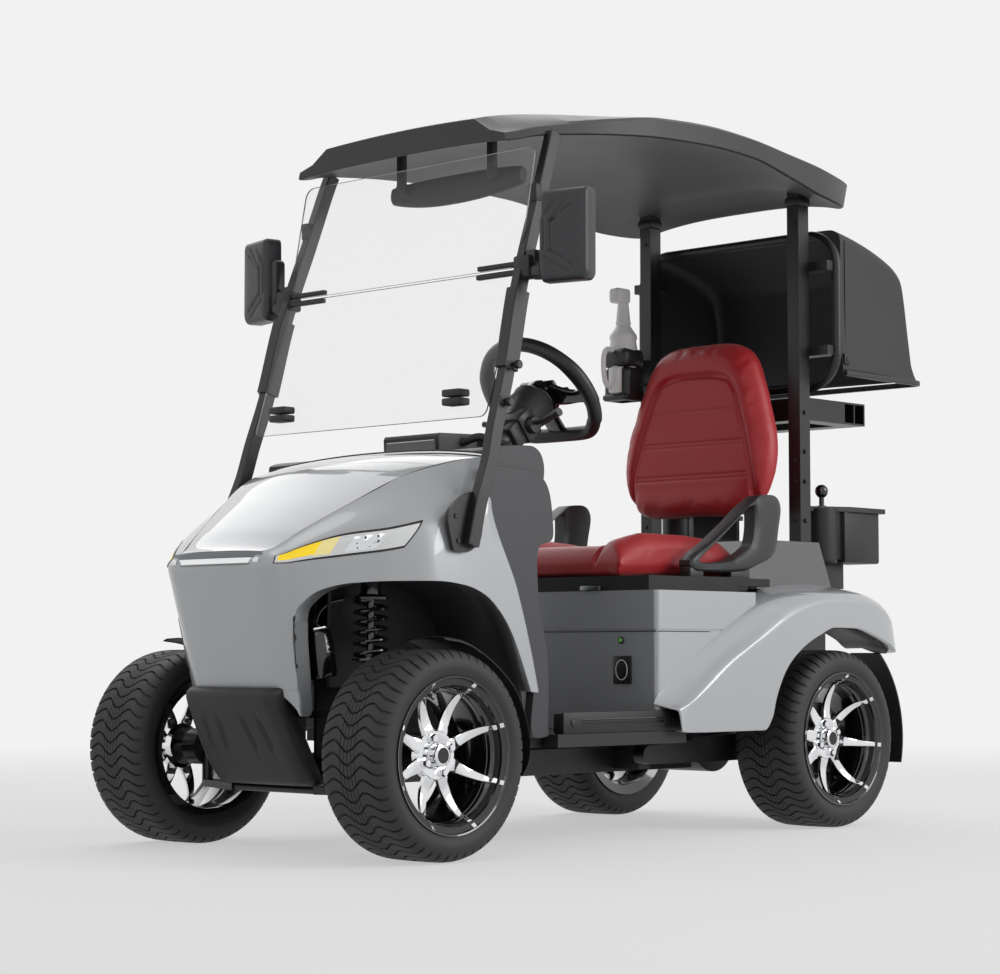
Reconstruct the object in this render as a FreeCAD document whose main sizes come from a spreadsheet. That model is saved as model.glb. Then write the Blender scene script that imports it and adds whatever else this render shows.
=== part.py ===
import FreeCAD, Part
import math
import os
from FreeCAD import Placement, Rotation, Vector

# A single-seat electric golf cart with a windscreen, a roof and a covered place for a golf bag.
# Millimetres. +Z is up, the front faces -Y and the driver's left hand is +X.
# Inside each piece, Y is measured back from the front axle; every piece is then placed so that
# the origin lies on the ground in the middle of the whole cart.

SIZES = {
    # whole cart
    "nose_reach": 258, "cover_reach": 2011, "overrun": 40, "running_gap": 0.3, "seat_gap": 0.3,
    # wheels
    "wheel_base": 1465.6, "front_half_track": 400.2, "rear_half_track": 366.7,
    "tyre_tall": 75.6, "tyre_half": 98, "tread_half": 80, "tread_drop": 2.5,
    "rim_seat_radius": 152.4, "rim_seat_half": 88, "flange_tall": 18.6,
    "flange_thick": 7, "barrel_wall": 6, "hub_radius": 60, "hub_face": 40, "hub_thick": 22,
    "cap_radius": 25, "cap_proud": 20, "spoke_wide": 15, "spoke_thick": 12, "spoke_count": 8,
    "spindle_radius": 13,
    # knuckles and front suspension
    "kingpin_place": 322, "kingpin_radius": 13, "kingpin_low": 152, "kingpin_high": 304,
    "carrier_radius": 42, "carrier_long": 46, "steering_arm_long": 92, "steering_arm_thick": 14,
    "arm_thick": 16, "arm_inner": 138, "arm_spread": 70, "arm_tip_wide": 34, "arm_foot_wide": 26,
    "link_front": 86, "link_wide": 24, "link_turn": 296,
    "coil_place": 232, "coil_radius": 38, "coil_low": 262, "coil_high": 560, "damper_radius": 17,
    "damper_high": 606, "cup_radius": 41, "cup_thick": 8, "coil_wire": 5.5,
    "coil_turns": 6,
    # front mudguards
    "flap_clear": 22, "flap_thick": 4, "flap_inner": 306, "flap_outer": 478,
    "flap_front": 118, "strap_wide": 26, "strap_thick": 6, "strap_place": 294, "strap_back": 62,
    "flap_rear_angle": -6, "flap_top_angle": 84,
    # rear suspension
    "axle_radius": 36, "drum_radius": 92, "drum_thick": 54, "motor_radius": 92, "motor_long": 210,
    "trail_arm_place": 218, "trail_arm_wide": 34, "trail_arm_tall": 46, "trail_pivot_back": 935,
    "trail_pivot_high": 196, "rear_flap_clear": 60, "rear_flap_outer": 446, "rear_flap_inner": 352,
    "rear_flap_low_angle": -14, "rear_flap_high_angle": 50,
    "rear_shock_place": 214, "rear_shock_radius": 33,
    # frame
    "rail_place": 112, "rail_wide": 50, "rail_tall": 62,
    "rail_rear": 1690, "cross_wide": 44, "tow_radius": 9, "tower_half": 98, "tower_thick": 8,
    # floor tray and step trims
    "tray_half": 414, "tray_low": 232, "tray_high": 262, "tray_front": 352, "tray_rear": 880,
    "step_outer": 414, "step_front": 432, "step_rear": 880, "step_high": 313,
    "step_inset": 34, "step_groove_tall": 10, "step_groove_deep": 3,
    "sill_inner": 374,
    # nose panels
    "panel_wall": 4, "panel_gap": 0.8,
    "corner_half": 177, "corner_front": -248, "wall_half": 398,
    "flank_rear": 50,
    "nose_low": 322, "chin_shift": 62, "chin_half": 148,
    "crease_front": -242, "crease_rear": 237, "crease_front_half": 143, "crease_rear_half": 362,
    "crease_low": 669, "crease_high": 891, "hood_crown": 34, "bar_high": 664, "bar_low": 640,
    "bar_half": 150, "bar_deep": 22,
    "arch_clear": 154, "arch_front": -204, "arch_corner": 66, "arch_inner_half": 150,
    # bumper
    "bumper_top": 369, "bumper_low": 155, "bumper_top_half": 138, "bumper_low_half": 106,
    "bumper_low_front": -78, "bumper_deep": 60, "bumper_round": 36,
    # lamps
    "headlight_tall": 100, "headlight_deep": 26,
    # dash and leg shield
    "cheek_outer": 398, "cheek_thick": 34, "shield_front": 199, "shield_long": 218,
    "shield_low": 241, "shield_tall": 629, "shield_round": 18, "dash_low": 690,
    "bulkhead_front": 262, "bulkhead_wall": 8, "dash_crown": 48,
    "pod_half": 92, "pod_front": 364, "pod_rear": 482, "pod_low": 885, "pod_high": 970,
    "pod_thick": 28,
    # steering
    "wheel_back": 813, "wheel_high": 1095, "column_tilt": 39, "grip_radius": 160, "grip_tube": 14,
    "boss_radius": 44, "boss_thick": 46, "shaft_radius": 15, "column_radius": 34,
    "column_long": 505, "spoke_bar": 22, "column_head_long": 120,
    "steer_flat": 118,
    # pedals
    "pedal_wide": 62, "pedal_tall": 96, "pedal_thick": 10, "pedal_back": 372, "pedal_low": 330,
    "pedal_place": 86, "pedal_arm": 14,
    # seat box and battery
    "box_half": 400, "box_front": 789, "box_rear": 1176, "box_high": 600,
    "box_wall": 5, "box_round": 16, "seam_high": 502, "seam_deep": 2.5, "seam_tall": 4,
    "battery_half": 240, "battery_clear": 30, "battery_tall": 250,
    "socket_inset": 108, "socket_high": 407, "socket_wide": 56, "socket_tall": 66,
    "socket_proud": 9, "ring_radius": 21, "ring_proud": 4,
    # rear fenders and deck
    "fender_flare": 50, "fender_wall": 6, "fender_inner": 262, "fender_front": 696,
    "fender_low": 258, "rear_arch_clear": 58, "rear_arch_drop": 30, "fender_rear": 1763,
    "fender_high": 612, "deck_half": 330, "deck_top_half": 296, "deck_front": 1272,
    "deck_rear": 1600, "deck_low": 600, "deck_high": 742, "deck_top_front": 1366,
    "deck_top_rear": 1590, "deck_wall": 8, "well_half": 158, "well_rear": 1806, "well_low": 402.3,
    "well_wall": 6, "well_high": 560,
    "lamp_half_wide": 22, "lamp_tall": 76, "lamp_deep": 14, "lamp_high": 458, "lamp_place": 376,
    # seat
    "seat_tray_high": 636, "seat_tray_front": 792, "seat_tray_half": 372,
    "cushion_half": 298, "cushion_front": 782, "cushion_rear": 1256, "cushion_high": 712,
    "cushion_round": 34, "bolster_wide": 92, "bolster_rise": 34, "bolster_front": 800,
    "back_half": 256, "back_low": 800, "back_high": 1295, "back_front": 1400,
    "back_thick": 118, "back_recess": 12, "bracket_wide": 150, "bracket_thick": 12,
    "bracket_top": 1010,
    # armrests
    "rest_place": 304, "rest_wide": 46, "rest_front": 999, "rest_long": 414, "rest_low": 650,
    "rest_tall": 208, "rest_bar": 32, "rest_round": 34,
    # roof and its carriers
    "roof_front": 308, "roof_rear": 1709, "roof_front_half": 366, "roof_wide_half": 432,
    "roof_rear_half": 372, "roof_front_low": 1626, "roof_mid_low": 1700, "roof_rear_low": 1640,
    "roof_edge": 44, "roof_crown": 34, "roof_wall": 6, "roof_slant": 72,
    "post_place": 258, "post_wide": 38, "post_long": 45, "post_front": 1535,
    "pillar_place": 399, "pillar_wide": 26, "pillar_long": 48, "pillar_foot_long": 77,
    "pillar_low_back": 84, "pillar_low": 700, "pillar_top_back": 391, "pillar_top": 1652, "foot_thick": 8,
    "foot_low": 669, "foot_high": 776, "foot_front": 74, "foot_long": 100,
    # windscreen
    "glass_half": 384, "glass_thick": 5, "glass_low_back": 203, "glass_low": 977,
    "glass_split_back": 314, "glass_split": 1323, "glass_top_back": 372, "glass_top": 1616,
    "glass_gap": 4, "clip_wide": 24, "clip_tall": 26,
    # mirrors
    "mirror_wide": 118, "mirror_inner": 469, "mirror_low": 1284, "mirror_high": 1494,
    "mirror_back": 306, "mirror_deep": 52, "mirror_round": 16, "mirror_arm_radius": 13,
    "mirror_arm_high": 1322,
    "cabin_mirror_half": 216, "cabin_mirror_tall": 58, "cabin_mirror_deep": 40,
    "cabin_mirror_back": 452, "cabin_mirror_high": 1588, "strut_place": 157, "strut_wide": 18,
    # bag hoop, cover and bracket
    "hoop_half": 350, "hoop_tube": 13, "hoop_back": 1622, "hoop_low": 1152, "hoop_high": 1590,
    "hoop_round": 92, "cover_low": 1196, "cover_top_back": 1932, "cover_top_high": 1507,
    "cover_lip_high": 18, "cover_wall": 4, "cover_half": 344,
    "rack_half": 258, "rack_rear": 1861, "rack_low": 1074, "rack_high": 1135,
    "rack_bar": 60, "rack_wall": 5, "pocket_wide": 42,
    # side bins
    "bin_place": 262, "bin_half": 62, "bin_front": 1606, "bin_rear": 1950, "bin_low": 699,
    "bin_high": 842, "bin_wall": 5, "bin_rim": 12, "bin_rim_thick": 12, "washer_radius": 52,
    "knob_radius": 22, "knob_high": 885, "knob_stem": 8, "bin_foot": 84,
    # sand bottle
    "bottle_back": 1440, "bottle_place": 262, "bottle_radius": 36, "holder_wall": 6,
    "holder_low": 1146, "holder_high": 1290, "shoulder_high": 1340, "neck_radius": 20,
    "neck_high": 1440, "spout_high": 1470, "holder_arm": 60,
}

doc = FreeCAD.newDocument("GolfCart")
sheet = doc.addObject("Spreadsheet::Sheet", "Sizes")
for row, (alias, value) in enumerate(SIZES.items(), start=1):
    sheet.set(f"A{row}", alias)
    sheet.set(f"B{row}", str(value))
    sheet.setAlias(f"B{row}", alias)
doc.recompute()


class Reader:
    """Gives the sheet's values by their aliases."""

    def __getattr__(self, alias):
        return float(sheet.get(alias))


mm = Reader()
AXLE_HIGH = mm.rim_seat_radius + mm.tyre_tall
FENDER_HALF = mm.box_half + mm.fender_flare
SOCKET_PLACE = mm.box_half - mm.socket_inset
BULGE_SHARE, SHOULDER_SHARE = 0.52, 0.855
ALONG_X, ALONG_Y, ALONG_Z = Vector(1, 0, 0), Vector(0, 1, 0), Vector(0, 0, 1)
pieces = []


# Helpers

def share(low, high, part):
    """The value that lies a share of the way from low to high."""
    return low + (high - low) * part


def placed(kind, name, **expressions):
    """A primitive whose sizes and place are bound to the sheet."""
    thing = doc.addObject(kind, name)
    for prop, expression in expressions.items():
        thing.setExpression(prop.replace("_", "."), expression)
    return thing


def feature(name, shape):
    """A piece whose shape comes from a function."""
    thing = doc.addObject("Part::Feature", name)
    thing.Shape = shape if shape.Placement.isIdentity() else Part.makeCompound([shape])
    return thing


def both_sides(name, left):
    """A left-hand piece and its mirror image as two solids."""
    right = doc.addObject("Part::Mirroring", name + "Right")
    right.Source = left
    right.Normal = ALONG_X
    pair = doc.addObject("Part::Compound", name + "Pair")
    pair.Links = [left, right]
    return pair


def keep(thing, label):
    """Names a finished piece and puts it at its place in the cart."""
    thing.Label = label
    thing.setExpression("Placement.Base.y", "(Sizes.nose_reach - Sizes.cover_reach) / 2")
    pieces.append(thing)
    return thing


def rounded(corners, radii):
    """Lines and arcs of a closed outline; one radius for all corners or one for each."""
    count = len(corners)
    if not isinstance(radii, (list, tuple)):
        radii = [radii] * count
    arcs = []
    for index, corner in enumerate(corners):
        back = (corners[index - 1] - corner).normalize()
        ahead = (corners[(index + 1) % count] - corner).normalize()
        half = back.getAngle(ahead) / 2
        reach = radii[index] / math.tan(half)
        inward = (back + ahead).normalize()
        middle = corner + inward * (radii[index] / math.sin(half) - radii[index])
        arcs.append((corner + back * reach, middle, corner + ahead * reach))
    edges = []
    for index, (start, middle, end) in enumerate(arcs):
        before = arcs[index - 1][2]
        if before.distanceToPoint(start) > mm.running_gap:
            edges.append(Part.LineSegment(before, start))
        if start.distanceToPoint(end) > mm.running_gap:
            edges.append(Part.Arc(start, middle, end))
    return edges


def wire(edges):
    """A wire from lines and arcs."""
    return Part.Wire([edge.toShape() for edge in edges])


def face(corners, radii=0):
    """A flat face with rounded corners."""
    return Part.Face(wire(rounded(corners, radii)))


def side_points(pairs, across=0):
    """Points of a side view outline, given as pairs of Y and Z."""
    return [Vector(across, along, up) for along, up in pairs]


def side_plate(pairs, inner, outer, radii=0):
    """A plate with a side view outline, from one X to another."""
    return face(side_points(pairs, inner), radii).extrude(ALONG_X * (outer - inner))


def block(low, high):
    """A box between two opposite corners."""
    return Part.makeBox(high[0] - low[0], high[1] - low[1], high[2] - low[2], Vector(*low))


def rod(radius, start, end):
    """A round bar between two points."""
    return Part.makeCylinder(radius, (end - start).Length, start, end - start)


def loft(sections, ruled=True):
    """A solid through closed outlines with the same number of corners."""
    loops = [Part.makePolygon(list(section) + [section[0]]) for section in sections]
    return Part.makeLoft(loops, True, ruled)


def fused(shapes):
    """One solid from shapes that meet."""
    return shapes[0].multiFuse(shapes[1:]).removeSplitter()


def mirrored(shape):
    """The same shape on the other side."""
    return shape.mirror(Vector(0, 0, 0), ALONG_X)


def sketch_on(body, name, role, edges):
    """A sketch on one of the body's own planes."""
    sketch = body.newObject("Sketcher::SketchObject", name)
    plane = next(item for item in body.Origin.OriginFeatures if item.Role == role)
    sketch.AttachmentSupport = (plane, [""])
    sketch.MapMode = "FlatFace"
    for edge in edges:
        sketch.addGeometry(edge, False)
    return sketch


def closed_lines(pairs):
    """Straight lines round a closed outline in a sketch."""
    corners = [Vector(first, second, 0) for first, second in pairs]
    return [Part.LineSegment(corners[index - 1], corner) for index, corner in enumerate(corners)]


def revolve(body, name, pairs):
    """A turned feature about the body's X axis, from pairs of X and radius."""
    sketch = sketch_on(body, name + "Outline", "XY_Plane", closed_lines(pairs))
    turned = body.newObject("PartDesign::Revolution", name)
    turned.Profile = sketch
    turned.ReferenceAxis = (sketch, ["H_Axis"])
    turned.Angle = 360
    body.Tip = turned
    return turned


# Wheels: a low-profile tyre on a wide rim with eight slim spokes

def tyre(name):
    """A tyre turned about its axle, its middle at the body's origin."""
    body = doc.addObject("PartDesign::Body", name)
    seat = mm.rim_seat_radius + mm.running_gap
    bead = mm.rim_seat_half - mm.running_gap
    over_flange = mm.rim_seat_radius + mm.flange_tall + mm.running_gap * 4
    bulge = share(mm.rim_seat_radius, AXLE_HIGH, BULGE_SHARE)
    shoulder = share(mm.rim_seat_radius, AXLE_HIGH, SHOULDER_SHARE)
    right = [(bead, seat), (bead, over_flange), (mm.tyre_half, bulge),
             (share(mm.tread_half, mm.tyre_half, 0.65), share(bulge, shoulder, 0.75)),
             (mm.tread_half, AXLE_HIGH - mm.tread_drop * 2),
             (mm.tread_half / 2, AXLE_HIGH)]
    left = [(-across, radius) for across, radius in reversed(right)]
    revolve(body, name + "Carcass", right + left)
    return body


def rim(name, outward):
    """A rim with its dished face on the side that outward gives, 1 or -1."""
    body = doc.addObject("PartDesign::Body", name)
    bore = mm.spindle_radius + mm.running_gap
    inner_face = mm.hub_face - mm.hub_thick
    hub = [(inner_face, bore), (inner_face, mm.hub_radius), (mm.hub_face, mm.hub_radius),
           (mm.hub_face, mm.cap_radius), (mm.hub_face + mm.cap_proud, mm.cap_radius),
           (mm.hub_face + mm.cap_proud, 0), (mm.hub_face, 0), (mm.hub_face, bore)]
    flipped = [(across * outward, radius) for across, radius in hub]
    revolve(body, name + "Hub", flipped)

    tip = mm.rim_seat_half + mm.flange_thick
    barrel_inner = mm.rim_seat_radius - mm.barrel_wall
    spoke = [(mm.hub_face - mm.spoke_thick, mm.hub_radius - mm.spoke_thick),
             (mm.hub_face, mm.hub_radius - mm.spoke_thick),
             (share(mm.hub_face, tip, 0.62), share(mm.hub_radius, barrel_inner, 0.7)),
             (tip - mm.spoke_thick / 2, barrel_inner + mm.barrel_wall / 2),
             (tip - mm.spoke_thick * 1.5, barrel_inner + mm.barrel_wall / 2),
             (share(mm.hub_face, tip, 0.5), share(mm.hub_radius, barrel_inner, 0.72))]
    outline = [(across * outward, radius) for across, radius in spoke]
    sketch = sketch_on(body, name + "SpokeOutline", "XY_Plane", closed_lines(outline))
    pad = body.newObject("PartDesign::Pad", name + "Spoke")
    pad.Profile = sketch
    pad.setExpression("Length", "Sizes.spoke_wide")
    pad.SideType = "Symmetric"
    body.Tip = pad
    pattern = body.newObject("PartDesign::PolarPattern", name + "Spokes")
    pattern.Originals = [pad]
    pattern.Axis = (sketch, ["H_Axis"])
    pattern.Angle = 360
    pattern.setExpression("Occurrences", "Sizes.spoke_count")
    body.Tip = pattern

    seat = mm.rim_seat_radius
    half = mm.rim_seat_half
    flange = seat + mm.flange_tall
    barrel = [(-tip, flange), (-half, flange), (-half, seat), (half, seat),
              (half, flange), (tip, flange), (tip, barrel_inner + mm.barrel_wall),
              (half, barrel_inner), (-half, barrel_inner), (-tip, barrel_inner + mm.barrel_wall)]
    revolve(body, name + "Barrel", [(across * outward, radius) for across, radius in barrel])
    return body


WHEELS = {"front_left": ("front_half_track", 1, False), "front_right": ("front_half_track", -1, False),
          "rear_left": ("rear_half_track", 1, True), "rear_right": ("rear_half_track", -1, True)}
for corner, (track, side, behind) in WHEELS.items():
    for maker, label in ((tyre(f"Tyre_{corner}"), "tyre"), (rim(f"Rim_{corner}", side), "rim")):
        keep(maker, f"{label}_{corner}")
        maker.setExpression("Placement.Base.x", f"{side} * Sizes.{track}")
        maker.setExpression("Placement.Base.z", "Sizes.rim_seat_radius + Sizes.tyre_tall")
        base = "(Sizes.nose_reach - Sizes.cover_reach) / 2"
        maker.setExpression("Placement.Base.y", base + (" + Sizes.wheel_base" if behind else ""))


# Knuckles: kingpin, carrier, spindle and steering arm

def knuckle():
    """The left upright that the front wheel turns on."""
    pin = mm.kingpin_place
    axle = AXLE_HIGH
    spindle_end = mm.front_half_track + mm.hub_face - mm.running_gap * 4
    kingpin = rod(mm.kingpin_radius, Vector(pin, 0, mm.kingpin_low), Vector(pin, 0, mm.kingpin_high))
    carrier = rod(mm.carrier_radius, Vector(pin, 0, axle), Vector(pin + mm.carrier_long, 0, axle))
    spindle = rod(mm.spindle_radius, Vector(pin, 0, axle), Vector(spindle_end, 0, axle))
    arm_low = axle - mm.steering_arm_thick / 2
    arm = block((pin - mm.steering_arm_thick, -mm.steering_arm_long, arm_low),
                (pin + mm.steering_arm_thick, 0, arm_low + mm.steering_arm_thick))
    return fused([kingpin, carrier, spindle, arm])


left_knuckle = feature("KnuckleLeft", knuckle())
keep(left_knuckle, "knuckle_left")
keep(feature("KnuckleRight", mirrored(knuckle())), "knuckle_right")


# Front mudguards: a thin sheet over each tyre on a strap from the knuckle

def arc_sheet(centre_back, centre_high, radius, thick, low_angle, high_angle, inner, outer):
    """A sheet bent about an axle, between two angles above the level line behind it."""
    def spot(size, angle):
        turn = math.radians(angle)
        return Vector(inner, centre_back + size * math.cos(turn), centre_high + size * math.sin(turn))
    middle = (low_angle + high_angle) / 2
    edges = [Part.Arc(spot(radius, low_angle), spot(radius, middle), spot(radius, high_angle)),
             Part.LineSegment(spot(radius, high_angle), spot(radius - thick, high_angle)),
             Part.Arc(spot(radius - thick, high_angle), spot(radius - thick, middle),
                      spot(radius - thick, low_angle)),
             Part.LineSegment(spot(radius - thick, low_angle), spot(radius, low_angle))]
    return Part.Face(wire(edges)).extrude(ALONG_X * (outer - inner))


def front_mudguard():
    """The left front mudguard with its strap."""
    axle = AXLE_HIGH
    flap_radius = AXLE_HIGH + mm.flap_clear
    sheet_part = arc_sheet(0, axle, flap_radius, mm.flap_thick, mm.flap_rear_angle,
                           mm.flap_top_angle, mm.flap_inner, mm.flap_outer)
    turn = math.radians(mm.flap_top_angle)
    start = flap_radius * math.cos(turn)
    top = axle + flap_radius * math.sin(turn)
    front = block((mm.flap_inner, -mm.flap_front, top - mm.flap_thick), (mm.flap_outer, start, top))
    strap_inner = mm.strap_place - mm.strap_thick
    back = mm.strap_back
    upright = block((strap_inner, back, axle + mm.carrier_radius / 2),
                    (mm.strap_place, back + mm.strap_wide, top - mm.flap_thick))
    reach = math.sqrt(flap_radius ** 2 - back ** 2)
    over = block((strap_inner, back, axle + reach - mm.strap_thick * 2),
                 (mm.flap_inner + mm.strap_wide, back + mm.strap_wide / 2,
                  axle + reach - mm.strap_thick))
    foot_high = axle + mm.carrier_radius / 2
    foot = block((strap_inner, mm.kingpin_radius + mm.strap_thick, foot_high),
                 (mm.strap_place, back + mm.strap_wide, foot_high + mm.strap_wide))
    tab = block((strap_inner, mm.kingpin_radius + mm.strap_thick, foot_high),
                (mm.kingpin_place - mm.seat_gap, mm.kingpin_radius + mm.strap_thick * 2,
                 foot_high + mm.strap_wide / 2))
    return fused([sheet_part, front, upright, over, foot, tab])


keep(feature("FlapLeft", front_mudguard()), "front_mudguard_left")
keep(feature("FlapRight", mirrored(front_mudguard())), "front_mudguard_right")


# Front suspension: upper and lower arms with their cross tube

def lower_arm():
    """The left lower arm: two legs from the frame to a tip under the kingpin."""
    inner, tip = mm.arm_inner, mm.kingpin_place
    half, foot, spread = mm.arm_tip_wide / 2, mm.arm_foot_wide / 2, mm.arm_spread
    outline = [(inner, spread + foot), (tip, half), (tip + half, 0), (tip, -half),
               (inner, -spread - foot), (inner, -spread + foot), (share(inner, tip, 0.3), 0),
               (inner, spread - foot)]
    return face([Vector(across, along, lower_high) for across, along in outline]).extrude(
        ALONG_Z * mm.arm_thick)


def upper_link():
    """The left upper link, bent forward round the damper."""
    half, front, wide = mm.arm_tip_wide / 2, mm.link_front, mm.link_wide
    tip, turn = mm.kingpin_place, mm.link_turn
    outline = [(0, -front), (turn, -front), (tip + half, -half), (tip + half, half), (tip - half, half),
               (tip - half, -half), (turn - wide / 2, -front + wide), (0, -front + wide)]
    return face([Vector(across, along, upper_high) for across, along in outline]).extrude(
        ALONG_Z * mm.arm_thick)


lower_high = mm.kingpin_low - mm.seat_gap - mm.arm_thick
upper_high = mm.kingpin_high + mm.seat_gap
lower_parts = [lower_arm()]
for along in (-mm.arm_spread, mm.arm_spread):
    middle = lower_high + mm.arm_thick / 2
    lower_parts.append(rod(mm.arm_thick / 2, Vector(0, along, middle), Vector(mm.arm_inner, along, middle)))
left_arms = fused(lower_parts)
lower_pair = fused([left_arms, mirrored(left_arms)])
upper_pair = fused([upper_link(), mirrored(upper_link())])
keep(feature("FrontArms", Part.makeCompound([lower_pair, upper_pair])), "front_suspension_arms")


def coil_over(across, along, low, high, spring_low, spring_high, radius):
    """A damper with its coil spring between two cups."""
    parts = [rod(mm.damper_radius, Vector(across, along, low), Vector(across, along, high))]
    for level in (spring_low - mm.cup_thick, spring_high):
        parts.append(rod(radius + mm.cup_thick / 2, Vector(across, along, level),
                         Vector(across, along, level + mm.cup_thick)))
    turns = int(mm.coil_turns)
    step = (spring_high - spring_low) / turns
    for turn in range(turns):
        ring_high = spring_low + step * (turn + 0.5)
        parts.append(rod(radius, Vector(across, along, ring_high - mm.coil_wire),
                         Vector(across, along, ring_high + mm.coil_wire)))
    return fused(parts)


front_damper = coil_over(mm.coil_place, 0, lower_high + mm.arm_thick + mm.seat_gap, mm.damper_high,
                         mm.coil_low, mm.coil_high, mm.coil_radius)
keep(feature("FrontDampers", Part.makeCompound([front_damper, mirrored(front_damper)])), "front_dampers")


# Rear axle with its motor, trailing arms, dampers and mudguards

axle_back = mm.wheel_base
axle_high = AXLE_HIGH
drum_outer = mm.rear_half_track + mm.hub_face - mm.hub_thick - mm.seat_gap
spindle_end = mm.rear_half_track + mm.hub_face - mm.running_gap * 4
rear_parts = [rod(mm.axle_radius, Vector(0, axle_back, axle_high),
                  Vector(drum_outer - mm.drum_thick, axle_back, axle_high)),
              rod(mm.drum_radius, Vector(drum_outer - mm.drum_thick, axle_back, axle_high),
                  Vector(drum_outer, axle_back, axle_high)),
              rod(mm.spindle_radius, Vector(0, axle_back, axle_high),
                  Vector(spindle_end, axle_back, axle_high))]
half_axle = fused(rear_parts)
motor = rod(mm.motor_radius, Vector(-mm.motor_long / 2, axle_back - mm.motor_radius, axle_high),
            Vector(mm.motor_long / 2, axle_back - mm.motor_radius, axle_high))
keep(feature("RearAxle", fused([half_axle, mirrored(half_axle), motor])), "rear_axle_and_motor")

arm_low = mm.trail_pivot_high - mm.trail_arm_tall / 2
trail = side_plate([(mm.trail_pivot_back, arm_low), (axle_back - mm.axle_radius, arm_low),
                    (axle_back - mm.axle_radius - mm.seat_gap, axle_high + mm.trail_arm_tall / 2),
                    (mm.trail_pivot_back, arm_low + mm.trail_arm_tall)],
                   mm.trail_arm_place, mm.trail_arm_place + mm.trail_arm_wide)
pivot = rod(mm.trail_arm_tall / 2, Vector(mm.trail_arm_place, mm.trail_pivot_back, mm.trail_pivot_high),
            Vector(mm.trail_arm_place + mm.trail_arm_wide, mm.trail_pivot_back, mm.trail_pivot_high))
trail_arm = fused([trail, pivot])
keep(feature("TrailArms", Part.makeCompound([trail_arm, mirrored(trail_arm)])), "trailing_arms")

rear_damper = coil_over(mm.rear_shock_place, axle_back, axle_high + mm.axle_radius + mm.seat_gap,
                        mm.deck_low - mm.seat_gap, axle_high + mm.axle_radius * 2,
                        mm.deck_low - mm.axle_radius * 2, mm.rear_shock_radius)
keep(feature("RearDampers", Part.makeCompound([rear_damper, mirrored(rear_damper)])), "rear_dampers")

rear_flap = arc_sheet(axle_back, axle_high, AXLE_HIGH + mm.rear_flap_clear, mm.flap_thick,
                      mm.rear_flap_low_angle, mm.rear_flap_high_angle, mm.rear_flap_inner,
                      mm.rear_flap_outer)
keep(feature("RearFlaps", Part.makeCompound([rear_flap, mirrored(rear_flap)])), "rear_mudguards")


# Frame: two rails, cross tubes and the towers that carry the front dampers

nose_front = -mm.nose_reach
CHIN_KNEE_SHARE, CHIN_LEAN_SHARE = 0.45, 0.41


def chin_lean(high):
    """How far the chin has leaned back at a height: none at the light bar, all at its foot."""
    up = min(max((high - mm.nose_low) / (mm.bar_low - mm.nose_low), 0), 1)
    if up < CHIN_KNEE_SHARE:
        return share(1, CHIN_LEAN_SHARE, up / CHIN_KNEE_SHARE)
    return share(CHIN_LEAN_SHARE, 0, (up - CHIN_KNEE_SHARE) / (1 - CHIN_KNEE_SHARE))


BUMPER_EDGE_SHARE = 0.7
bumper_top_front = nose_front + mm.chin_shift * chin_lean(mm.bumper_top) + mm.panel_wall + mm.panel_gap
rail_front = mm.bumper_low_front + mm.bumper_deep * BUMPER_EDGE_SHARE + mm.seat_gap


def tower():
    """The left tower between the rail and the top of the front damper."""
    inner = mm.rail_place - mm.rail_wide / 2
    foot = mm.kingpin_low + mm.rail_tall
    seat = mm.damper_high + mm.seat_gap
    front, rear = rail_front, mm.tower_half
    wall = block((inner, front, foot), (inner + mm.tower_thick, rear, seat + mm.tower_thick))
    shelf = block((inner, front, seat), (mm.coil_place + mm.cup_radius, rear, seat + mm.tower_thick))
    return fused([wall, shelf])


rail_top = mm.kingpin_low + mm.rail_tall
rail_inner = mm.rail_place - mm.rail_wide / 2
rail_outer = mm.rail_place + mm.rail_wide / 2
kick_low = AXLE_HIGH + mm.motor_radius + mm.overrun / 2
kick_front = mm.wheel_base - mm.motor_radius * 2 - mm.overrun


def frame_rail():
    """The left rail: straight below the floor, then raised over the motor, with the arm's hanger."""
    side = side_plate([(rail_front, mm.kingpin_low), (kick_front, mm.kingpin_low), (kick_front, kick_low),
                       (mm.rail_rear, kick_low), (mm.rail_rear, kick_low + mm.rail_tall),
                       (kick_front - mm.rail_wide, kick_low + mm.rail_tall),
                       (kick_front - mm.rail_wide, rail_top), (rail_front, rail_top)],
                      rail_inner, rail_outer)
    hanger = block((rail_outer, mm.trail_pivot_back, mm.kingpin_low + mm.tower_thick),
                   (mm.trail_arm_place - mm.seat_gap, mm.trail_pivot_back + mm.cross_wide,
                    rail_top - mm.tower_thick))
    return fused([side, hanger])


def cross_members():
    """The members between the rails; two of them also carry the floor tray."""
    tray_seat = mm.tray_low - mm.seat_gap
    members = []
    for along, low, top in ((rail_front, mm.kingpin_low, rail_top),
                            (mm.tray_front + mm.cross_wide * 2, mm.kingpin_low, tray_seat),
                            (mm.tray_rear - mm.cross_wide * 2, mm.kingpin_low, tray_seat),
                            (mm.trail_pivot_back, mm.kingpin_low, rail_top),
                            (mm.rail_rear - mm.cross_wide, kick_low, kick_low + mm.rail_tall)):
        members.append(block((-rail_inner, along, low), (rail_inner, along + mm.cross_wide, top)))
    tow_hole = rod(mm.tow_radius, Vector(0, rail_front + mm.cross_wide / 2, 0),
                   Vector(0, rail_front + mm.cross_wide / 2, mm.tray_low))
    members[0] = members[0].cut(tow_hole)
    return Part.makeCompound(members)


keep(both_sides("Rails", feature("Rail", frame_rail())), "frame_rails")
keep(feature("CrossMembers", cross_members()), "cross_members")
keep(both_sides("Towers", feature("Tower", tower())), "damper_towers")


# Floor tray and step trims

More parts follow.
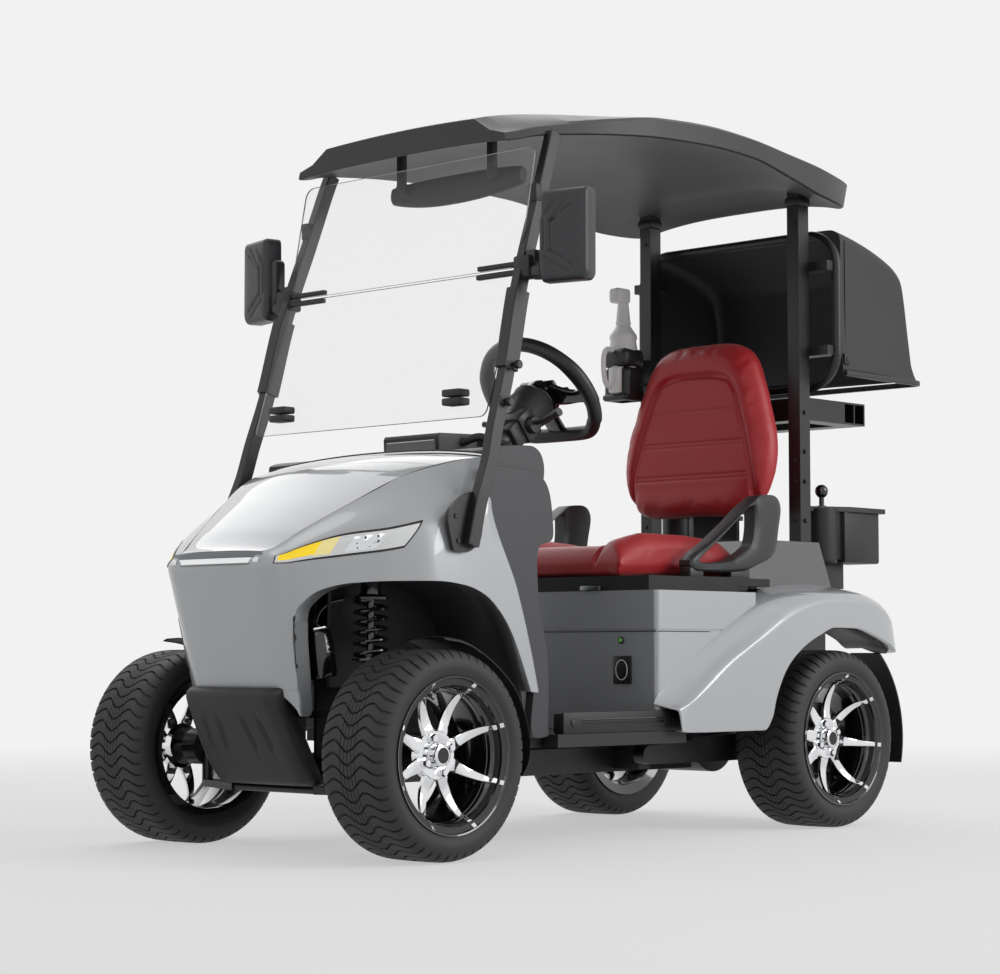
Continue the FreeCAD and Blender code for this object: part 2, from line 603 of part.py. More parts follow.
def floor_tray():
    """The dark floor moulding between the leg shield and the rear body."""
    half = mm.tray_half
    cheek_inner = mm.cheek_outer - mm.cheek_thick - mm.seat_gap
    cheek_rear = mm.shield_front + mm.shield_long
    wide = block((-half, cheek_rear, mm.tray_low), (half, mm.tray_rear, mm.tray_high))
    narrow = block((-cheek_inner, mm.tray_front, mm.tray_low), (cheek_inner, cheek_rear, mm.tray_high))
    return fused([wide, narrow])


keep(feature("FloorTray", floor_tray()), "floor_tray")


def step_trim():
    """The left step trim with its grooved insert."""
    inner = mm.sill_inner
    lean = mm.step_inset
    low, high = mm.tray_high + mm.seat_gap, mm.step_high
    section = [(mm.step_front, low), (mm.step_rear, low), (mm.step_rear, high),
               (mm.step_front + lean, high)]
    trim = side_plate(section, inner, mm.step_outer)
    mid = share(low, high, 0.5)
    groove = block((mm.step_outer - mm.step_groove_deep, mm.step_front + lean * 2,
                    mid - mm.step_groove_tall / 2),
                   (mm.step_outer + mm.overrun, mm.step_rear - lean * 2, mid + mm.step_groove_tall / 2))
    box = block((0, mm.box_front - mm.seat_gap, 0),
                (mm.box_half + mm.seat_gap, mm.box_rear, mm.box_high))
    return trim.cut(groove).cut(box)


keep(both_sides("StepTrim", feature("StepTrim", step_trim())), "step_trims")


# Nose: hood, fascia and front fenders cut from one hollow form

FLANK_SHARES = [(0.167, 0.144), (0.557, 0.48), (0.88, 0.765), (1.0, 1.0)]


def wall_plan(high):
    """Plan outline of the nose walls at a height; the chin leans back below the light bar."""
    lean = chin_lean(high)
    back = mm.chin_shift * lean
    corner = share(mm.corner_half, mm.chin_half, lean)
    half = [(0, nose_front + back), (corner * 0.7, nose_front + back + mm.panel_gap)]
    half.append((corner, mm.corner_front + back))
    for across, along in FLANK_SHARES:
        half.append((share(corner, mm.wall_half, across),
                     share(mm.corner_front + back, mm.flank_rear, along)))
    half.append((mm.wall_half, mm.crease_rear + mm.overrun * 4))
    return half + [(-across, along) for across, along in reversed(half) if across > 0]


def walls(inset):
    """The solid inside the nose walls, moved in by a wall thickness."""
    sections = []
    for high in (mm.nose_low - mm.overrun, mm.nose_low, share(mm.nose_low, mm.bar_low, CHIN_KNEE_SHARE),
                 mm.bar_low, mm.crease_high + mm.overrun * 2):
        level = max(high, mm.nose_low)
        plan = [Vector(across, along, high) for across, along in wall_plan(level)]
        loop = Part.makePolygon(plan + [plan[0]])
        if inset:
            loop = loop.makeOffset2D(-inset, 2, False, False)
        sections.append(loop)
    return Part.makeLoft(sections, True, True)


CREASE_SHARES = [(-0.06, -0.05, 0.0), (0.0, 0.0, 0.0), (0.165, 0.198, 0.26), (0.382, 0.486, 0.5),
                 (0.603, 0.761, 0.6), (0.829, 0.937, 1.0), (1.0, 1.0, 1.4), (1.2, 1.03, 1.5)]


def top_form(drop):
    """The solid under the hood and the flanks, lowered by a wall thickness."""
    sections = []
    for along_share, rise_share, slope in CREASE_SHARES:
        along = share(mm.crease_front, mm.crease_rear, along_share)
        half = share(mm.crease_front_half, mm.crease_rear_half, along_share)
        high = share(mm.crease_low, mm.crease_high, rise_share) - drop
        crown = mm.hood_crown * min(max(along_share, 0) * 2.2, 1)
        outer = mm.wall_half + mm.overrun * 2
        low = mm.nose_low - mm.overrun * 2
        edge = [(outer, low), (outer, high - slope * (outer - half)), (half, high),
                (half * 0.55, high + crown * 0.75), (0, high + crown)]
        ring = edge + [(-across, up) for across, up in reversed(edge) if across > 0]
        sections.append([Vector(across, along, up) for across, up in ring])
    return loft(sections)


def arch_prism():
    """The space cut for each front wheel: round its axle, with an upright front edge."""
    front, axle = mm.arch_front, AXLE_HIGH
    radius = AXLE_HIGH + mm.arch_clear

    def on_arch(angle):
        turn = math.radians(angle)
        return Vector(0, radius * math.cos(turn), axle + radius * math.sin(turn))
    corner = math.degrees(math.acos((front + mm.arch_corner) / radius))
    start = on_arch(corner)
    edge_top = Vector(0, front, start.z - mm.arch_corner * 0.9)
    middle = Vector(0, share(front, start.y, 0.25), share(edge_top.z, start.z, 0.75))
    foot = Vector(0, front, 0)
    back = Vector(0, radius, 0)
    edges = [Part.LineSegment(foot, edge_top), Part.Arc(edge_top, middle, start),
             Part.Arc(start, on_arch(corner / 2), on_arch(0)), Part.LineSegment(on_arch(0), back),
             Part.LineSegment(back, foot)]
    left = Part.Face(wire(edges)).extrude(ALONG_X * mm.wall_half)
    left.translate(ALONG_X * mm.arch_inner_half)
    return Part.makeCompound([left, mirrored(left)])


SEAM_SHARES = [(0.0, 0.84), (0.42, 0.54), (0.65, 0.33), (0.82, 0.16), (0.84, 0.0)]


def seam_line(gap):
    """The seam between the fender and the leg shield in side view, from its top down."""
    return [(mm.shield_front + mm.shield_long * along + gap,
             share(mm.shield_low, mm.crease_high, up)) for along, up in SEAM_SHARES]


def nose_shell():
    """The hollow nose, open below and behind, with its wheel arches cut."""
    outer = walls(0).common(top_form(0))
    inner = walls(mm.panel_wall).common(top_form(mm.panel_wall * 1.3))
    below = block((-mm.wall_half * 2, nose_front * 2, 0),
                  (mm.wall_half * 2, mm.crease_rear * 3, mm.nose_low))
    behind = [(mm.crease_rear * 3, mm.shield_low), (mm.crease_rear * 3, mm.crease_high * 2),
              (mm.shield_front, mm.crease_high * 2)]
    rear_plane = side_plate(seam_line(0) + behind, -mm.wall_half * 2, mm.wall_half * 2)
    hood_back = block((-mm.crease_rear_half + mm.overrun, mm.shield_front - mm.overrun,
                       mm.crease_high - mm.overrun * 2),
                      (mm.crease_rear_half - mm.overrun, mm.crease_rear, mm.crease_high * 2))
    return outer.cut(inner).cut(below).cut(arch_prism()).cut(rear_plane.cut(hood_back))


def crease_prism(gap):
    """The plan between the two creases, from the nose to the windscreen."""
    reach = nose_front - mm.overrun
    slope = (mm.crease_rear_half - mm.crease_front_half) / (mm.crease_rear - mm.crease_front)
    front_half = mm.crease_front_half + slope * (reach - mm.crease_front) - gap
    back = mm.crease_rear + mm.overrun
    back_half = mm.crease_rear_half + slope * (back - mm.crease_rear) - gap
    plan = [Vector(-front_half, reach, 0), Vector(front_half, reach, 0),
            Vector(back_half, back, 0), Vector(-back_half, back, 0)]
    return face(plan).extrude(ALONG_Z * mm.crease_high * 2)


def light_band(grow):
    """The slot across the nose that the light bar fills."""
    return block((-mm.bar_half - grow, nose_front - mm.overrun, mm.bar_low - grow),
                 (mm.bar_half + grow, nose_front + mm.bar_deep + grow, mm.bar_high + grow))


def fascia_prism(gap):
    """The front wall between the two corners, below the light bar."""
    half = mm.corner_half + gap
    return block((-half, nose_front - mm.overrun, 0),
                 (half, mm.corner_front + mm.chin_shift + mm.overrun, mm.bar_high + gap))


shell = nose_shell()


HEADLIGHT_SHARES = [(0.012, 0.0), (0.085, 0.32), (0.28, 0.55), (0.44, 0.70), (0.86, 1.0),
                    (0.76, 0.39), (0.39, 0.17), (0.17, 0.07)]


def lamp_prism(grow):
    """The wedge outline of the left headlight, carried level into the flank."""
    low, tall = mm.bar_low, mm.headlight_tall
    start = Vector(mm.corner_half, mm.corner_front, 0)
    end = Vector(mm.wall_half + mm.headlight_deep, mm.flank_rear, 0)
    inward = (end - start).cross(ALONG_Z).normalize() * -1
    corners = [start + (end - start) * along + ALONG_Z * (low + tall * up)
               for along, up in HEADLIGHT_SHARES]
    outline = Part.makePolygon(corners + [corners[0]])
    if grow:
        outline = outline.makeOffset2D(grow, 2, False, False)
    prism = Part.Face(outline)
    prism.translate(inward * -mm.overrun * 2)
    return prism.extrude(inward * (mm.headlight_deep * 2 + mm.overrun * 2))


def headlight(form, core):
    """The left headlight: the flank's own form inside the outline, as deep as the lamp."""
    lamp = form.common(lamp_prism(0)).cut(core).cut(fascia_prism(mm.panel_gap / 2))
    return largest(lamp.cut(crease_prism(mm.panel_gap / 2)), 1)


def largest(shape, count):
    """The largest solids of a shape, without slivers left by cuts."""
    solids = sorted(shape.Solids, key=lambda solid: solid.Volume, reverse=True)[:count]
    return solids[0] if count == 1 else Part.makeCompound(solids)


lamp_hole = lamp_prism(mm.seat_gap)
shell = shell.cut(Part.makeCompound([lamp_hole, mirrored(lamp_hole)]))
hood_part = shell.common(crease_prism(mm.panel_gap / 2)).cut(fascia_prism(mm.panel_gap / 2))
fascia_part = shell.common(fascia_prism(-mm.panel_gap / 2)).cut(light_band(mm.panel_gap / 2))
fender_part = shell.cut(crease_prism(-mm.panel_gap / 2)).cut(fascia_prism(mm.panel_gap / 2))
nose_form = walls(0).common(top_form(0))
lamp_core = walls(mm.headlight_deep).common(top_form(mm.headlight_deep))
left_lamp = headlight(nose_form, lamp_core)
keep(feature("Headlights", Part.makeCompound([left_lamp, mirrored(left_lamp)])), "headlights")

keep(feature("Hood", largest(hood_part, 1)), "hood")
keep(feature("Fascia", largest(fascia_part, 1)), "front_fascia")
keep(feature("FrontFenders", largest(fender_part, 2)), "front_fenders")

light_bar = light_band(0).cut(block((-mm.bar_half * 2, nose_front - mm.overrun * 2, 0),
                                    (mm.bar_half * 2, nose_front + mm.panel_gap, mm.bar_high * 2)))
keep(feature("LightBar", light_bar), "light_bar")


# Bumper: a dark moulding under the fascia

def bumper():
    """A rounded shield that narrows and leans back towards its foot."""
    sections = []
    for up_share in (0, 0.55, 0.9, 1):
        high = share(mm.bumper_low, mm.bumper_top, up_share)
        half = share(mm.bumper_low_half, mm.bumper_top_half, up_share ** 0.6)
        front = share(mm.bumper_low_front, bumper_top_front, up_share ** 0.55)
        deep = mm.bumper_deep * (BUMPER_EDGE_SHARE if up_share in (0, 1) else 1)
        edge = mm.bumper_round
        plan = [(-half + edge, front), (half - edge, front), (half, front + edge),
                (half, front + deep), (-half, front + deep), (-half, front + edge)]
        sections.append([Vector(across, along, high) for across, along in plan])
    return loft(sections)


keep(feature("Bumper", bumper()), "front_bumper")


# Dash and leg shield: two cheeks, the dash between them and the bulkhead

def dash_cowl():
    """The dark moulding behind the hood, with the instrument pod on top."""
    front, long = mm.shield_front, mm.shield_long
    low, tall = mm.shield_low, mm.shield_tall
    cheek_shares = [(0.08, 1.0), (0.52, 1.0), (0.82, 0.97), (0.995, 0.88), (1.0, 0.755),
                    (0.93, 0.715), (0.77, 0.70), (0.755, 0.55), (0.93, 0.42), (0.95, 0.16),
                    (1.0, 0.0)]
    seam = list(reversed(seam_line(mm.panel_gap)))
    outline = [(front + long * along, low + tall * up) for along, up in cheek_shares] + seam
    radius = mm.shield_round
    radii = [0] + [radius] * 6 + [radius * 3] * 3 + [0] * (1 + len(seam))
    cheek = side_plate(outline, mm.cheek_outer - mm.cheek_thick, mm.cheek_outer, radii)
    top = low + tall
    inner = mm.cheek_outer - mm.cheek_thick / 2
    rear = front + long
    dash = side_plate([(mm.crease_rear + mm.panel_gap * 2, mm.dash_low),
                       (rear, mm.dash_low + mm.shield_round), (rear, share(mm.dash_low, top, 0.6)),
                       (share(mm.crease_rear, rear, 0.62), top + mm.dash_crown * 0.6),
                       (mm.crease_rear + mm.panel_gap * 2, top + mm.dash_crown * 0.4)],
                      -inner, inner, [0, radius, radius * 2, radius * 2, 0])
    wall = mm.bulkhead_wall
    bulkhead = side_plate([(mm.bulkhead_front, mm.dash_low + wall),
                           (mm.bulkhead_front - wall, mm.dash_low + wall),
                           (mm.tray_front - mm.panel_gap - wall, mm.tray_low),
                           (mm.tray_front - mm.panel_gap, mm.tray_low)], -inner, inner)
    neck_low = share(mm.dash_low, top, 0.75)
    pod = side_plate([(mm.pod_front, mm.pod_low - mm.dash_crown * 0.6), (rear - mm.dash_crown / 2, neck_low),
                      (rear + mm.shield_round / 2, mm.pod_low), (mm.pod_rear, mm.pod_high - mm.pod_thick),
                      (mm.pod_rear, mm.pod_high - mm.pod_thick / 3), (mm.pod_front, mm.pod_high)],
                     -mm.pod_half, mm.pod_half)
    return fused([cheek, mirrored(cheek), dash, bulkhead, pod])


keep(feature("DashCowl", dash_cowl()), "dash_cowl")


# Steering column and wheel

tilt = math.radians(mm.column_tilt)
UP_COLUMN = Vector(0, math.cos(tilt), math.sin(tilt))
UP_WHEEL = Vector(0, -math.sin(tilt), math.cos(tilt))
hub_place = Vector(0, mm.wheel_back, mm.wheel_high)


def steering_column():
    """The tilted column with its switch housing and stalk."""
    top = hub_place - UP_COLUMN * (mm.boss_thick / 2 + mm.seat_gap)
    foot = hub_place - UP_COLUMN * mm.column_long
    tube = rod(mm.column_radius * 0.7, foot, top)
    head = rod(mm.column_radius, top - UP_COLUMN * mm.column_head_long, top)
    bellows = Part.makeCone(mm.column_radius * 1.7, mm.column_radius * 0.8, mm.column_head_long,
                            foot, UP_COLUMN)
    stalk_foot = top - UP_COLUMN * mm.column_radius
    stalk = rod(mm.shaft_radius / 2, stalk_foot,
                stalk_foot + Vector(mm.column_head_long, 0, mm.shaft_radius))
    dash_rear = mm.shield_front + mm.shield_long + mm.seat_gap
    below_dash = block((-mm.column_long, dash_rear - mm.column_long, 0),
                       (mm.column_long, dash_rear, mm.wheel_high))
    return fused([tube, head, bellows, stalk]).cut(below_dash)


def steering_wheel():
    """A flat-bottomed grip on three spokes and a padded boss."""
    ring = Part.makeTorus(mm.grip_radius, mm.grip_tube)
    flat = mm.steer_flat
    below = block((-mm.grip_radius * 2, -mm.grip_radius * 2, -mm.grip_tube * 2),
                  (mm.grip_radius * 2, -flat, mm.grip_tube * 2))
    ring = ring.cut(below)
    chord = math.sqrt(mm.grip_radius ** 2 - flat ** 2)
    base = rod(mm.grip_tube, Vector(-chord, -flat, 0), Vector(chord, -flat, 0))
    boss = Part.makeCylinder(mm.boss_radius, mm.boss_thick, Vector(0, 0, -mm.boss_thick / 2))
    bar = mm.spoke_bar
    thick = mm.grip_tube / 2
    level = block((-mm.grip_radius, -bar / 2, -thick), (mm.grip_radius, bar / 2, thick))
    down = block((-bar, -flat, -thick), (bar, 0, thick))
    wheel = fused([ring, base, boss, level, down])
    wheel.Placement = Placement(hub_place, Rotation(ALONG_X, UP_WHEEL, ALONG_X.cross(UP_WHEEL)))
    return wheel


keep(feature("SteeringColumn", steering_column()), "steering_column")
keep(feature("SteeringWheel", steering_wheel()), "steering_wheel")


# Pedals

def pedal(across):
    """One pedal pad on its arm from the bulkhead."""
    back, low = mm.pedal_back, mm.pedal_low
    pad = side_plate([(back, low), (back + mm.pedal_thick, low),
                      (back + mm.pedal_thick - mm.pedal_tall * 0.3, low + mm.pedal_tall),
                      (back - mm.pedal_tall * 0.3, low + mm.pedal_tall)],
                     across - mm.pedal_wide / 2, across + mm.pedal_wide / 2)
    mid = low + mm.pedal_tall / 2
    rise = (mid - mm.tray_low) / (mm.dash_low + mm.bulkhead_wall - mm.tray_low)
    seat = share(mm.tray_front - mm.panel_gap, mm.bulkhead_front, rise) + mm.seat_gap
    arm = block((across - mm.pedal_arm / 2, seat, mid),
                (across + mm.pedal_arm / 2, back - mm.pedal_thick / 2, mid + mm.pedal_arm))
    return fused([pad, arm])


keep(feature("Pedals", Part.makeCompound([pedal(mm.pedal_place), pedal(-mm.pedal_place)])), "pedals")


# Seat box with the battery inside and the charge socket on its front

def seat_box():
    """A hollow box open below, with a seam round its front and sides."""
    half, front, rear = mm.box_half, mm.box_front, mm.box_rear
    low, high, wall = mm.tray_high + mm.seat_gap, mm.box_high, mm.box_wall
    plan = [Vector(-half, front, low), Vector(half, front, low), Vector(half, rear, low),
            Vector(-half, rear, low)]
    outer = face(plan, [mm.box_round, mm.box_round, 0, 0]).extrude(ALONG_Z * (high - low))
    inner = block((-half + wall, front + wall, low - mm.overrun), (half - wall, rear - wall, high - wall))
    seam = block((-half - mm.overrun, front - mm.overrun, mm.seam_high),
                 (half + mm.overrun, rear + mm.overrun, mm.seam_high + mm.seam_tall))
    core = block((-half + mm.seam_deep, front + mm.seam_deep, low),
                 (half - mm.seam_deep, rear + mm.overrun * 2, high))
    return outer.cut(inner).cut(seam.cut(core))


keep(feature("SeatBox", seat_box()), "seat_box")
battery = placed("Part::Box", "Battery", Length="Sizes.battery_half * 2",
                 Width="Sizes.box_rear - Sizes.box_front - 2 * (Sizes.box_wall + Sizes.battery_clear)",
                 Height="Sizes.battery_tall")
keep(battery, "battery_pack")
battery.setExpression("Placement.Base.x", "-Sizes.battery_half")
battery.setExpression("Placement.Base.y",
                      "(Sizes.nose_reach - Sizes.cover_reach) / 2 + Sizes.box_front"
                      " + Sizes.box_wall + Sizes.battery_clear")
battery.setExpression("Placement.Base.z", "Sizes.tray_high")

socket_back = mm.box_front - mm.seat_gap
plate = block((SOCKET_PLACE - mm.socket_wide / 2, socket_back - mm.socket_proud,
               mm.socket_high - mm.socket_tall / 2),
              (SOCKET_PLACE + mm.socket_wide / 2, socket_back, mm.socket_high + mm.socket_tall / 2))
ring = rod(mm.ring_radius, Vector(SOCKET_PLACE, socket_back - mm.socket_proud, mm.socket_high),
           Vector(SOCKET_PLACE, socket_back - mm.socket_proud - mm.ring_proud, mm.socket_high))
keep(feature("ChargeSocket", fused([plate, ring])), "charge_socket")


# Rear fenders with their arches, and the deck between them

FENDER_TOP_SHARES = [(0.0, 0.19), (0.06, 0.29), (0.14, 0.48), (0.25, 0.66), (0.36, 0.83),
                     (0.515, 0.955), (0.70, 0.985), (0.86, 0.99), (0.94, 0.93), (0.975, 0.80),
                     (1.0, 0.545)]


def fender_spot(index, gap):
    """One point of the fender's top line in side view, moved out by a gap."""
    along, up = FENDER_TOP_SHARES[index]
    return (share(mm.fender_front, mm.fender_rear, along) + gap,
            share(mm.fender_low, mm.fender_high, up) + gap)


def fender_top(along):
    """Height of the fender's top line at a place behind the seat."""
    spots = [fender_spot(index, 0) for index in range(len(FENDER_TOP_SHARES))]
    for (near, near_high), (far, far_high) in zip(spots, spots[1:]):
        if near <= along <= far:
            return share(near_high, far_high, (along - near) / (far - near))
    return mm.fender_low


def rear_fender():
    """The left rear fender: flared outside, hollow inside, with its arch cut."""
    low, high = mm.fender_low, mm.fender_high
    front, rear = mm.fender_front, mm.fender_rear
    outer_shares = [(0.075, 0.13), (0.15, 0.28), (0.22, 0.41), (0.32, 0.57), (0.43, 0.73),
                    (0.555, 0.85), (0.70, 0.92), (0.84, 0.93), (0.93, 0.86), (0.97, 0.74),
                    (0.995, 0.535)]
    inner_face = mm.box_half + mm.seat_gap
    outline = []
    for shares, across in ((FENDER_TOP_SHARES, inner_face), (outer_shares, FENDER_HALF)):
        line = [Vector(across, share(front, rear, along), share(low, high, up)) for along, up in shares]
        line.append(Vector(across, share(front, rear, 0.99), share(low, high, 0.5)))
        line.append(Vector(across, share(front, rear, 0.99), low))
        line.append(Vector(across, line[0].y, low))
        outline.append(line)
    flare = loft(outline)
    cap = [Vector(mm.fender_inner, point.y, point.z) for point in outline[0]]
    behind_box = mm.box_rear + mm.seat_gap
    top = loft([cap, outline[0]])
    top = top.cut(block((0, 0, 0), (mm.box_half + mm.seat_gap * 2, behind_box, high * 2)))
    whole = flare.fuse(top)
    arch = rod(AXLE_HIGH + mm.rear_arch_clear, Vector(0, mm.wheel_base, AXLE_HIGH - mm.rear_arch_drop / 2),
               Vector(FENDER_HALF * 2, mm.wheel_base, AXLE_HIGH - mm.rear_arch_drop / 2))
    under = block((0, mm.wheel_base, 0), (FENDER_HALF * 2, rear + mm.overrun * 2,
                                          share(low, high, 0.54)))
    hollow = block((0, behind_box + mm.fender_wall, 0),
                   (FENDER_HALF - mm.fender_wall * 3, rear - mm.fender_wall * 5,
                    high - mm.fender_wall * 5))
    step = block((0, 0, 0), (FENDER_HALF * 2, mm.step_rear + mm.seat_gap, mm.step_high + mm.seat_gap))
    return whole.cut(arch).cut(under).cut(hollow).cut(step).removeSplitter()


left_fender = largest(rear_fender(), 1)
keep(both_sides("RearFender", feature("RearFender", left_fender)), "rear_fenders")


def rear_deck():
    """The raised deck behind the seat, hollow below, that carries the roof posts."""
    def ring(half, front, rear, high):
        return [Vector(-half, front, high), Vector(half, front, high), Vector(half, rear, high),
                Vector(-half, rear, high)]
    wall = mm.deck_wall
    low, high = mm.fender_high + mm.seat_gap, mm.deck_high
    outer = loft([ring(mm.deck_half, mm.deck_front, mm.deck_rear, low),
                  ring(mm.deck_top_half, mm.deck_top_front, mm.deck_top_rear, high)])
    inner = loft([ring(mm.deck_half - wall, mm.deck_front + wall, mm.deck_rear - wall, low),
                  ring(mm.deck_top_half - wall, mm.deck_top_front + wall, mm.deck_top_rear - wall,
                       high - wall)])
    plate_half = mm.fender_inner - mm.seat_gap
    plate_low = mm.deck_low
    plate_part = block((-plate_half, mm.box_rear + mm.seat_gap, plate_low),
                       (plate_half, mm.deck_rear, plate_low + wall * 2))
    return fused([outer.cut(inner), plate_part])


keep(feature("RearDeck", rear_deck()), "rear_deck")


def bag_well():
    """The open tub that the golf bag stands in."""
    wall = mm.well_wall
    front = mm.deck_rear + mm.seat_gap
    outer = block((-mm.well_half, front, mm.well_low), (mm.well_half, mm.well_rear, mm.well_high))
    inner = block((-mm.well_half + wall, front + wall, mm.well_low + wall),
                  (mm.well_half - wall, mm.well_rear - wall, mm.well_high + mm.overrun))
    return outer.cut(inner)


keep(feature("BagWell", bag_well()), "bag_well")


def tail_lamp_box():
    """The left tail lamp, lying against the fender's tail."""
    (top_back, top_high), (foot_back, foot_high) = fender_spot(-2, 0), fender_spot(-1, 0)
    line = []
    for high in (mm.lamp_high, mm.lamp_high + mm.lamp_tall):
        down = (top_high - high) / (top_high - foot_high)
        line.append((share(top_back, foot_back, down) + mm.seat_gap, high))
    rear = [(back + mm.lamp_deep, high) for back, high in reversed(line)]
    return side_plate(line + rear, mm.lamp_place - mm.lamp_half_wide, mm.lamp_place + mm.lamp_half_wide)


tail_lamp = tail_lamp_box()
keep(feature("TailLamps", Part.makeCompound([tail_lamp, mirrored(tail_lamp)])), "tail_lamps")


# Seat: tray, cushion, back and its bracket

def seat_frame():
    """The black tray under the cushion with the bracket that carries the seat back."""
    low = mm.box_high + mm.seat_gap
    tray = block((-mm.seat_tray_half, mm.seat_tray_front, low),
                 (mm.seat_tray_half, mm.deck_front - mm.seat_gap, mm.seat_tray_high))
    behind_box = block((-mm.seat_tray_half * 2, mm.box_rear - mm.overrun, 0),
                       (mm.seat_tray_half * 2, mm.deck_rear, mm.deck_low + mm.deck_wall * 2 + mm.seat_gap))
    tray = tray.cut(behind_box)
    half = mm.bracket_wide / 2
    front = mm.deck_front - mm.seat_gap - mm.bracket_thick
    shelf_low = mm.deck_high + mm.seat_gap
    back_plane = mm.back_front + mm.back_thick + mm.seat_gap
    rise = block((-half, front, mm.seat_tray_high - mm.bracket_thick),
                 (half, front + mm.bracket_thick, shelf_low + mm.bracket_thick))
    shelf = block((-half, front, shelf_low),
                  (half, back_plane + mm.bracket_thick, shelf_low + mm.bracket_thick))
    upright = block((-half, back_plane, shelf_low), (half, back_plane + mm.bracket_thick, mm.bracket_top))
    return fused([tray, rise, shelf, upright])


keep(feature("SeatFrame", seat_frame()), "seat_frame")


def cushion():
    """The seat cushion as a closed form with rounded edges and a raised bolster on each side."""
    low = mm.seat_tray_high + mm.seat_gap
    outline = [(mm.cushion_front, low), (mm.cushion_rear, low), (mm.cushion_rear, mm.cushion_high),
               (mm.cushion_front, mm.cushion_high)]
    pad = side_plate(outline, -mm.cushion_half, mm.cushion_half,
                     [0, 0, mm.cushion_round, mm.cushion_round])
    top = mm.cushion_high + mm.bolster_rise
    raised = [(mm.bolster_front, low), (mm.cushion_rear, low), (mm.cushion_rear, top),
              (mm.bolster_front + mm.bolster_wide, top), (mm.bolster_front, mm.cushion_high)]
    bolster = side_plate(raised, mm.cushion_half - mm.bolster_wide, mm.cushion_half,
                         [0, 0, mm.cushion_round, mm.bolster_wide, mm.cushion_round])
    return fused([pad, bolster, mirrored(bolster)])


keep(feature("Cushion", cushion()), "seat_cushion")


BACK_SHARES = [(0.56, 0.0), (0.86, 0.10), (1.0, 0.36), (0.90, 0.62), (0.68, 0.93), (0.42, 1.0)]
PANEL_SHARES = [(0.62, 0.22), (0.64, 0.45), (0.50, 0.80), (0.32, 0.84)]


def back_plate(shares, along, thick):
    """A plate with the outline that shares of the seat back's half width and height give."""
    half = [(mm.back_half * across, share(mm.back_low, mm.back_high, up)) for across, up in shares]
    ring_points = half + [(-across, up) for across, up in reversed(half)]
    corners = [Vector(across, along, up) for across, up in ring_points]
    return face(corners, mm.cushion_round).extrude(ALONG_Y * thick)


def seat_back():
    """The seat back: widest low down, narrower at its rounded top, with a sunk panel in front."""
    panel = back_plate(PANEL_SHARES, mm.back_front - mm.overrun, mm.overrun + mm.back_recess)
    return back_plate(BACK_SHARES, mm.back_front, mm.back_thick).cut(panel)


keep(feature("SeatBack", seat_back()), "seat_back")


def armrest():
    """A closed loop that rises from its foot beside the cushion."""
    front, long, low, tall = mm.rest_front, mm.rest_long, mm.rest_low, mm.rest_tall
    loop_shares = [(0.0, 0.10), (0.06, 0.0), (0.60, 0.05), (0.95, 0.48), (1.0, 0.88), (0.93, 1.0),
                   (0.66, 1.0)]
    bar = mm.rest_bar
    outer = [(front + long * along, low + tall * up) for along, up in loop_shares]
    inner_shares = [(0.19, 0.21), (0.55, 0.22), (0.85, 0.55), (0.89, 0.84), (0.68, 0.84)]
    inner = [(front + long * along, low + tall * up) for along, up in inner_shares]
    place = mm.rest_place
    loop = side_plate(outer, place, place + mm.rest_wide, mm.rest_round / 3)
    hole = side_plate(inner, place - mm.overrun, place + mm.rest_wide + mm.overrun, mm.rest_round / 4)
    foot_low = mm.seat_tray_high + mm.seat_gap
    foot = block((place + mm.rest_wide / 2, front, foot_low),
                 (place + mm.rest_wide, front + bar * 4, low + bar))
    return fused([loop.cut(hole), foot])


keep(both_sides("Armrest", feature("Armrest", armrest())), "armrests")


# Roof, posts, pillars and windscreen

ROOF_SHARES = [(0.0, 0.0, 0.0, 0.43), (0.085, 0.25, 0.45, 0.8), (0.17, 0.48, 0.6, 1.0),
               (0.335, 0.82, 0.82, 1.0), (0.53, 1.0, 1.0, 1.0), (0.71, 0.80, 0.84, 1.1),
               (0.87, 0.36, 0.5, 1.25), (1.0, 0.0, 0.1, 1.36)]
SHOULDER_WIDE_SHARE = 0.7


def roof():
    """A thin arched shell whose skirt grows towards its slanted rear end, widest in the middle."""
    outer, inner = [], []
    for along_share, rise, width, edge_share in ROOF_SHARES:
        along = share(mm.roof_front, mm.roof_rear, along_share)
        base = mm.roof_front_low if along_share < 0.54 else mm.roof_rear_low
        low = share(base, mm.roof_mid_low, rise)
        side = mm.roof_front_half if along_share < 0.54 else mm.roof_rear_half
        half = share(side, mm.roof_wide_half, width)
        skirt = mm.roof_edge * edge_share
        peak = low + max(mm.roof_edge, skirt) + mm.roof_crown
        edge = [(half, low), (half - skirt / 4, low + skirt),
                (half * SHOULDER_WIDE_SHARE, peak - mm.roof_crown * 0.3)]
        ring = edge + [(0, peak)] + [(-across, up) for across, up in reversed(edge)]
        back = mm.roof_slant if along_share == 1 else 0
        outer.append([Vector(across, along - back * (peak - up) / (peak - low), up) for across, up in ring])
        wall = mm.roof_wall
        push = wall * 2 if along_share == 0 else (-back - wall * 2 if along_share == 1 else 0)
        edge = [(half - wall * 3, low - wall), (half - skirt / 4 - wall * 3, low + skirt - wall),
                (half * SHOULDER_WIDE_SHARE, peak - mm.roof_crown * 0.3 - wall)]
        ring = edge + [(0, peak - wall)] + [(-across, up) for across, up in reversed(edge)]
        inner.append([Vector(across, along + push, up) for across, up in ring])
    return loft(outer).cut(loft(inner))


roof_shell = roof()
keep(feature("Roof", roof_shell), "roof")


def below_roof(shape):
    """What is left of a shape under the roof, seated against its lower side."""
    lowered = roof_shell.copy()
    lowered.translate(ALONG_Z * -mm.seat_gap)
    return largest(shape.cut(lowered).cut(roof_shell), 1)


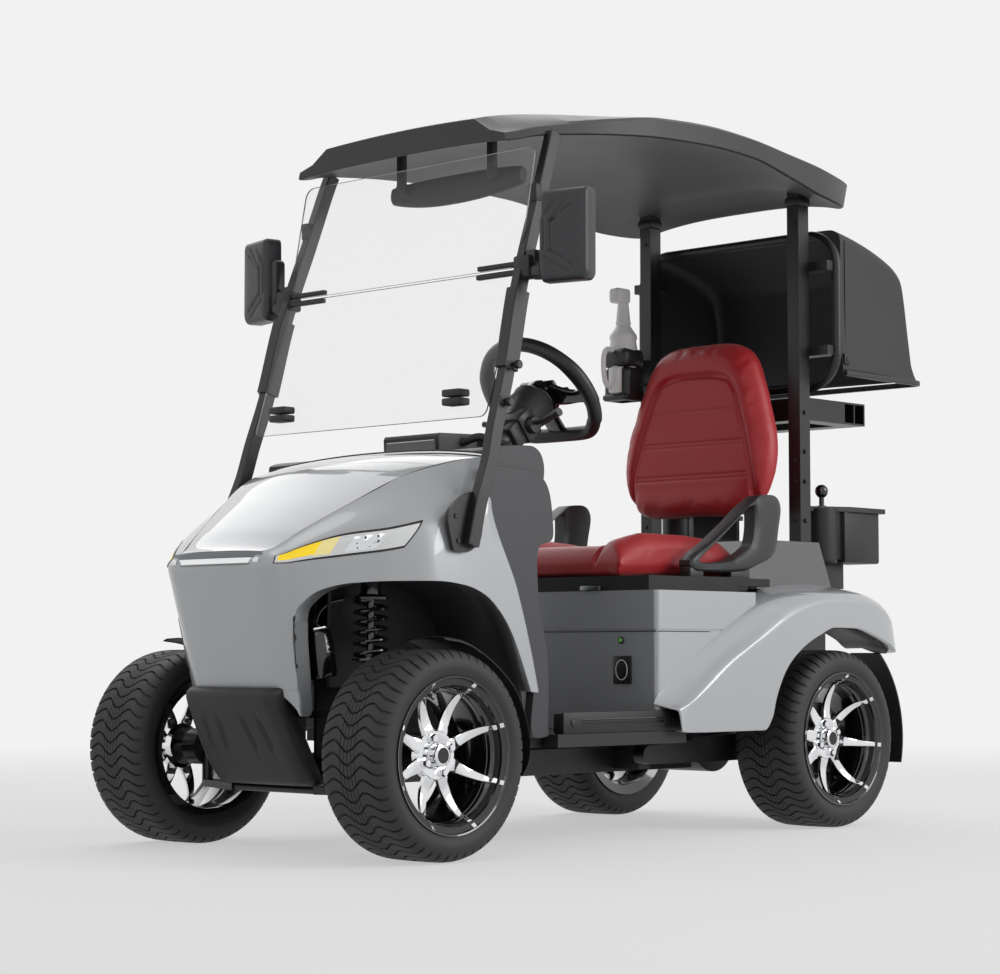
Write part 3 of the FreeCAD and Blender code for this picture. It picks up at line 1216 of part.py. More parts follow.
roof_peak = mm.roof_mid_low + mm.roof_edge + mm.roof_crown
post = block((mm.post_place - mm.post_wide / 2, mm.post_front, mm.deck_high + mm.seat_gap),
             (mm.post_place + mm.post_wide / 2, mm.post_front + mm.post_long, roof_peak))
keep(both_sides("Posts", feature("Post", below_roof(post))), "roof_posts")


PILLAR_SHARES = [(0.0, 0.0, 1.0), (0.196, 0.117, 0.93), (0.333, 0.303, 0.55), (0.506, 0.505, 0.03),
                 (0.734, 0.756, 0.0), (1.0, 1.0, 0.0)]


PILLAR_STRAIGHT_SHARE = 0.196


def pillar_middle(up_share):
    """Half width of the pillar's middle: upright along its foot, then leaning in."""
    leaning = max(up_share - PILLAR_STRAIGHT_SHARE, 0) / (1 - PILLAR_STRAIGHT_SHARE)
    return share(mm.wall_half + mm.seat_gap + mm.pillar_wide / 2, mm.pillar_place, leaning)


def a_pillar():
    """The left windscreen pillar, leaning back and in, with its foot plate outside the fender."""
    half = mm.pillar_wide / 2
    low_inner = mm.wall_half + mm.seat_gap

    def section(across, along, high, long):
        return [Vector(across - half, along, high), Vector(across + half, along, high),
                Vector(across + half, along + long, high), Vector(across - half, along + long, high)]
    sections = []
    for up_share, front_share, long_share in PILLAR_SHARES:
        sections.append(section(pillar_middle(up_share),
                                share(mm.pillar_low_back, mm.pillar_top_back, front_share),
                                share(mm.pillar_low, mm.pillar_top, up_share),
                                share(mm.pillar_long, mm.pillar_foot_long, long_share)))
    pillar = loft(sections)
    foot_shares = [(0.0, 0.85), (0.32, 0.0), (0.75, 0.0), (1.0, 0.28), (1.0, 1.0), (0.12, 1.0)]
    corners = [(mm.foot_front + mm.foot_long * along, share(mm.foot_low, mm.foot_high, up))
               for along, up in foot_shares]
    foot_plate = side_plate(corners, low_inner, low_inner + mm.foot_thick, mm.foot_thick)
    clips = []
    low_slope = (mm.glass_split_back - mm.glass_low_back) / (mm.glass_split - mm.glass_low)
    for back, high, up_share in ((mm.glass_low_back, mm.glass_low, 1.0),
                                 (mm.glass_split_back, mm.glass_split, 0.5),
                                 (mm.glass_top_back, mm.glass_top, 0.0)):
        low = high + mm.clip_tall * (up_share - 1)
        behind = back + mm.clip_tall * up_share * low_slope + mm.seat_gap
        clips.append(block((mm.glass_half - mm.clip_wide / 2, behind, low),
                           (mm.pillar_place, back + mm.pillar_long, low + mm.clip_tall)))
    return below_roof(fused([pillar, foot_plate] + clips))


keep(both_sides("Pillars", feature("Pillar", a_pillar())), "a_pillars")


def screen_pane(low_back, low, high_back, high):
    """One flat pane between two heights."""
    half, thick = mm.glass_half, mm.glass_thick
    along = Vector(0, high_back - low_back, high - low).normalize()
    out = Vector(0, -along.z, along.y)
    start = Vector(-half, low_back, low)
    pane = face([start, start + ALONG_X * half * 2,
                 Vector(half, high_back, high), Vector(-half, high_back, high)], mm.cushion_round / 2)
    return pane.extrude(out * thick)


lean = (mm.glass_split_back - mm.glass_low_back) / (mm.glass_split - mm.glass_low)
lower_pane = screen_pane(mm.glass_low_back, mm.glass_low, mm.glass_split_back, mm.glass_split)
upper_low = mm.glass_split + mm.glass_gap
upper_pane = screen_pane(mm.glass_split_back + mm.glass_gap * lean, upper_low, mm.glass_top_back,
                         mm.glass_top)
keep(feature("Windscreen", Part.makeCompound([lower_pane, upper_pane])), "windscreen")


def mirror_root(height):
    """Where the pillar's outer face is at a height."""
    rise = (height - mm.pillar_low) / (mm.pillar_top - mm.pillar_low)
    return pillar_middle(rise) + mm.pillar_wide / 2 + mm.seat_gap


def door_mirror():
    """The left mirror housing on its arm from the pillar."""
    low, high = mm.mirror_low, mm.mirror_high
    back = mm.mirror_back
    mirror_outer = mm.mirror_inner + mm.mirror_wide
    corners = [Vector(mm.mirror_inner, back, low), Vector(mirror_outer - mm.mirror_round, back, low),
               Vector(mirror_outer, back, low + mm.mirror_round),
               Vector(mirror_outer - mm.mirror_round / 4, back, high),
               Vector(mm.mirror_inner + mm.mirror_round, back, high)]
    housing = face(corners, mm.mirror_round / 2).extrude(ALONG_Y * mm.mirror_deep)
    height = mm.mirror_arm_high
    arm = rod(mm.mirror_arm_radius,
              Vector(mirror_root(height), back + mm.mirror_deep / 2, height),
              Vector(mm.mirror_inner + mm.mirror_round, back + mm.mirror_deep / 2, height))
    return fused([housing, arm])


keep(both_sides("DoorMirrors", feature("DoorMirror", door_mirror())), "door_mirrors")


def cabin_mirror():
    """The wide inside mirror under the roof's front edge, on two struts."""
    half, back, high = mm.cabin_mirror_half, mm.cabin_mirror_back, mm.cabin_mirror_high
    tall, deep = mm.cabin_mirror_tall, mm.cabin_mirror_deep
    top = high + tall / 2
    curve = [Vector(-half, back, high), Vector(-half, back, top), Vector(half, back, top),
             Vector(half, back, high), Vector(half * 0.6, back, high - tall / 2),
             Vector(-half * 0.6, back, high - tall / 2)]
    body = face(curve, tall / 8).extrude(ALONG_Y * deep)
    struts = []
    for side in (-1, 1):
        across = side * mm.strut_place
        struts.append(block((across - mm.strut_wide / 2, back + deep / 2 - mm.strut_wide / 2, top - tall / 4),
                            (across + mm.strut_wide / 2, back + deep / 2 + mm.strut_wide / 2,
                             roof_peak)))
    return below_roof(fused([body] + struts))


keep(feature("CabinMirror", cabin_mirror()), "cabin_mirror")


# Golf bag hoop, cover and rack

def hoop():
    """A closed tube frame behind the posts with the rack below it."""
    half, back = mm.hoop_half - mm.hoop_tube, mm.hoop_back
    low, high = mm.hoop_low + mm.hoop_tube, mm.hoop_high - mm.hoop_tube
    corners = [Vector(half, back, low), Vector(half, back, high), Vector(-half, back, high),
               Vector(-half, back, low)]
    path = wire(rounded(corners, mm.hoop_round))
    start = path.Edges[0]
    centre = start.valueAt(start.FirstParameter)
    profile = Part.Wire(Part.makeCircle(mm.hoop_tube, centre, start.tangentAt(start.FirstParameter)))
    ring = path.makePipeShell([profile], True, True)
    parts = [ring]
    inner = mm.post_place - mm.post_wide / 2
    for level in (low + mm.hoop_round, high - mm.hoop_round):
        left = block((inner, mm.post_front + mm.post_long + mm.seat_gap, level - mm.hoop_tube),
                     (half, back, level + mm.hoop_tube))
        parts += [left, mirrored(left)]
    return fused(parts)


keep(feature("Hoop", hoop()), "cover_hoop")


def cover():
    """The bag cover as a thin shell, open in front and below, with a lip round its foot."""
    front = mm.hoop_back + mm.hoop_tube + mm.seat_gap
    low = mm.cover_low
    rise = mm.hoop_high
    side = [(front, low), (mm.cover_reach - mm.cover_lip_high, low),
            (mm.cover_top_back + mm.cover_lip_high * 2, share(low, mm.cover_top_high, 0.5)),
            (mm.cover_top_back, mm.cover_top_high), (front, rise)]
    wall = mm.cover_wall
    inner_side = [(front - wall, low - wall), (mm.cover_reach - mm.cover_lip_high - wall, low - wall),
                  (mm.cover_top_back + mm.cover_lip_high * 2 - wall, share(low, mm.cover_top_high, 0.5)),
                  (mm.cover_top_back - wall, mm.cover_top_high - wall), (front - wall, rise - wall)]
    radii = [0, 0, mm.hoop_round, mm.cushion_round, 0]
    outer = side_plate(side, -mm.cover_half, mm.cover_half, radii)
    inner = side_plate(inner_side, -mm.cover_half + wall, mm.cover_half - wall, radii)
    shell_part = outer.cut(inner)
    lip_low = low - wall
    rim_outer = block((-mm.cover_half - wall, front, lip_low), (mm.cover_half + wall, mm.cover_reach,
                                                                lip_low + mm.cover_lip_high))
    rim_inner = block((-mm.cover_half + wall, front - mm.overrun, lip_low - mm.overrun),
                      (mm.cover_half - wall, mm.cover_reach - mm.cover_lip_high - wall,
                       lip_low + mm.cover_lip_high * 2))
    return fused([shell_part, rim_outer.cut(rim_inner)])


keep(feature("Cover", cover()), "bag_cover")


def bag_rack():
    """The open box frame that holds the bag's upper strap, with two pockets in each side."""
    half, rear = mm.rack_half, mm.rack_rear
    low, high, wall = mm.rack_low, mm.rack_high, mm.rack_wall
    bar = mm.rack_bar
    front = mm.post_front + mm.post_long + mm.seat_gap
    outer = block((-half, front, low), (half, rear, high))
    middle = block((-half + bar, front + bar, low - mm.overrun), (half - bar, rear - bar, high + mm.overrun))
    frame_part = outer.cut(middle)
    for index in range(2):
        end = rear - wall - index * (mm.pocket_wide + wall)
        pocket = block((half - bar + wall, end - mm.pocket_wide, low + wall),
                       (half + mm.overrun, end, high - wall))
        frame_part = frame_part.cut(Part.makeCompound([pocket, mirrored(pocket)]))
    return frame_part


keep(feature("BagRack", bag_rack()), "bag_rack")


# Side bins, ball washer and sand bottle

def side_bin():
    """The left bin with the round ball washer in front of it, on a foot from the deck."""
    place, half = mm.bin_place, mm.bin_half
    low, high, wall = mm.bin_low, mm.bin_high, mm.bin_wall
    washer_back = mm.bin_front + mm.washer_radius
    front = washer_back + mm.washer_radius
    tub = block((place - half, front, low), (place + half, mm.bin_rear, high))
    tub = tub.cut(block((place - half + wall, front + wall, low + wall),
                        (place + half - wall, mm.bin_rear - wall, high + mm.overrun)))
    washer = rod(mm.washer_radius, Vector(place, washer_back, low), Vector(place, washer_back, high))
    link = block((place - half / 2, washer_back, low), (place + half / 2, front + wall, high))
    rim = block((place - half - mm.bin_rim, mm.bin_front, high - mm.bin_rim_thick),
                (place + half + mm.bin_rim, mm.bin_rear + mm.bin_rim, high))
    rim = rim.cut(block((place - half + wall, front + wall, low), (place + half - wall,
                                                                   mm.bin_rear - wall, high * 2)))
    stem = rod(mm.knob_stem, Vector(place, washer_back, high - wall),
               Vector(place, washer_back, mm.knob_high))
    knob = Part.makeSphere(mm.knob_radius, Vector(place, washer_back, mm.knob_high))
    foot_front, foot_rear = fender_spot(-4, 0)[0], mm.bin_front + mm.bin_foot
    foot = side_plate([(foot_front, fender_top(foot_front) + mm.seat_gap),
                       (foot_rear, fender_top(foot_rear) + mm.seat_gap), (foot_rear, low + wall),
                       (foot_front, low + wall)], place + wall, place + half - wall)
    return fused([tub, washer, link, rim, stem, knob, foot])


left_bin = side_bin()
keep(feature("SideBins", Part.makeCompound([left_bin, mirrored(left_bin)])), "side_bins")


def bottle():
    """The white sand bottle with its bent neck."""
    across, along = -mm.bottle_place, mm.bottle_back
    radius = mm.bottle_radius - mm.seat_gap
    base = mm.holder_low + mm.holder_wall + mm.seat_gap
    trunk = rod(radius, Vector(across, along, base), Vector(across, along, mm.holder_high))
    taper = Part.makeCone(radius, mm.neck_radius, mm.shoulder_high - mm.holder_high,
                          Vector(across, along, mm.holder_high), ALONG_Z)
    neck = rod(mm.neck_radius, Vector(across, along, mm.shoulder_high),
               Vector(across, along - mm.neck_radius / 2, mm.neck_high))
    half = mm.neck_radius * 0.7
    spout = block((across - half, along - mm.neck_radius * 2.4, mm.neck_high - mm.neck_radius / 2),
                  (across + half, along + mm.neck_radius * 0.6, mm.spout_high))
    return fused([trunk, taper, neck, spout])


keep(feature("Bottle", bottle()), "sand_bottle")


def holder():
    """The open holder that clamps the bottle to the right-hand post."""
    across, along = -mm.bottle_place, mm.bottle_back
    outer = rod(mm.bottle_radius + mm.holder_wall, Vector(across, along, mm.holder_low),
                Vector(across, along, mm.holder_high - mm.holder_wall))
    inner = rod(mm.bottle_radius, Vector(across, along, mm.holder_low + mm.holder_wall),
                Vector(across, along, mm.holder_high + mm.overrun))
    mid = share(mm.holder_low, mm.holder_high, 0.6)
    arm = block((across - mm.post_wide / 3, along + mm.bottle_radius + mm.seat_gap, mid),
                (across + mm.post_wide / 3, mm.post_front - mm.seat_gap, mid + mm.holder_arm))
    return fused([outer.cut(inner), arm])


keep(feature("Holder", holder()), "bottle_holder")

doc.recompute()
os.makedirs("parts", exist_ok=True)
faults = [thing.Name for thing in doc.Objects if {"Invalid", "Error"} & set(thing.State)]
for piece in pieces:
    if piece.Shape.isNull() or not piece.Shape.isValid():
        faults.append(piece.Label)
if faults:
    raise RuntimeError("faulty: " + ", ".join(faults))
for piece in pieces:
    piece.Shape.exportStep(os.path.join("parts", piece.Label + ".step"))
print(len(pieces), "pieces")
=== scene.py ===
"""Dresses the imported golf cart: its finishes, body panels, wheels, seat, roof and studio.

Sizes in this script are millimetres, written as on the cart's drawing: X to the driver's left, Y back
from the front axle, Z up from the ground. Form.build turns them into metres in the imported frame.
"""
import logging
import math
from dataclasses import dataclass, field
from enum import Enum
from typing import Optional, Sequence

import bmesh
import bpy
import numpy as np
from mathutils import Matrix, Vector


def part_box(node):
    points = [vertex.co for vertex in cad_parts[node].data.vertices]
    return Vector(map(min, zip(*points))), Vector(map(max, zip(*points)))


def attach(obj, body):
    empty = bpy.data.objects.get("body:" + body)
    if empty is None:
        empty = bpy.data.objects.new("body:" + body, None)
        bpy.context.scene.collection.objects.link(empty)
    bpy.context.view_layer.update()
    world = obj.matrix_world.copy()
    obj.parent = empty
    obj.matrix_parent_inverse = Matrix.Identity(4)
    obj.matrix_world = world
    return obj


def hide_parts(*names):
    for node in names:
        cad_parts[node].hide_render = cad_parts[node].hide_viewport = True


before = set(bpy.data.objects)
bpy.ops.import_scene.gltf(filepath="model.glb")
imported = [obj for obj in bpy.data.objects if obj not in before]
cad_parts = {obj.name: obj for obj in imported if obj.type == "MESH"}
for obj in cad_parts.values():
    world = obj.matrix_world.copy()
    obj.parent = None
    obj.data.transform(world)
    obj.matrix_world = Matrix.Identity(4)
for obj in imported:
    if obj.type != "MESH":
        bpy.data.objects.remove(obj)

Array = np.ndarray
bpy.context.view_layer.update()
MILLIMETRE = 0.001
logging.basicConfig(level=logging.INFO, format="%(message)s")
log = logging.getLogger("golf cart")


def node_middle(node: str) -> Array:
    """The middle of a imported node's box, in metres."""
    low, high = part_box(node)
    return (np.array(low) + np.array(high)) / 2


FRONT_AXLE_Y = float(node_middle("tyre_front_left")[1])


class Side(Enum):
    """The two sides of the cart, as the sign of X."""

    LEFT = 1
    RIGHT = -1


# Colour and shader nodes

def linear(code: str) -> tuple[float, float, float, float]:
    """Turns an sRGB hex colour into a linear one.

    Args:
        code: six hex digits after a hash mark.

    Returns:
        Linear red, green, blue and an alpha of one.
    """
    parts = [int(code[start:start + 2], 16) / 255 for start in (1, 3, 5)]
    red, green, blue = [part / 12.92 if part <= 0.04045 else ((part + 0.055) / 1.055) ** 2.4
                        for part in parts]
    return red, green, blue, 1.0


def add_node(tree: bpy.types.NodeTree, kind: str, settings: Optional[dict] = None,
             links: Optional[dict] = None) -> bpy.types.Node:
    """Adds one shader node.

    Args:
        tree: the node tree that gets it.
        kind: the node's type name, without the word ShaderNode.
        settings: values by socket name or number, or by the node's own property name.
        links: output sockets by the name or number of the input that each one feeds.

    Returns:
        The new node.
    """
    node = tree.nodes.new("ShaderNode" + kind)
    for key, value in (settings or {}).items():
        if isinstance(key, str) and hasattr(node, key):
            setattr(node, key, value)
        else:
            node.inputs[key].default_value = value
    for key, output in (links or {}).items():
        tree.links.new(output, node.inputs[key])
    return node


# Finishes

@dataclass(frozen=True)
class Finish:
    """A moulded or coated surface with a fine grain and slight unevenness.

    The grain is noise at its real spacing, used as bump; a second, much wider noise varies the
    roughness and lightness a little, as any moulded or sprayed surface does.
    """

    label: str
    colour: str
    roughness: float = 0.5
    metallic: float = 0.0
    coat: float = 0.0
    coat_roughness: float = 0.03
    grain_mm: float = 1.2
    grain_depth: float = 0.15
    blotch_mm: float = 90.0
    unevenness: float = 0.06
    sheen: float = 0.0
    ior: float = 1.5

    def start(self) -> tuple[bpy.types.Material, bpy.types.NodeTree, bpy.types.Node]:
        """Makes the material with its principled shader, all plain values on its own sockets."""
        material = bpy.data.materials.new(self.label)
        material.use_nodes = True
        material.diffuse_color = linear(self.colour)
        tree = material.node_tree
        shader = tree.nodes["Principled BSDF"]
        shader.inputs["Base Color"].default_value = linear(self.colour)
        shader.inputs["Roughness"].default_value = self.roughness
        shader.inputs["Metallic"].default_value = self.metallic
        shader.inputs["Coat Weight"].default_value = self.coat
        shader.inputs["Coat Roughness"].default_value = self.coat_roughness
        shader.inputs["Sheen Weight"].default_value = self.sheen
        if not self.metallic:
            shader.inputs["IOR"].default_value = self.ior
        return material, tree, shader

    def dress(self, tree: bpy.types.NodeTree, shader: bpy.types.Node) -> None:
        """Adds the unevenness and the grain.

        Args:
            tree: the material's node tree.
            shader: its principled shader.
        """
        place = add_node(tree, "TexCoord").outputs["Object"]
        blotch = add_node(tree, "TexNoise", {"Scale": 1 / (self.blotch_mm * MILLIMETRE), "Detail": 3.0},
                          {"Vector": place}).outputs["Fac"]
        low, high = self.roughness - self.unevenness, self.roughness + self.unevenness
        rough = add_node(tree, "MapRange", {"To Min": low, "To Max": high}, {"Value": blotch})
        tree.links.new(rough.outputs["Result"], shader.inputs["Roughness"])
        self.tint(tree, shader, blotch)
        grain = self.grain(tree, place)
        bump = add_node(tree, "Bump", {"Strength": self.grain_depth,
                                       "Distance": self.grain_mm * MILLIMETRE}, {"Height": grain})
        tree.links.new(bump.outputs["Normal"], shader.inputs["Normal"])

    def tint(self, tree: bpy.types.NodeTree, shader: bpy.types.Node, blotch: bpy.types.NodeSocket) -> None:
        """Varies the lightness of the colour with the wide noise."""
        shade = add_node(tree, "MapRange", {"To Min": 1 - self.unevenness, "To Max": 1 + self.unevenness},
                         {"Value": blotch})
        hue = add_node(tree, "HueSaturation", {"Color": linear(self.colour)}, {"Value": shade.outputs[0]})
        tree.links.new(hue.outputs["Color"], shader.inputs["Base Color"])

    def grain(self, tree: bpy.types.NodeTree, place: bpy.types.NodeSocket) -> bpy.types.NodeSocket:
        """The height of the fine grain, as noise at its real spacing."""
        return add_node(tree, "TexNoise", {"Scale": 1 / (self.grain_mm * MILLIMETRE), "Detail": 2.0},
                        {"Vector": place}).outputs["Fac"]

    def material(self) -> bpy.types.Material:
        """The finished material, made once for each label."""
        known = bpy.data.materials.get(self.label)
        if known:
            return known
        material, tree, shader = self.start()
        self.dress(tree, shader)
        return material


@dataclass(frozen=True)
class MetallicPaint(Finish):
    """Sprayed metallic base coat under clear lacquer: small flakes tilt the light, the coat stays smooth."""

    flake_mm: float = 1.1

    def grain(self, tree: bpy.types.NodeTree, place: bpy.types.NodeSocket) -> bpy.types.NodeSocket:
        """The flakes as cells of random height."""
        return add_node(tree, "TexVoronoi", {"Scale": 1 / (self.flake_mm * MILLIMETRE)},
                        {"Vector": place}).outputs["Color"]


@dataclass(frozen=True)
class Leatherette(Finish):
    """Coated upholstery cloth: a net of fine creases between soft pebbles, drawn a little coarse."""

    pebble_mm: float = 2.6

    def grain(self, tree: bpy.types.NodeTree, place: bpy.types.NodeSocket) -> bpy.types.NodeSocket:
        """Pebbles as the distance to the edge of cells whose places a noise disturbs."""
        drift = add_node(tree, "TexNoise", {"Scale": 1 / (9 * MILLIMETRE), "Detail": 2.0}, {"Vector": place})
        moved = add_node(tree, "VectorMath", {"operation": "MULTIPLY_ADD",
                                              1: (0.0015, 0.0015, 0.0015)},
                         {0: drift.outputs["Color"], 2: place})
        cells = add_node(tree, "TexVoronoi", {"feature": "DISTANCE_TO_EDGE",
                                              "Scale": 1 / (self.pebble_mm * MILLIMETRE)},
                         {"Vector": moved.outputs["Vector"]})
        return add_node(tree, "MapRange", {"From Max": 0.18}, {"Value": cells.outputs["Distance"]}
                        ).outputs["Result"]


@dataclass(frozen=True)
class Weave(Finish):
    """Coated woven cloth: crossing threads show faintly through the coating."""

    thread_mm: float = 1.6

    def grain(self, tree: bpy.types.NodeTree, place: bpy.types.NodeSocket) -> bpy.types.NodeSocket:
        """Threads as two sets of waves across each other."""
        heights = []
        for direction in ("X", "Z"):
            wave = add_node(tree, "TexWave", {"bands_direction": direction,
                                              "Scale": 0.31 / (self.thread_mm * MILLIMETRE),
                                              "Distortion": 0.6, "Detail": 1.0}, {"Vector": place})
            heights.append(wave.outputs["Fac"])
        return add_node(tree, "Math", {"operation": "MULTIPLY"}, {0: heights[0], 1: heights[1]}
                        ).outputs["Value"]


@dataclass(frozen=True)
class Clear(Finish):
    """Clear sheet: light passes, the surface only glints."""

    alpha: float = 0.18
    tinted: str = "#ffffff"

    def material(self) -> bpy.types.Material:
        """Transparent light mixed with a thin gloss that grows at grazing angles."""
        known = bpy.data.materials.get(self.label)
        if known:
            return known
        material, tree, shader = self.start()
        place = add_node(tree, "TexCoord").outputs["Object"]
        haze = add_node(tree, "TexNoise", {"Scale": 1 / (self.blotch_mm * MILLIMETRE)}, {"Vector": place})
        rough = add_node(tree, "MapRange", {"To Min": self.roughness, "To Max": self.roughness * 1.8},
                         {"Value": haze.outputs["Fac"]})
        tree.links.new(rough.outputs["Result"], shader.inputs["Roughness"])
        through_light = add_node(tree, "BsdfTransparent", {"Color": linear(self.tinted)})
        glance = add_node(tree, "LayerWeight", {"Blend": 0.35})
        share = add_node(tree, "MapRange", {"To Min": self.alpha * 0.35, "To Max": min(self.alpha * 3.2, 1)},
                         {"Value": glance.outputs["Fresnel"]})
        mix = add_node(tree, "MixShader", {}, {0: share.outputs["Result"], 1: through_light.outputs["BSDF"],
                                              2: shader.outputs["BSDF"]})
        tree.links.new(mix.outputs["Shader"], tree.nodes["Material Output"].inputs["Surface"])
        return material


@dataclass(frozen=True)
class Glowing(Finish):
    """A diffusing lens over a lit strip."""

    strength: float = 0.6

    def dress(self, tree: bpy.types.NodeTree, shader: bpy.types.Node) -> None:
        """Adds the strip's own light to the usual surface."""
        super().dress(tree, shader)
        shader.inputs["Emission Color"].default_value = linear(self.colour)
        shader.inputs["Emission Strength"].default_value = self.strength


# Sprayed metallic silver under lacquer: bright where it faces the light, mid grey where it turns away
SILVER = MetallicPaint("silver metallic paint, sprayed and lacquered", "#b0b2b5", 0.38, 0.25, 1.0, 0.03,
                       grain_depth=0.03, unevenness=0.02, blotch_mm=400)
# Thermoformed ABS roof skin: satin charcoal with a very fine grain
CHARCOAL = Finish("charcoal ABS, thermoformed satin", "#1f2022", 0.42, grain_mm=0.9, grain_depth=0.05,
                  unevenness=0.03)
# Moulded PP body trim: near black, evenly matt with a spark grain
TRIM = Finish("black PP, moulded with spark grain", "#161719", 0.5, grain_mm=0.9, grain_depth=0.18)
# Leg shield moulding: dark grey, satin
SHIELD = Finish("dark grey PP, moulded satin", "#3b3c3f", 0.45, grain_mm=0.9, grain_depth=0.06)
# Steel tube with baked powder: black, slightly glossy, faint orange peel
POWDER = Finish("black steel, powder coated", "#17181a", 0.38, grain_mm=2.2, grain_depth=0.08)
# Tyre rubber: dark warm grey, dull, with fine mould marks
RUBBER = Finish("tyre rubber, moulded", "#2b2b2c", 0.62, grain_mm=1.4, grain_depth=0.12, unevenness=0.05)
# Cast alloy rim in gloss black lacquer
RIM_BLACK = Finish("black alloy, cast and lacquered", "#0d0e10", 0.16, coat=1.0, grain_depth=0.02)
# Spokes and hub: plated mirror bright
CHROME = Finish("chromed alloy, plated and polished", "#e9eaec", 0.06, 1.0, grain_depth=0.01, unevenness=0.02)
# Bare steel of rods and bolts: zinc plated, softly shining
ZINC = Finish("zinc plated steel", "#8c8f92", 0.34, 1.0, grain_mm=1.5, grain_depth=0.05)
# Inner side of the nose's lip: the body's paint, dull, and darker as painted shade from the wheel arch
LIP_PAINT_SHADED = Finish("thin silver paint inside the lip, sprayed and left unpolished", "#7f8184", 0.62)
# Deck behind the seat: the body's silver paint, darker as painted shade
DECK_PAINT_SHADED = MetallicPaint("dark silver metallic paint, sprayed and lacquered", "#48494b", 0.36, 0.25,
                           1.0, 0.03)
# Roof's underside: the same sheet, grained side, painted lighter for light bounced up from the floor
ROOF_UNDERSIDE_LIT = Finish("dark grey ABS, thermoformed grained", "#58595b", 0.5, grain_mm=0.9, grain_depth=0.08)
# Grip cover: sewn leatherette, fine and dark
GRIP = Leatherette("black leatherette, wrapped", "#1b1b1d", 0.42, grain_mm=0.5, grain_depth=0.12)
# Gloss black mouldings
GLOSS_BLACK = Finish("black ABS, moulded gloss", "#0e0f11", 0.14, coat=0.6, grain_depth=0.02)
# Satin black mouldings that show a soft grey light
SATIN_BLACK = Finish("black PA, moulded satin", "#26272a", 0.4, grain_mm=0.9, grain_depth=0.08)
# Mirror shells: black ABS, satin
MIRROR_BLACK = Finish("dark grey ABS, moulded satin", "#303134", 0.4, grain_mm=0.9, grain_depth=0.06)
# Charge lamp: green lens
GREEN_LENS = Glowing("green acrylic lens", "#5fae3a", 0.2, strength=0.2, grain_depth=0.02)
# Seat covers: red leatherette, soft sheen on the pebbled coat
RED = Leatherette("red leatherette, sewn", "#b21f26", 0.42, grain_mm=0.5, grain_depth=0.16,
                  unevenness=0.05, sheen=0.12)
# Seams and piping of the seat: the same coat, darker as painted shade in the fold
RED_SEAM_SHADED = Leatherette("dark red piping, sewn", "#5e0f13", 0.5, grain_mm=0.5, grain_depth=0.1)
# Bag cover: black coated cloth, dull outside
COVER = Weave("black coated cloth, stretched", "#262729", 0.56, grain_mm=0.5, grain_depth=0.1)
# Windscreen: clear acrylic sheet
ACRYLIC = Clear("clear acrylic sheet", "#f4f6f7", 0.03, alpha=0.03)
# Cut edge of the acrylic: polished; the grey light that it gathers is painted into its colour as a painted
# reflection
ACRYLIC_EDGE = Finish("clear acrylic, cut and polished edge", "#8b9092", 0.15, grain_depth=0.02)
# Lamp cover: clear polycarbonate, brighter gloss
LENS = Clear("clear polycarbonate lens", "#ffffff", 0.02, alpha=0.22)
# Light bar: white diffuser over a lit strip
WHITE_STRIP = Glowing("white diffusing lens", "#f6f7f8", 0.25, strength=0.35, grain_depth=0.02)
# Indicator part of the headlight: amber diffuser
AMBER = Glowing("amber diffusing lens", "#ffd91c", 0.25, strength=0.35, grain_depth=0.02)
# The same diffuser, paler where the lit part ends
PALE_AMBER = Glowing("pale amber diffusing lens", "#efe19a", 0.25, strength=0.3, grain_depth=0.02)
# Main part of the headlight: clear cover over a white reflector
WHITE_LENS = Finish("clear polycarbonate over white reflector", "#f3f4f5", 0.1, coat=1.0, grain_depth=0.02)
# Dark chromed trim lines of the light bar
GREY_TRIM = Finish("dark chromed ABS trim", "#77797c", 0.2, 0.6, grain_depth=0.02)
# Lamp inside: vacuum metallised reflector
REFLECTOR = Finish("vacuum metallised reflector", "#d9dbde", 0.14, 1.0, grain_depth=0.02)
# Tail lamps: red lens
RED_LENS = Finish("red acrylic lens, moulded", "#8a0a0e", 0.12, coat=1.0, grain_depth=0.02)
# Bottle: white blow-moulded polyethylene
WHITE_BOTTLE = Finish("white polyethylene, blow moulded", "#ececec", 0.4, grain_depth=0.05)
# Mirror glass
MIRROR = Finish("silvered mirror glass", "#e6e8ea", 0.03, 1.0, grain_depth=0.0)
# Rubber grips, pads and gaskets
SOFT_BLACK = Finish("black EPDM rubber, extruded", "#141516", 0.66, grain_mm=1.0, grain_depth=0.14)
# Instrument screen: dark glass
SCREEN = Finish("dark glass, printed behind", "#08090b", 0.08, coat=1.0, grain_depth=0.0)


# Curves and forms

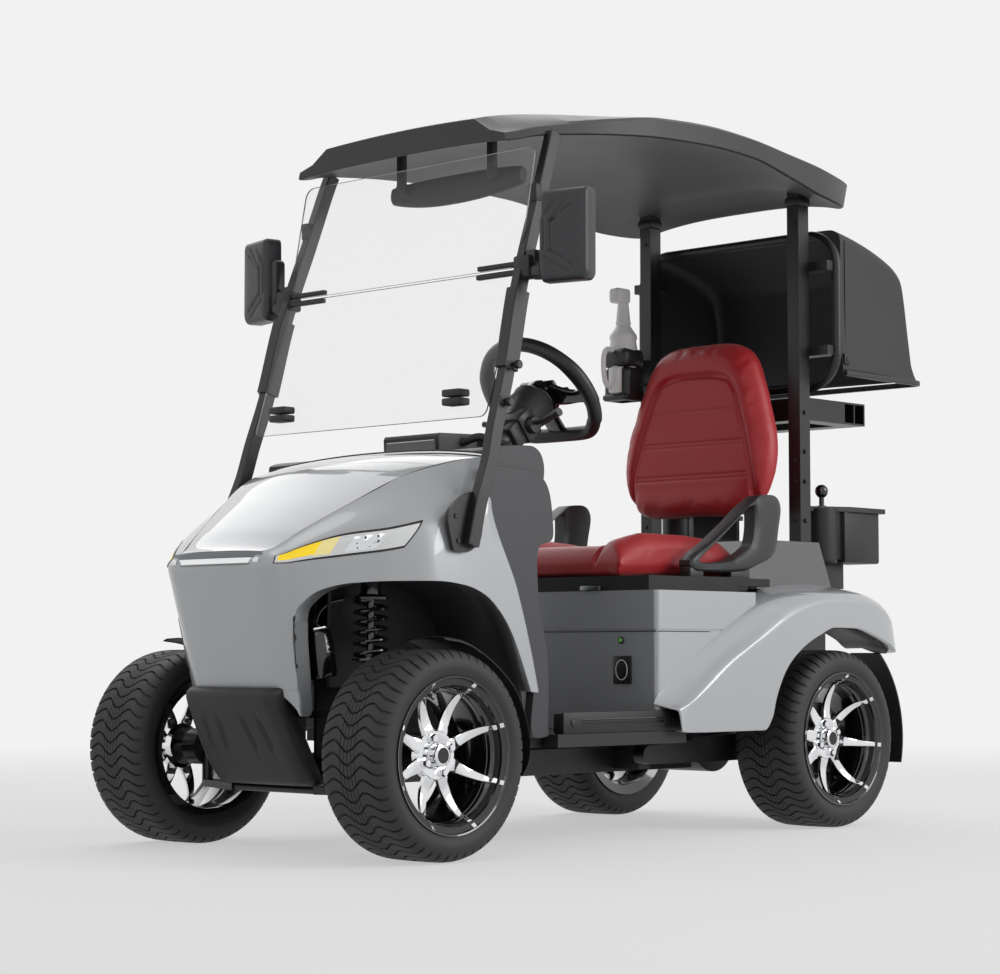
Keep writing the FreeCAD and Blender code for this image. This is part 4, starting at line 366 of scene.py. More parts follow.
def through(controls: Sequence, count: int, closed: bool = False, ease: float = 0.5,
            firm: bool = False) -> Array:
    """Runs smooth curves through control points.

    Between two controls the curve is the cubic blend of their places and tangents; a tangent is the
    mean of the two slopes beside it, each weighted by the other's length, and the parameter grows with
    the chord's length to the power ease. A control written twice makes a corner.

    Args:
        controls: points, or whole rows of points, along the first axis.
        count: how many samples to take.
        closed: whether the last control joins the first.
        ease: the power of the chord's length.
        firm: takes the harmonic mean of the slopes instead, and none where they differ in sign, so
            that the curve never swings past a control.

    Returns:
        The samples, shaped like the controls.
    """
    rows = np.asarray(controls, float)
    if closed:
        rows = np.concatenate([rows, rows[:1]])
    flat = rows.reshape(len(rows), -1)
    chord = np.maximum(np.linalg.norm(np.diff(flat, axis=0), axis=1) ** ease, 1e-5)
    knots = np.concatenate([[0.0], np.cumsum(chord)])
    slope = np.diff(flat, axis=0) / chord[:, None]
    inner = (slope[:-1] * chord[1:, None] + slope[1:] * chord[:-1, None]) / (chord[1:] + chord[:-1])[:, None]
    if firm:
        same = slope[:-1] * slope[1:] > 0
        total = np.where(same, slope[:-1] + slope[1:], 1.0)
        inner = np.where(same, 2 * slope[:-1] * slope[1:] / total, 0.0)
    first, last = slope[:1], slope[-1:]
    if closed:
        first = last = (slope[:1] * chord[-1] + slope[-1:] * chord[0]) / (chord[0] + chord[-1])
    tangent = np.concatenate([first, inner, last])
    spot = np.linspace(0, knots[-1], count, endpoint=not closed)
    index = np.clip(np.searchsorted(knots, spot, side="right") - 1, 0, len(chord) - 1)
    width = chord[index][:, None]
    part = ((spot - knots[index]) / chord[index])[:, None]
    square, cube = part ** 2, part ** 3
    curve = ((2 * cube - 3 * square + 1) * flat[index] + (cube - 2 * square + part) * width * tangent[index]
             + (3 * square - 2 * cube) * flat[index + 1] + (cube - square) * width * tangent[index + 1])
    return curve.reshape((count,) + rows.shape[1:])


def unit(vectors: Array) -> Array:
    """The same directions with length one."""
    return vectors / np.maximum(np.linalg.norm(vectors, axis=-1, keepdims=True), 1e-12)


def rounded_rectangle(wide: float, tall: float, radius: float, steps: int = 5) -> Array:
    """A rectangle with round corners: each corner is a quarter circle about its own centre.

    Args:
        wide: size along the first axis.
        tall: size along the second axis.
        radius: corner radius.
        steps: samples in each corner.

    Returns:
        Points (4 * steps, 2), counter-clockwise.
    """
    turn = np.linspace(0, math.pi / 2, steps)
    quarter = np.arange(4)[:, None] * math.pi / 2 + turn[None, :]
    signs = np.array([[1, 1], [-1, 1], [-1, -1], [1, -1]], float)[:, None, :]
    centres = signs * np.array([wide / 2 - radius, tall / 2 - radius])
    ring = centres + radius * np.stack([np.cos(quarter), np.sin(quarter)], axis=-1)
    return ring.reshape(-1, 2)


@dataclass
class Form:
    """A mesh in the making: points in drawing millimetres, faces, and each face's finish number."""

    points: Array
    faces: list[list[int]]
    finishes: list[int]

    def __add__(self, other: "Form") -> "Form":
        """Both forms as one."""
        shift = len(self.points)
        moved = [[index + shift for index in face] for face in other.faces]
        return Form(np.concatenate([self.points, other.points]), self.faces + moved,
                    self.finishes + other.finishes)

    def mirrored(self) -> "Form":
        """The same form on the other side of the cart."""
        return Form(self.points * (-1, 1, 1), [face[::-1] for face in self.faces], list(self.finishes))

    def on(self, side: Side) -> "Form":
        """A left-hand form on the side that is asked for."""
        return self if side is Side.LEFT else self.mirrored()

    def both(self) -> "Form":
        """This form and its mirror image."""
        return self + self.mirrored()

    def moved(self, x: float = 0, y: float = 0, z: float = 0) -> "Form":
        """The form, moved."""
        return Form(self.points + (x, y, z), self.faces, self.finishes)

    def placed(self, axes: Array, origin: Sequence) -> "Form":
        """The form laid into new axes, given as three rows, at an origin."""
        return Form(self.points @ np.asarray(axes, float) + np.asarray(origin, float), self.faces,
                    self.finishes)

    def fit(self, name: str, finishes: Sequence[Finish], sharp_deg: float, slot: str, *nodes: str,
            body: str = "chassis") -> bpy.types.Object:
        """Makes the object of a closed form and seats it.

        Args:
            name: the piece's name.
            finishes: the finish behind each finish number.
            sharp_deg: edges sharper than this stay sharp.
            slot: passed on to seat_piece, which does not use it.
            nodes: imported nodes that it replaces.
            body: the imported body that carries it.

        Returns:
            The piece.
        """
        return seat_piece(self.build(name, finishes, sharp_deg), body, slot, *nodes)

    def build(self, name: str, finishes: Sequence[Finish], sharp_deg: float = 38.0,
              facing: Optional[Sequence] = None, closed: bool = True) -> bpy.types.Object:
        """Makes the object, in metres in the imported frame, with its doubles merged.

        Args:
            name: the object's name.
            finishes: the finish behind each finish number.
            sharp_deg: edges sharper than this stay sharp.
            facing: for an open sheet, a direction that most of its faces point to.
            closed: whether the form is a closed shell, whose faces are turned outwards.

        Returns:
            The new object, at the origin.
        """
        mesh = bpy.data.meshes.new(name)
        metres = self.points * MILLIMETRE + (0, FRONT_AXLE_Y, 0)
        mesh.from_pydata(metres.tolist(), [], self.faces)
        mesh.polygons.foreach_set("material_index", self.finishes)
        work = bmesh.new()
        work.from_mesh(mesh)
        bmesh.ops.remove_doubles(work, verts=work.verts, dist=0.02 * MILLIMETRE)
        bmesh.ops.dissolve_degenerate(work, edges=work.edges, dist=0.005 * MILLIMETRE)
        if closed:
            bmesh.ops.recalc_face_normals(work, faces=work.faces)
        elif facing is not None:
            normals = np.array([tuple(one.normal * one.calc_area()) for one in work.faces])
            if float(normals.sum(0) @ np.asarray(facing, float)) < 0:
                bmesh.ops.reverse_faces(work, faces=work.faces)
        work.to_mesh(mesh)
        work.free()
        mesh.shade_smooth()
        mesh.set_sharp_from_angle(angle=math.radians(sharp_deg))
        piece = bpy.data.objects.new(name, mesh)
        bpy.context.scene.collection.objects.link(piece)
        for finish in finishes:
            mesh.materials.append(finish.material())
        return piece


def joined(forms: Sequence[Form]) -> Form:
    """Several forms as one."""
    return sum(forms[1:], forms[0])


def sheet_form(points: Array, wrap_rows: bool = False, wrap_columns: bool = False,
               finish: int = 0) -> Form:
    """Faces between the rows and columns of a grid of points.

    Args:
        points: grid (rows, columns, 3).
        wrap_rows: whether the last row joins the first.
        wrap_columns: whether the last column joins the first.
        finish: the finish number.

    Returns:
        The form.
    """
    rows, columns = points.shape[:2]
    row = np.arange(rows if wrap_rows else rows - 1)[:, None]
    column = np.arange(columns if wrap_columns else columns - 1)[None, :]
    below, beside = (row + 1) % rows, (column + 1) % columns
    corners = [row * columns + column, row * columns + beside, below * columns + beside,
               below * columns + column]
    faces = np.stack([np.broadcast_to(one, (row.size, column.size)) for one in corners], -1).reshape(-1, 4)
    return Form(points.reshape(-1, 3), faces.tolist(), [finish] * len(faces))


def border(grid: Array) -> Array:
    """The border of a grid of points as one loop."""
    return np.concatenate([grid[0], grid[1:, -1], grid[-1, -2::-1], grid[-2:0:-1, 0]])


def tube_form(loops: Array, finish: int = 0, loop: bool = False) -> Form:
    """A closed shell through loops of points, with a flat cap on each end.

    Args:
        loops: grid (loops, points round each, 3).
        finish: the finish number.
        loop: whether the last loop joins the first, with no caps.

    Returns:
        The form.
    """
    form = sheet_form(loops, loop, True, finish)
    if not loop:
        count, round_points = loops.shape[:2]
        last = (count - 1) * round_points
        form.faces += [list(range(round_points))[::-1], list(range(last, last + round_points))]
        form.finishes += [finish, finish]
    return form


def swept(path: Array, section: Array, up: Sequence = (0, 0, 1), finish: int = 0,
          scale: Optional[Array] = None, loop: bool = False) -> Form:
    """A section carried along a path, square to it.

    The section's first axis lies along the path's direction crossed with up, its second one across both.

    Args:
        path: points (n, 3).
        section: points (m, 2), or (n, m, 2) where it changes along the path.
        up: a direction that the path never runs along.
        finish: the finish number.
        scale: the section's size at each point of the path.
        loop: whether the path is a closed loop.

    Returns:
        The form.
    """
    path = np.asarray(path, float)
    if loop:
        ahead = unit(np.roll(path, -1, axis=0) - np.roll(path, 1, axis=0))
    else:
        ahead = unit(np.gradient(path, axis=0))
    side = unit(np.cross(ahead, np.asarray(up, float)))
    rise = np.cross(side, ahead)
    section = np.broadcast_to(section, (len(path),) + section.shape[-2:])
    if scale is not None:
        section = section * np.asarray(scale, float).reshape(len(path), 1, -1)
    loops = path[:, None] + section[..., :1] * side[:, None] + section[..., 1:] * rise[:, None]
    return tube_form(loops, finish, loop)


def turned(profile: Array, count: int = 48, finish: int = 0, closed_profile: bool = False) -> Form:
    """A profile of axial place and radius turned about the X axis; radius zero closes a pole.

    Args:
        profile: points (n, 2).
        count: samples round the axis.
        finish: the finish number.
        closed_profile: whether the profile is a closed loop.

    Returns:
        The form about the origin.
    """
    profile = np.asarray(profile, float)
    turn = np.arange(count) * 2 * math.pi / count
    grid = np.stack([np.broadcast_to(profile[None, :, 0], (count, len(profile))),
                     profile[None, :, 1] * np.cos(turn)[:, None],
                     profile[None, :, 1] * np.sin(turn)[:, None]], -1)
    return sheet_form(grid, True, closed_profile, finish)


# Axes for Form.placed that stand a turned form's axis up, or point it to the front
ALONG_Z = ((0, 0, 1), (1, 0, 0), (0, 1, 0))
TO_FRONT = ((0, -1, 0), (1, 0, 0), (0, 0, 1))


def pillow_block(low: Sequence, high: Sequence, radius: float, steps: int = 4, finish: int = 0) -> Form:
    """A box with round edges: an inner box swollen by the edge radius in every direction.

    Args:
        low: lowest corner.
        high: highest corner.
        radius: edge radius.
        steps: samples in each rounded edge.
        finish: the finish number.

    Returns:
        The form.
    """
    low, high = np.asarray(low, float), np.asarray(high, float)
    centre, half = (low + high) / 2, (high - low) / 2
    radius = min(radius, float(half.min()) * 0.98)
    lift = np.concatenate([np.linspace(-math.pi / 2, 0, steps), np.linspace(0, math.pi / 2, steps)])
    lift_sign = np.repeat([-1.0, 1.0], steps)
    turn = np.concatenate([np.linspace(0, math.pi / 2, steps) + quarter * math.pi / 2
                           for quarter in range(4)])
    turn_signs = np.repeat([[1, 1], [-1, 1], [-1, -1], [1, -1]], steps, axis=0).astype(float)
    arm = half - radius
    x = turn_signs[None, :, 0] * arm[0] + radius * np.cos(lift)[:, None] * np.cos(turn)[None]
    y = turn_signs[None, :, 1] * arm[1] + radius * np.cos(lift)[:, None] * np.sin(turn)[None]
    z = np.broadcast_to((lift_sign * arm[2] + radius * np.sin(lift))[:, None], x.shape)
    return tube_form(np.stack([x, y, z], -1) + centre, finish)


def blocks(*rows: tuple) -> Form:
    """Boxes with round edges in one form.

    Args:
        rows: for each box what pillow_block takes.

    Returns:
        The form.
    """
    return joined([pillow_block(*row) for row in rows])


def studs(places: Sequence, axis: Sequence, radius: float, height: float, sides: int = 6,
          finish: int = 0) -> Form:
    """Bolt heads: short prisms with a chamfered top, one at each place.

    Args:
        places: points (n, 3) on the surface.
        axis: the direction that they stand in.
        radius: head radius.
        height: head height.
        sides: number of sides.
        finish: the finish number.

    Returns:
        All heads as one form.
    """
    axis = unit(np.asarray(axis, float))
    other = unit(np.cross(axis, (0.3, 0.5, 0.81)))
    third = np.cross(axis, other)
    turn = np.arange(sides) * 2 * math.pi / sides
    ring = np.cos(turn)[:, None] * other + np.sin(turn)[:, None] * third
    levels = [(0.0, 1.0), (0.75, 1.0), (1.0, 0.8)]
    loops = np.stack([ring * radius * size + axis * height * rise for rise, size in levels])
    return joined([tube_form(loops + np.asarray(place, float), finish) for place in places])


def thicken(piece: bpy.types.Object, wall: float, offset: float = -1.0, inner_finish: int = 0) -> None:
    """Gives a sheet its wall.

    Args:
        piece: the sheet's object.
        wall: thickness in millimetres.
        offset: -1 puts the wall behind the sheet, 1 in front of it.
        inner_finish: how many finish numbers further the wall's back and edge are.
    """
    solidify = piece.modifiers.new("wall", "SOLIDIFY")
    solidify.thickness = wall * MILLIMETRE
    solidify.offset = offset
    solidify.use_even_offset = False
    solidify.material_offset = inner_finish


def round_edges(piece: bpy.types.Object, width: float, segments: int = 2, angle_deg: float = 32.0) -> None:
    """Rounds a piece's sharp edges with a bevel, in millimetres."""
    bevel = piece.modifiers.new("edges", "BEVEL")
    bevel.width = width * MILLIMETRE
    bevel.segments = segments
    bevel.limit_method = "ANGLE"
    bevel.angle_limit = math.radians(angle_deg)


def seat_piece(piece: bpy.types.Object, body: str, slot: str, *nodes: str) -> bpy.types.Object:
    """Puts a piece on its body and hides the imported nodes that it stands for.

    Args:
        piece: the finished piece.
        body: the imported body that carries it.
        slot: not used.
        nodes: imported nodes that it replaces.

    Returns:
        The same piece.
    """
    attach(piece, body)
    if nodes:
        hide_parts(*nodes)
    log.info("%s: %d faces on %s", piece.name, len(piece.data.polygons), body)
    return piece


def coat_node(node: str, finish: Finish) -> None:
    """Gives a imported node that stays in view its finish."""
    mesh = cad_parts[node].data
    mesh.materials.clear()
    mesh.materials.append(finish.material())


# Wheels

@dataclass
class Wheel:
    """A low-profile turf tyre with a waved tread on a black rim with eight bright spokes."""

    corner: str
    side: Side
    half_track: float
    back: float
    turn_deg: float
    radius: float = 228.0
    pitches: int = 52
    groove_deep: float = 5.0
    groove_root: float = 205.0
    groove_rise: float = 14.0
    ring_grooves: tuple = (-22, -11, 0, 11, 22)
    ring_share: float = 0.55
    wave_tall: float = 13.0
    wave_half: float = 46.0
    rim_radius: float = 152.4
    lip_radius: float = 170.4
    hub_face: float = 40.0
    spokes: int = 8
    cap_slots: int = 10
    samples_share: tuple = (0.0, 0.05, 0.13, 0.18, 0.32, 0.5, 0.68, 0.84, 0.95)
    deep_share: tuple = (1.0, 1.0, 1.0, 0.0, 0.0, 0.0, 0.0, 0.0, 0.0)

    def tread_profile(self) -> tuple[Array, Array, Array]:
        """Places across the tyre, radii there, and how deep the cross grooves are there, as a share."""
        outline = through([(-88, 153), (-91, 170), (-97.5, 188), (-97.5, 199), (-93, 212), (-85, 221),
                           (-72, 226), (-40, 227.6), (0, 228), (40, 227.6), (72, 226), (85, 221), (93, 212),
                           (97.5, 199), (97.5, 188), (91, 170), (88, 153)], 97)
        places = (np.array(self.ring_grooves)[:, None] + (-0.9, -0.5, 0.5, 0.9)).reshape(-1)
        cut = np.tile([0, 1, 1, 0], len(self.ring_grooves)) * self.groove_deep * self.ring_share
        rings = np.stack([places, np.interp(places, outline[40:57, 0], outline[40:57, 1]) - cut], -1)
        sides = outline[np.abs(outline[:, 0]) > self.ring_grooves[-1] + 2]
        middle = len(sides) // 2
        across, radii = np.concatenate([sides[:middle], rings, sides[middle:]]).T
        return across, radii, np.clip((radii - self.groove_root) / self.groove_rise, 0, 1)

    def tyre(self) -> Form:
        """The tyre as a grid of places round and across it.

        The angle of a cross groove is its pitch number plus a cosine wave of the place across; the
        radius is the section's, less the groove's depth over the first part of each pitch.
        """
        across, radii, depth = self.tread_profile()
        pitch = 2 * math.pi / self.pitches
        shares = (np.arange(self.pitches)[:, None] + np.array(self.samples_share)[None, :]).reshape(-1)
        deep = np.tile(np.array(self.deep_share), self.pitches)
        wave = np.cos(across / self.wave_half * math.pi) * self.wave_tall
        wave = wave * np.clip(1.35 - np.abs(across) / 95, 0.25, 1)
        turn = shares[:, None] * pitch + wave / self.radius
        size = radii - deep[:, None] * depth * self.groove_deep
        grid = np.stack([np.broadcast_to(across, turn.shape), size * np.cos(turn), size * np.sin(turn)], -1)
        bore = turned([(-88, 153), (-60, 150), (60, 150), (88, 153)], 96)
        return sheet_form(grid, True) + Form(bore.points, [one[::-1] for one in bore.faces], bore.finishes)

    def rim(self) -> Form:
        """The turned barrel with its stepped outer lip and ribbed inside."""
        lip, seat = self.lip_radius, self.rim_radius
        outer = [(95, lip), (92, lip + 0.3), (88.5, lip - 3), (87, seat), (60, seat), (50, seat - 9),
                 (-50, seat - 9), (-60, seat), (-87, seat), (-92, lip - 2), (-95, lip)]
        inner = [(-94, lip - 4), (-88, seat - 7), (-60, seat - 7), (-50, seat - 14), (30, seat - 14),
                 (46, seat - 8), (60, seat - 7), (66, seat - 2), (80, seat + 2), (84, seat + 8),
                 (90, lip - 5), (94, lip - 3)]
        return turned(np.array(outer + inner, float), 96, 0, True)

    def spoke(self) -> Form:
        """One spoke: wide at the hub, dished, slimmer at the barrel, then kinked out to the lip.

        Returns:
            The spoke along +Y, as a rounded section whose size changes along its path.
        """
        path = np.array([(36, 30), (39, 52), (36, 74), (38, 98), (46, 122), (58, 140), (70, 147), (82, 152),
                         (90, 160), (95, 166)], float)
        path = through(path, 26)
        wide = through([[38], [24], [16], [13], [12], [12], [12], [12], [11], [10]], 26)[:, 0]
        thick = through([[13], [13], [12], [12], [12], [12], [11], [9], [7], [4]], 26)[:, 0]
        section = rounded_rectangle(1, 1, 0.16, 3)
        route = np.stack([path[:, 0] - thick / 2, path[:, 1], np.zeros(len(path))], -1)
        return swept(route, section, (0, 0, 1), 1, np.stack([thick, wide], -1))

    def hub(self) -> Form:
        """The bright hub plate with four nuts, and the slotted cap with its dark face."""
        face = self.hub_face
        plate = turned([(8, 0), (8, 44), (16, 54), (face - 4, 56), (face, 52), (face, 30), (face - 2, 27),
                        (face - 2, 0)], 16, 1)
        cap = turned([(face - 4, 0), (face - 4, 25), (face + 10, 25), (face + 17, 23.5), (face + 19, 20),
                      (face + 19, 17)], 40, 1)
        disc = turned([(face + 18, 0), (face + 18.4, 16), (face + 17, 17)], 40, 2)
        angle = math.radians(22.5) + np.arange(4) * math.pi / 2
        spots = np.stack([np.full(4, face), 40 * np.cos(angle), 40 * np.sin(angle)], -1)
        whole = plate + cap + disc
        for radius, height, sides in ((9.5, 12, 6), (12, 4, 20)):
            whole += studs(spots - (1, 0, 0), (1, 0, 0), radius, height, sides, 1)
        bar = pillow_block((face + 2, 23.4, -2.6), (face + 13, 25.8, 2.6), 1.0, 2)
        for slot in range(self.cap_slots):
            whole += self.spun(bar, slot * 2 * math.pi / self.cap_slots)
        return whole

    @staticmethod
    def spun(form: Form, angle: float) -> Form:
        """The form turned about the axle."""
        cos, sin = math.cos(angle), math.sin(angle)
        return form.placed(((1, 0, 0), (0, cos, sin), (0, -sin, cos)), (0, 0, 0))

    def put(self, form: Form) -> Form:
        """The form at this wheel, its outer face outwards."""
        return form.on(self.side).moved(self.side.value * self.half_track, self.back, self.radius)

    def build(self) -> None:
        """Builds the tyre and the rim."""
        body = "wheel_" + self.corner
        self.put(self.tyre()).fit("tyre_tread_" + self.corner, [RUBBER], 30, "tyre", "tyre_" + self.corner,
                                  body=body)
        turns = math.radians(self.turn_deg) + np.arange(self.spokes) * 2 * math.pi / self.spokes
        whole = joined([self.rim(), self.hub()] + [self.spun(self.spoke(), turn) for turn in turns])
        self.put(whole).fit("spoked_rim_" + self.corner, [RIM_BLACK, CHROME, TRIM], 35, "alloy",
                            "rim_" + self.corner, body=body)


# Front body

@dataclass
class Skin:
    """A smooth patch through columns of control points, placed by two shares from 0 to 1."""

    controls: tuple
    dense: tuple = (91, 301)

    def __post_init__(self) -> None:
        """Runs curves down every column of controls, then across them."""
        rows = np.swapaxes(np.array(self.controls, float), 0, 1)
        down = through(rows, self.dense[0], ease=0.7, firm=True)
        self.grid = np.swapaxes(through(np.swapaxes(down, 0, 1), self.dense[1], ease=0.7, firm=True), 0, 1)
        self.across_step = np.gradient(self.grid, axis=1)
        self.down_step = np.gradient(self.grid, axis=0)
        self.normals = unit(np.cross(self.down_step, self.across_step))

    def at(self, across: Array, down: Array, proud: float = 0.0) -> Array:
        """Points on the patch, lifted off it.

        Args:
            across: shares along the columns.
            down: shares from the top row to the bottom one.
            proud: millimetres outwards.

        Returns:
            The points, blended from the four nearest ones of the dense grid.
        """
        rows, columns = self.grid.shape[:2]
        row, column = np.asarray(down) * (rows - 1), np.asarray(across) * (columns - 1)
        low_row = np.clip(np.floor(row).astype(int), 0, rows - 2)
        low_column = np.clip(np.floor(column).astype(int), 0, columns - 2)
        part_row, part_column = (row - low_row)[..., None], (column - low_column)[..., None]
        lifted = self.grid + self.normals * proud
        upper = lifted[low_row, low_column] * (1 - part_column) + lifted[low_row, low_column + 1] * part_column
        lower = (lifted[low_row + 1, low_column] * (1 - part_column)
                 + lifted[low_row + 1, low_column + 1] * part_column)
        return upper * (1 - part_row) + lower * part_row

    def spot(self, points: Sequence) -> tuple[Array, Array]:
        """The shares of the places nearest to some points.

        Each is the nearest grid point, moved by one least-squares step along the patch's own directions.
        """
        points = np.asarray(points, float)
        gaps = np.linalg.norm(self.grid[None] - points[:, None, None], axis=-1)
        rows, columns = self.grid.shape[:2]
        row, column = np.divmod(gaps.reshape(len(points), -1).argmin(1), columns)
        one, two = self.across_step[row, column], self.down_step[row, column]
        left = points - self.grid[row, column]
        one_one, one_two, two_two = (one * one).sum(1), (one * two).sum(1), (two * two).sum(1)
        one_left, two_left = (one * left).sum(1), (two * left).sum(1)
        whole = one_one * two_two - one_two ** 2
        across = column + np.clip((two_two * one_left - one_two * two_left) / whole, -1, 1)
        down = row + np.clip((one_one * two_left - one_two * one_left) / whole, -1, 1)
        return np.clip(across / (columns - 1), 0, 1), np.clip(down / (rows - 1), 0, 1)


@dataclass
class FrontBody:
    """Hood, nose and fender flanks with a crisp crease between them, lamps, bumper and dark arch liners, partly
    real liners and partly painted shade; the panels' backs are black as painted shade.
    """

    crease: tuple = ((143, -242, 669), (152, -223, 674), (179, -163, 713), (227, -59, 777), (275, 47, 838),
                     (325, 155, 877), (362, 237, 891))
    crown: tuple = (3, 18, 30, 36, 32, 26, 22)
    bow: tuple = (-15, -14, -8, 0, 6, 10, 12)
    gap: float = 2.4
    wall: float = 3.0
    lip_turn: float = 17.0
    liner_inner: float = 166.0
    samples: tuple = (281, 49)
    arch_start: int = 96
    columns: tuple = (
        ((0, -258, 667), (0, -258.5, 640), (0, -250, 600), (0, -225, 480), (0, -201, 362)),
        ((80, -256, 667), (82, -257, 640), (80, -249, 600), (73, -224, 480), (66, -200, 362)),
        ((134, -249, 667), (142, -254, 640), (138, -246, 600), (126, -221, 480), (114, -197, 362)),
        ((143, -242, 669), (168, -247, 641), (164, -239, 600), (151, -214, 480), (138, -190, 362)),
        ((152, -223, 674), (186, -236, 643), (182, -228, 600), (169, -203, 480), (157, -179, 362)),
        ((163, -198, 690), (200, -220, 647), (196, -212, 600), (184, -190, 480), (173, -167, 362)),
        ((179, -163, 713), (214, -205, 655), (211, -197, 600), (200, -177, 480), (189, -156, 362)),
        ((205, -105, 749), (251, -162, 673), (248, -156, 600), (241, -143, 480), (234, -130, 362)),
        ((227, -59, 777), (295, -111, 690), (293, -107, 600), (290, -102, 480), (287, -97, 362)),
        ((252, -3, 809), (352, -43, 704), (352, -41, 600), (351, -41, 480), (350, -41, 362)),
        ((275, 47, 838), (388, 34, 720), (396, 44, 600), (396, 46, 480), (396, 46, 362)),
        ((310, 124, 866), (401, 112, 734), (404, 126, 600), (404, 130, 480), (404, 130, 362)),
        ((336, 180, 881), (404, 168, 746), (405, 190, 600), (405, 200, 480), (405, 205, 362)),
        ((350, 212, 887), (404, 196, 762), (405, 246, 600), (405, 272, 480), (405, 288, 362)),
        ((362, 237, 891), (399, 213, 778), (405, 291, 592), (405, 331, 474), (404, 364, 358)))
    lower_edge: tuple = (
        (0, 0, -201, 362), (1, 66, -200, 362), (2, 114, -197, 362), (3, 138, -190, 362), (4, 158, -179, 362),
        (5, 180, -167, 364), (5, 180, -167, 364), (5.7, 186, -180, 440), (6.1, 191, -189, 495),
        (6.5, 198, -193, 532), (7, 217, -182, 562), (7.5, 245, -158, 585), (8.2, 289, -113, 599),
        (9.1, 351, -43, 604), (10, 396, 44, 605), (11, 404, 126, 597), (12, 405, 196, 572),
        (12.8, 405, 254, 520), (13.3, 404, 300, 443), (13.6, 403, 338, 360), (13.6, 403, 338, 360),
        (14, 404, 364, 358))
    return_rows: tuple = ((309, 177, -153, -132), (313, 177.5, -157, -125), (322, 178, -160, -122),
                          (340, 178.5, -163, -123.5), (364, 179.5, -165.5, -127), (400, 182.5, -172, -135),
                          (440, 186.5, -181.5, -143), (495, 191.8, -191, -149), (516, 195, -192.5, -152))
    horn_rows: tuple = ((312, 176, 178), (322, 173, 178.5), (335, 165, 179), (350, 152, 179.5), (366, 138, 180))
    lamp_upper: tuple = ((175, -233, 657), (219, -185, 681), (261, -136, 701), (329, -65, 717), (376, 21, 738))
    lamp_lower: tuple = ((178, -242, 641), (228, -189, 647), (275, -132, 656), (325, -77, 665), (363, -25, 676))

    def hood(self) -> None:
        """The bonnet: each cross line is a flattened arch that stands on the crease at both ends.

        Its rear row turns up into a gasket with a bright line along its front.
        """
        count, wide = 70, 61
        edge = through(self.crease, count, ease=0.8)
        rise = through(np.array(self.crown, float)[:, None], count)[:, 0]
        bow = through(np.array(self.bow, float)[:, None], count)[:, 0]
        share = np.sin(np.linspace(-1, 1, wide) * math.pi / 2)
        arch = 1 - np.abs(share) ** 2.3
        grid = np.stack([(edge[:, :1] - self.gap) * share, edge[:, 1:2] + bow[:, None] * arch,
                         edge[:, 2:] + rise[:, None] * arch], -1)
        under = np.concatenate([grid[:, :1] + (6, 0, -9), grid, grid[:, -1:] + (-6, 0, -9)], axis=1)
        front = under[:1] + (0, 3, -10)
        hood = sheet_form(np.concatenate([front, under], axis=0)).build("hood_skin", [SILVER, TRIM], 30,
                                                                        (0, 0, 1), False)
        # The sheet's back takes the black trim finish: its silver inner side painted dark as painted shade
        thicken(hood, self.wall, -1, 1)
        seat_piece(hood, "chassis", "silver_paint", "hood")
        rear = grid[-1]
        bright = swept(rear + (0, -4, 2.2), rounded_rectangle(5, 4, 1.5, 3), finish=1)
        gasket = swept(rear + (0, 7, 3), rounded_rectangle(13, 12, 4, 4))
        (bright + gasket).fit("hood_gasket", [SOFT_BLACK, CHROME], 40, "black_plastic")

    def outline(self, skin: Skin, count: int) -> tuple[Array, Array, Array]:
        """The shares of the crease and of the lower edge, column by column."""
        rows = np.array(self.lower_edge, float)
        tops = np.array([column[0] for column in self.columns], float)
        numbers = np.arange(len(tops))
        top = np.stack([np.interp(rows[:, 0], numbers, tops[:, axis]) for axis in range(3)], -1)
        top_across, _ = skin.spot(top)
        across, down = skin.spot(rows[:, 1:])
        whole = through(np.stack([top_across, across, down], -1), count, ease=1.0, firm=True)
        return whole[:, 0], whole[:, 1], whole[:, 2]

    def flanks(self, skin: Skin) -> None:
        """Nose and flanks in one sheet, with the arch's lip turned inwards and a dark liner behind it, partly a
        real liner and partly painted shade inside the arch.

        A column runs from its share of the crease to its share of the lower edge, straight in the patch's
        own shares. The lip is the last row pushed against the patch's level direction.

        Args:
            skin: the left half's patch.
        """
        top, across, down = self.outline(skin, self.samples[0])
        part = np.linspace(0, 1, self.samples[1])[:, None]
        spread = top[None] + (across - top)[None] * part
        grid = skin.at(spread, down[None] * part)
        flat = unit(np.cross(grid[-1] - grid[-3], np.gradient(grid[-1], axis=0)) * (1, 1, 0))
        flat = flat * np.sign((flat * (0.7, -0.7, 0)).sum(-1, keepdims=True))
        flat = through(flat[::20], len(flat))
        inward = -unit(flat)
        front = np.clip((-40 - grid[-1][:, 1:2]) / 60, 0, 1) * np.clip((grid[-1][:, 2:] - 364) / 12, 0, 1)
        turned_in = inward * self.lip_turn * (1 - front) + np.array((-6.0, 44, 0)) * front
        top_lip = grid[:1] + (-4, 0, -10)
        lips = np.stack([grid[-1] + inward * 1.0, grid[-1] + inward * 3.0 + (0, 0, 0.4),
                         grid[-1] + turned_in + (0, 0, 1.5)])
        whole = np.concatenate([top_lip, grid, lips])
        body = sheet_form(whole).both().build("nose_and_flanks", [SILVER, TRIM], 30, (0, -1, 0), False)
        # The sheet's back takes the black trim finish: its silver inner side painted dark as painted shade
        thicken(body, self.wall, -1, 1)
        seat_piece(body, "chassis", "silver_paint", "front_fascia", "front_fenders")
        self.returns()
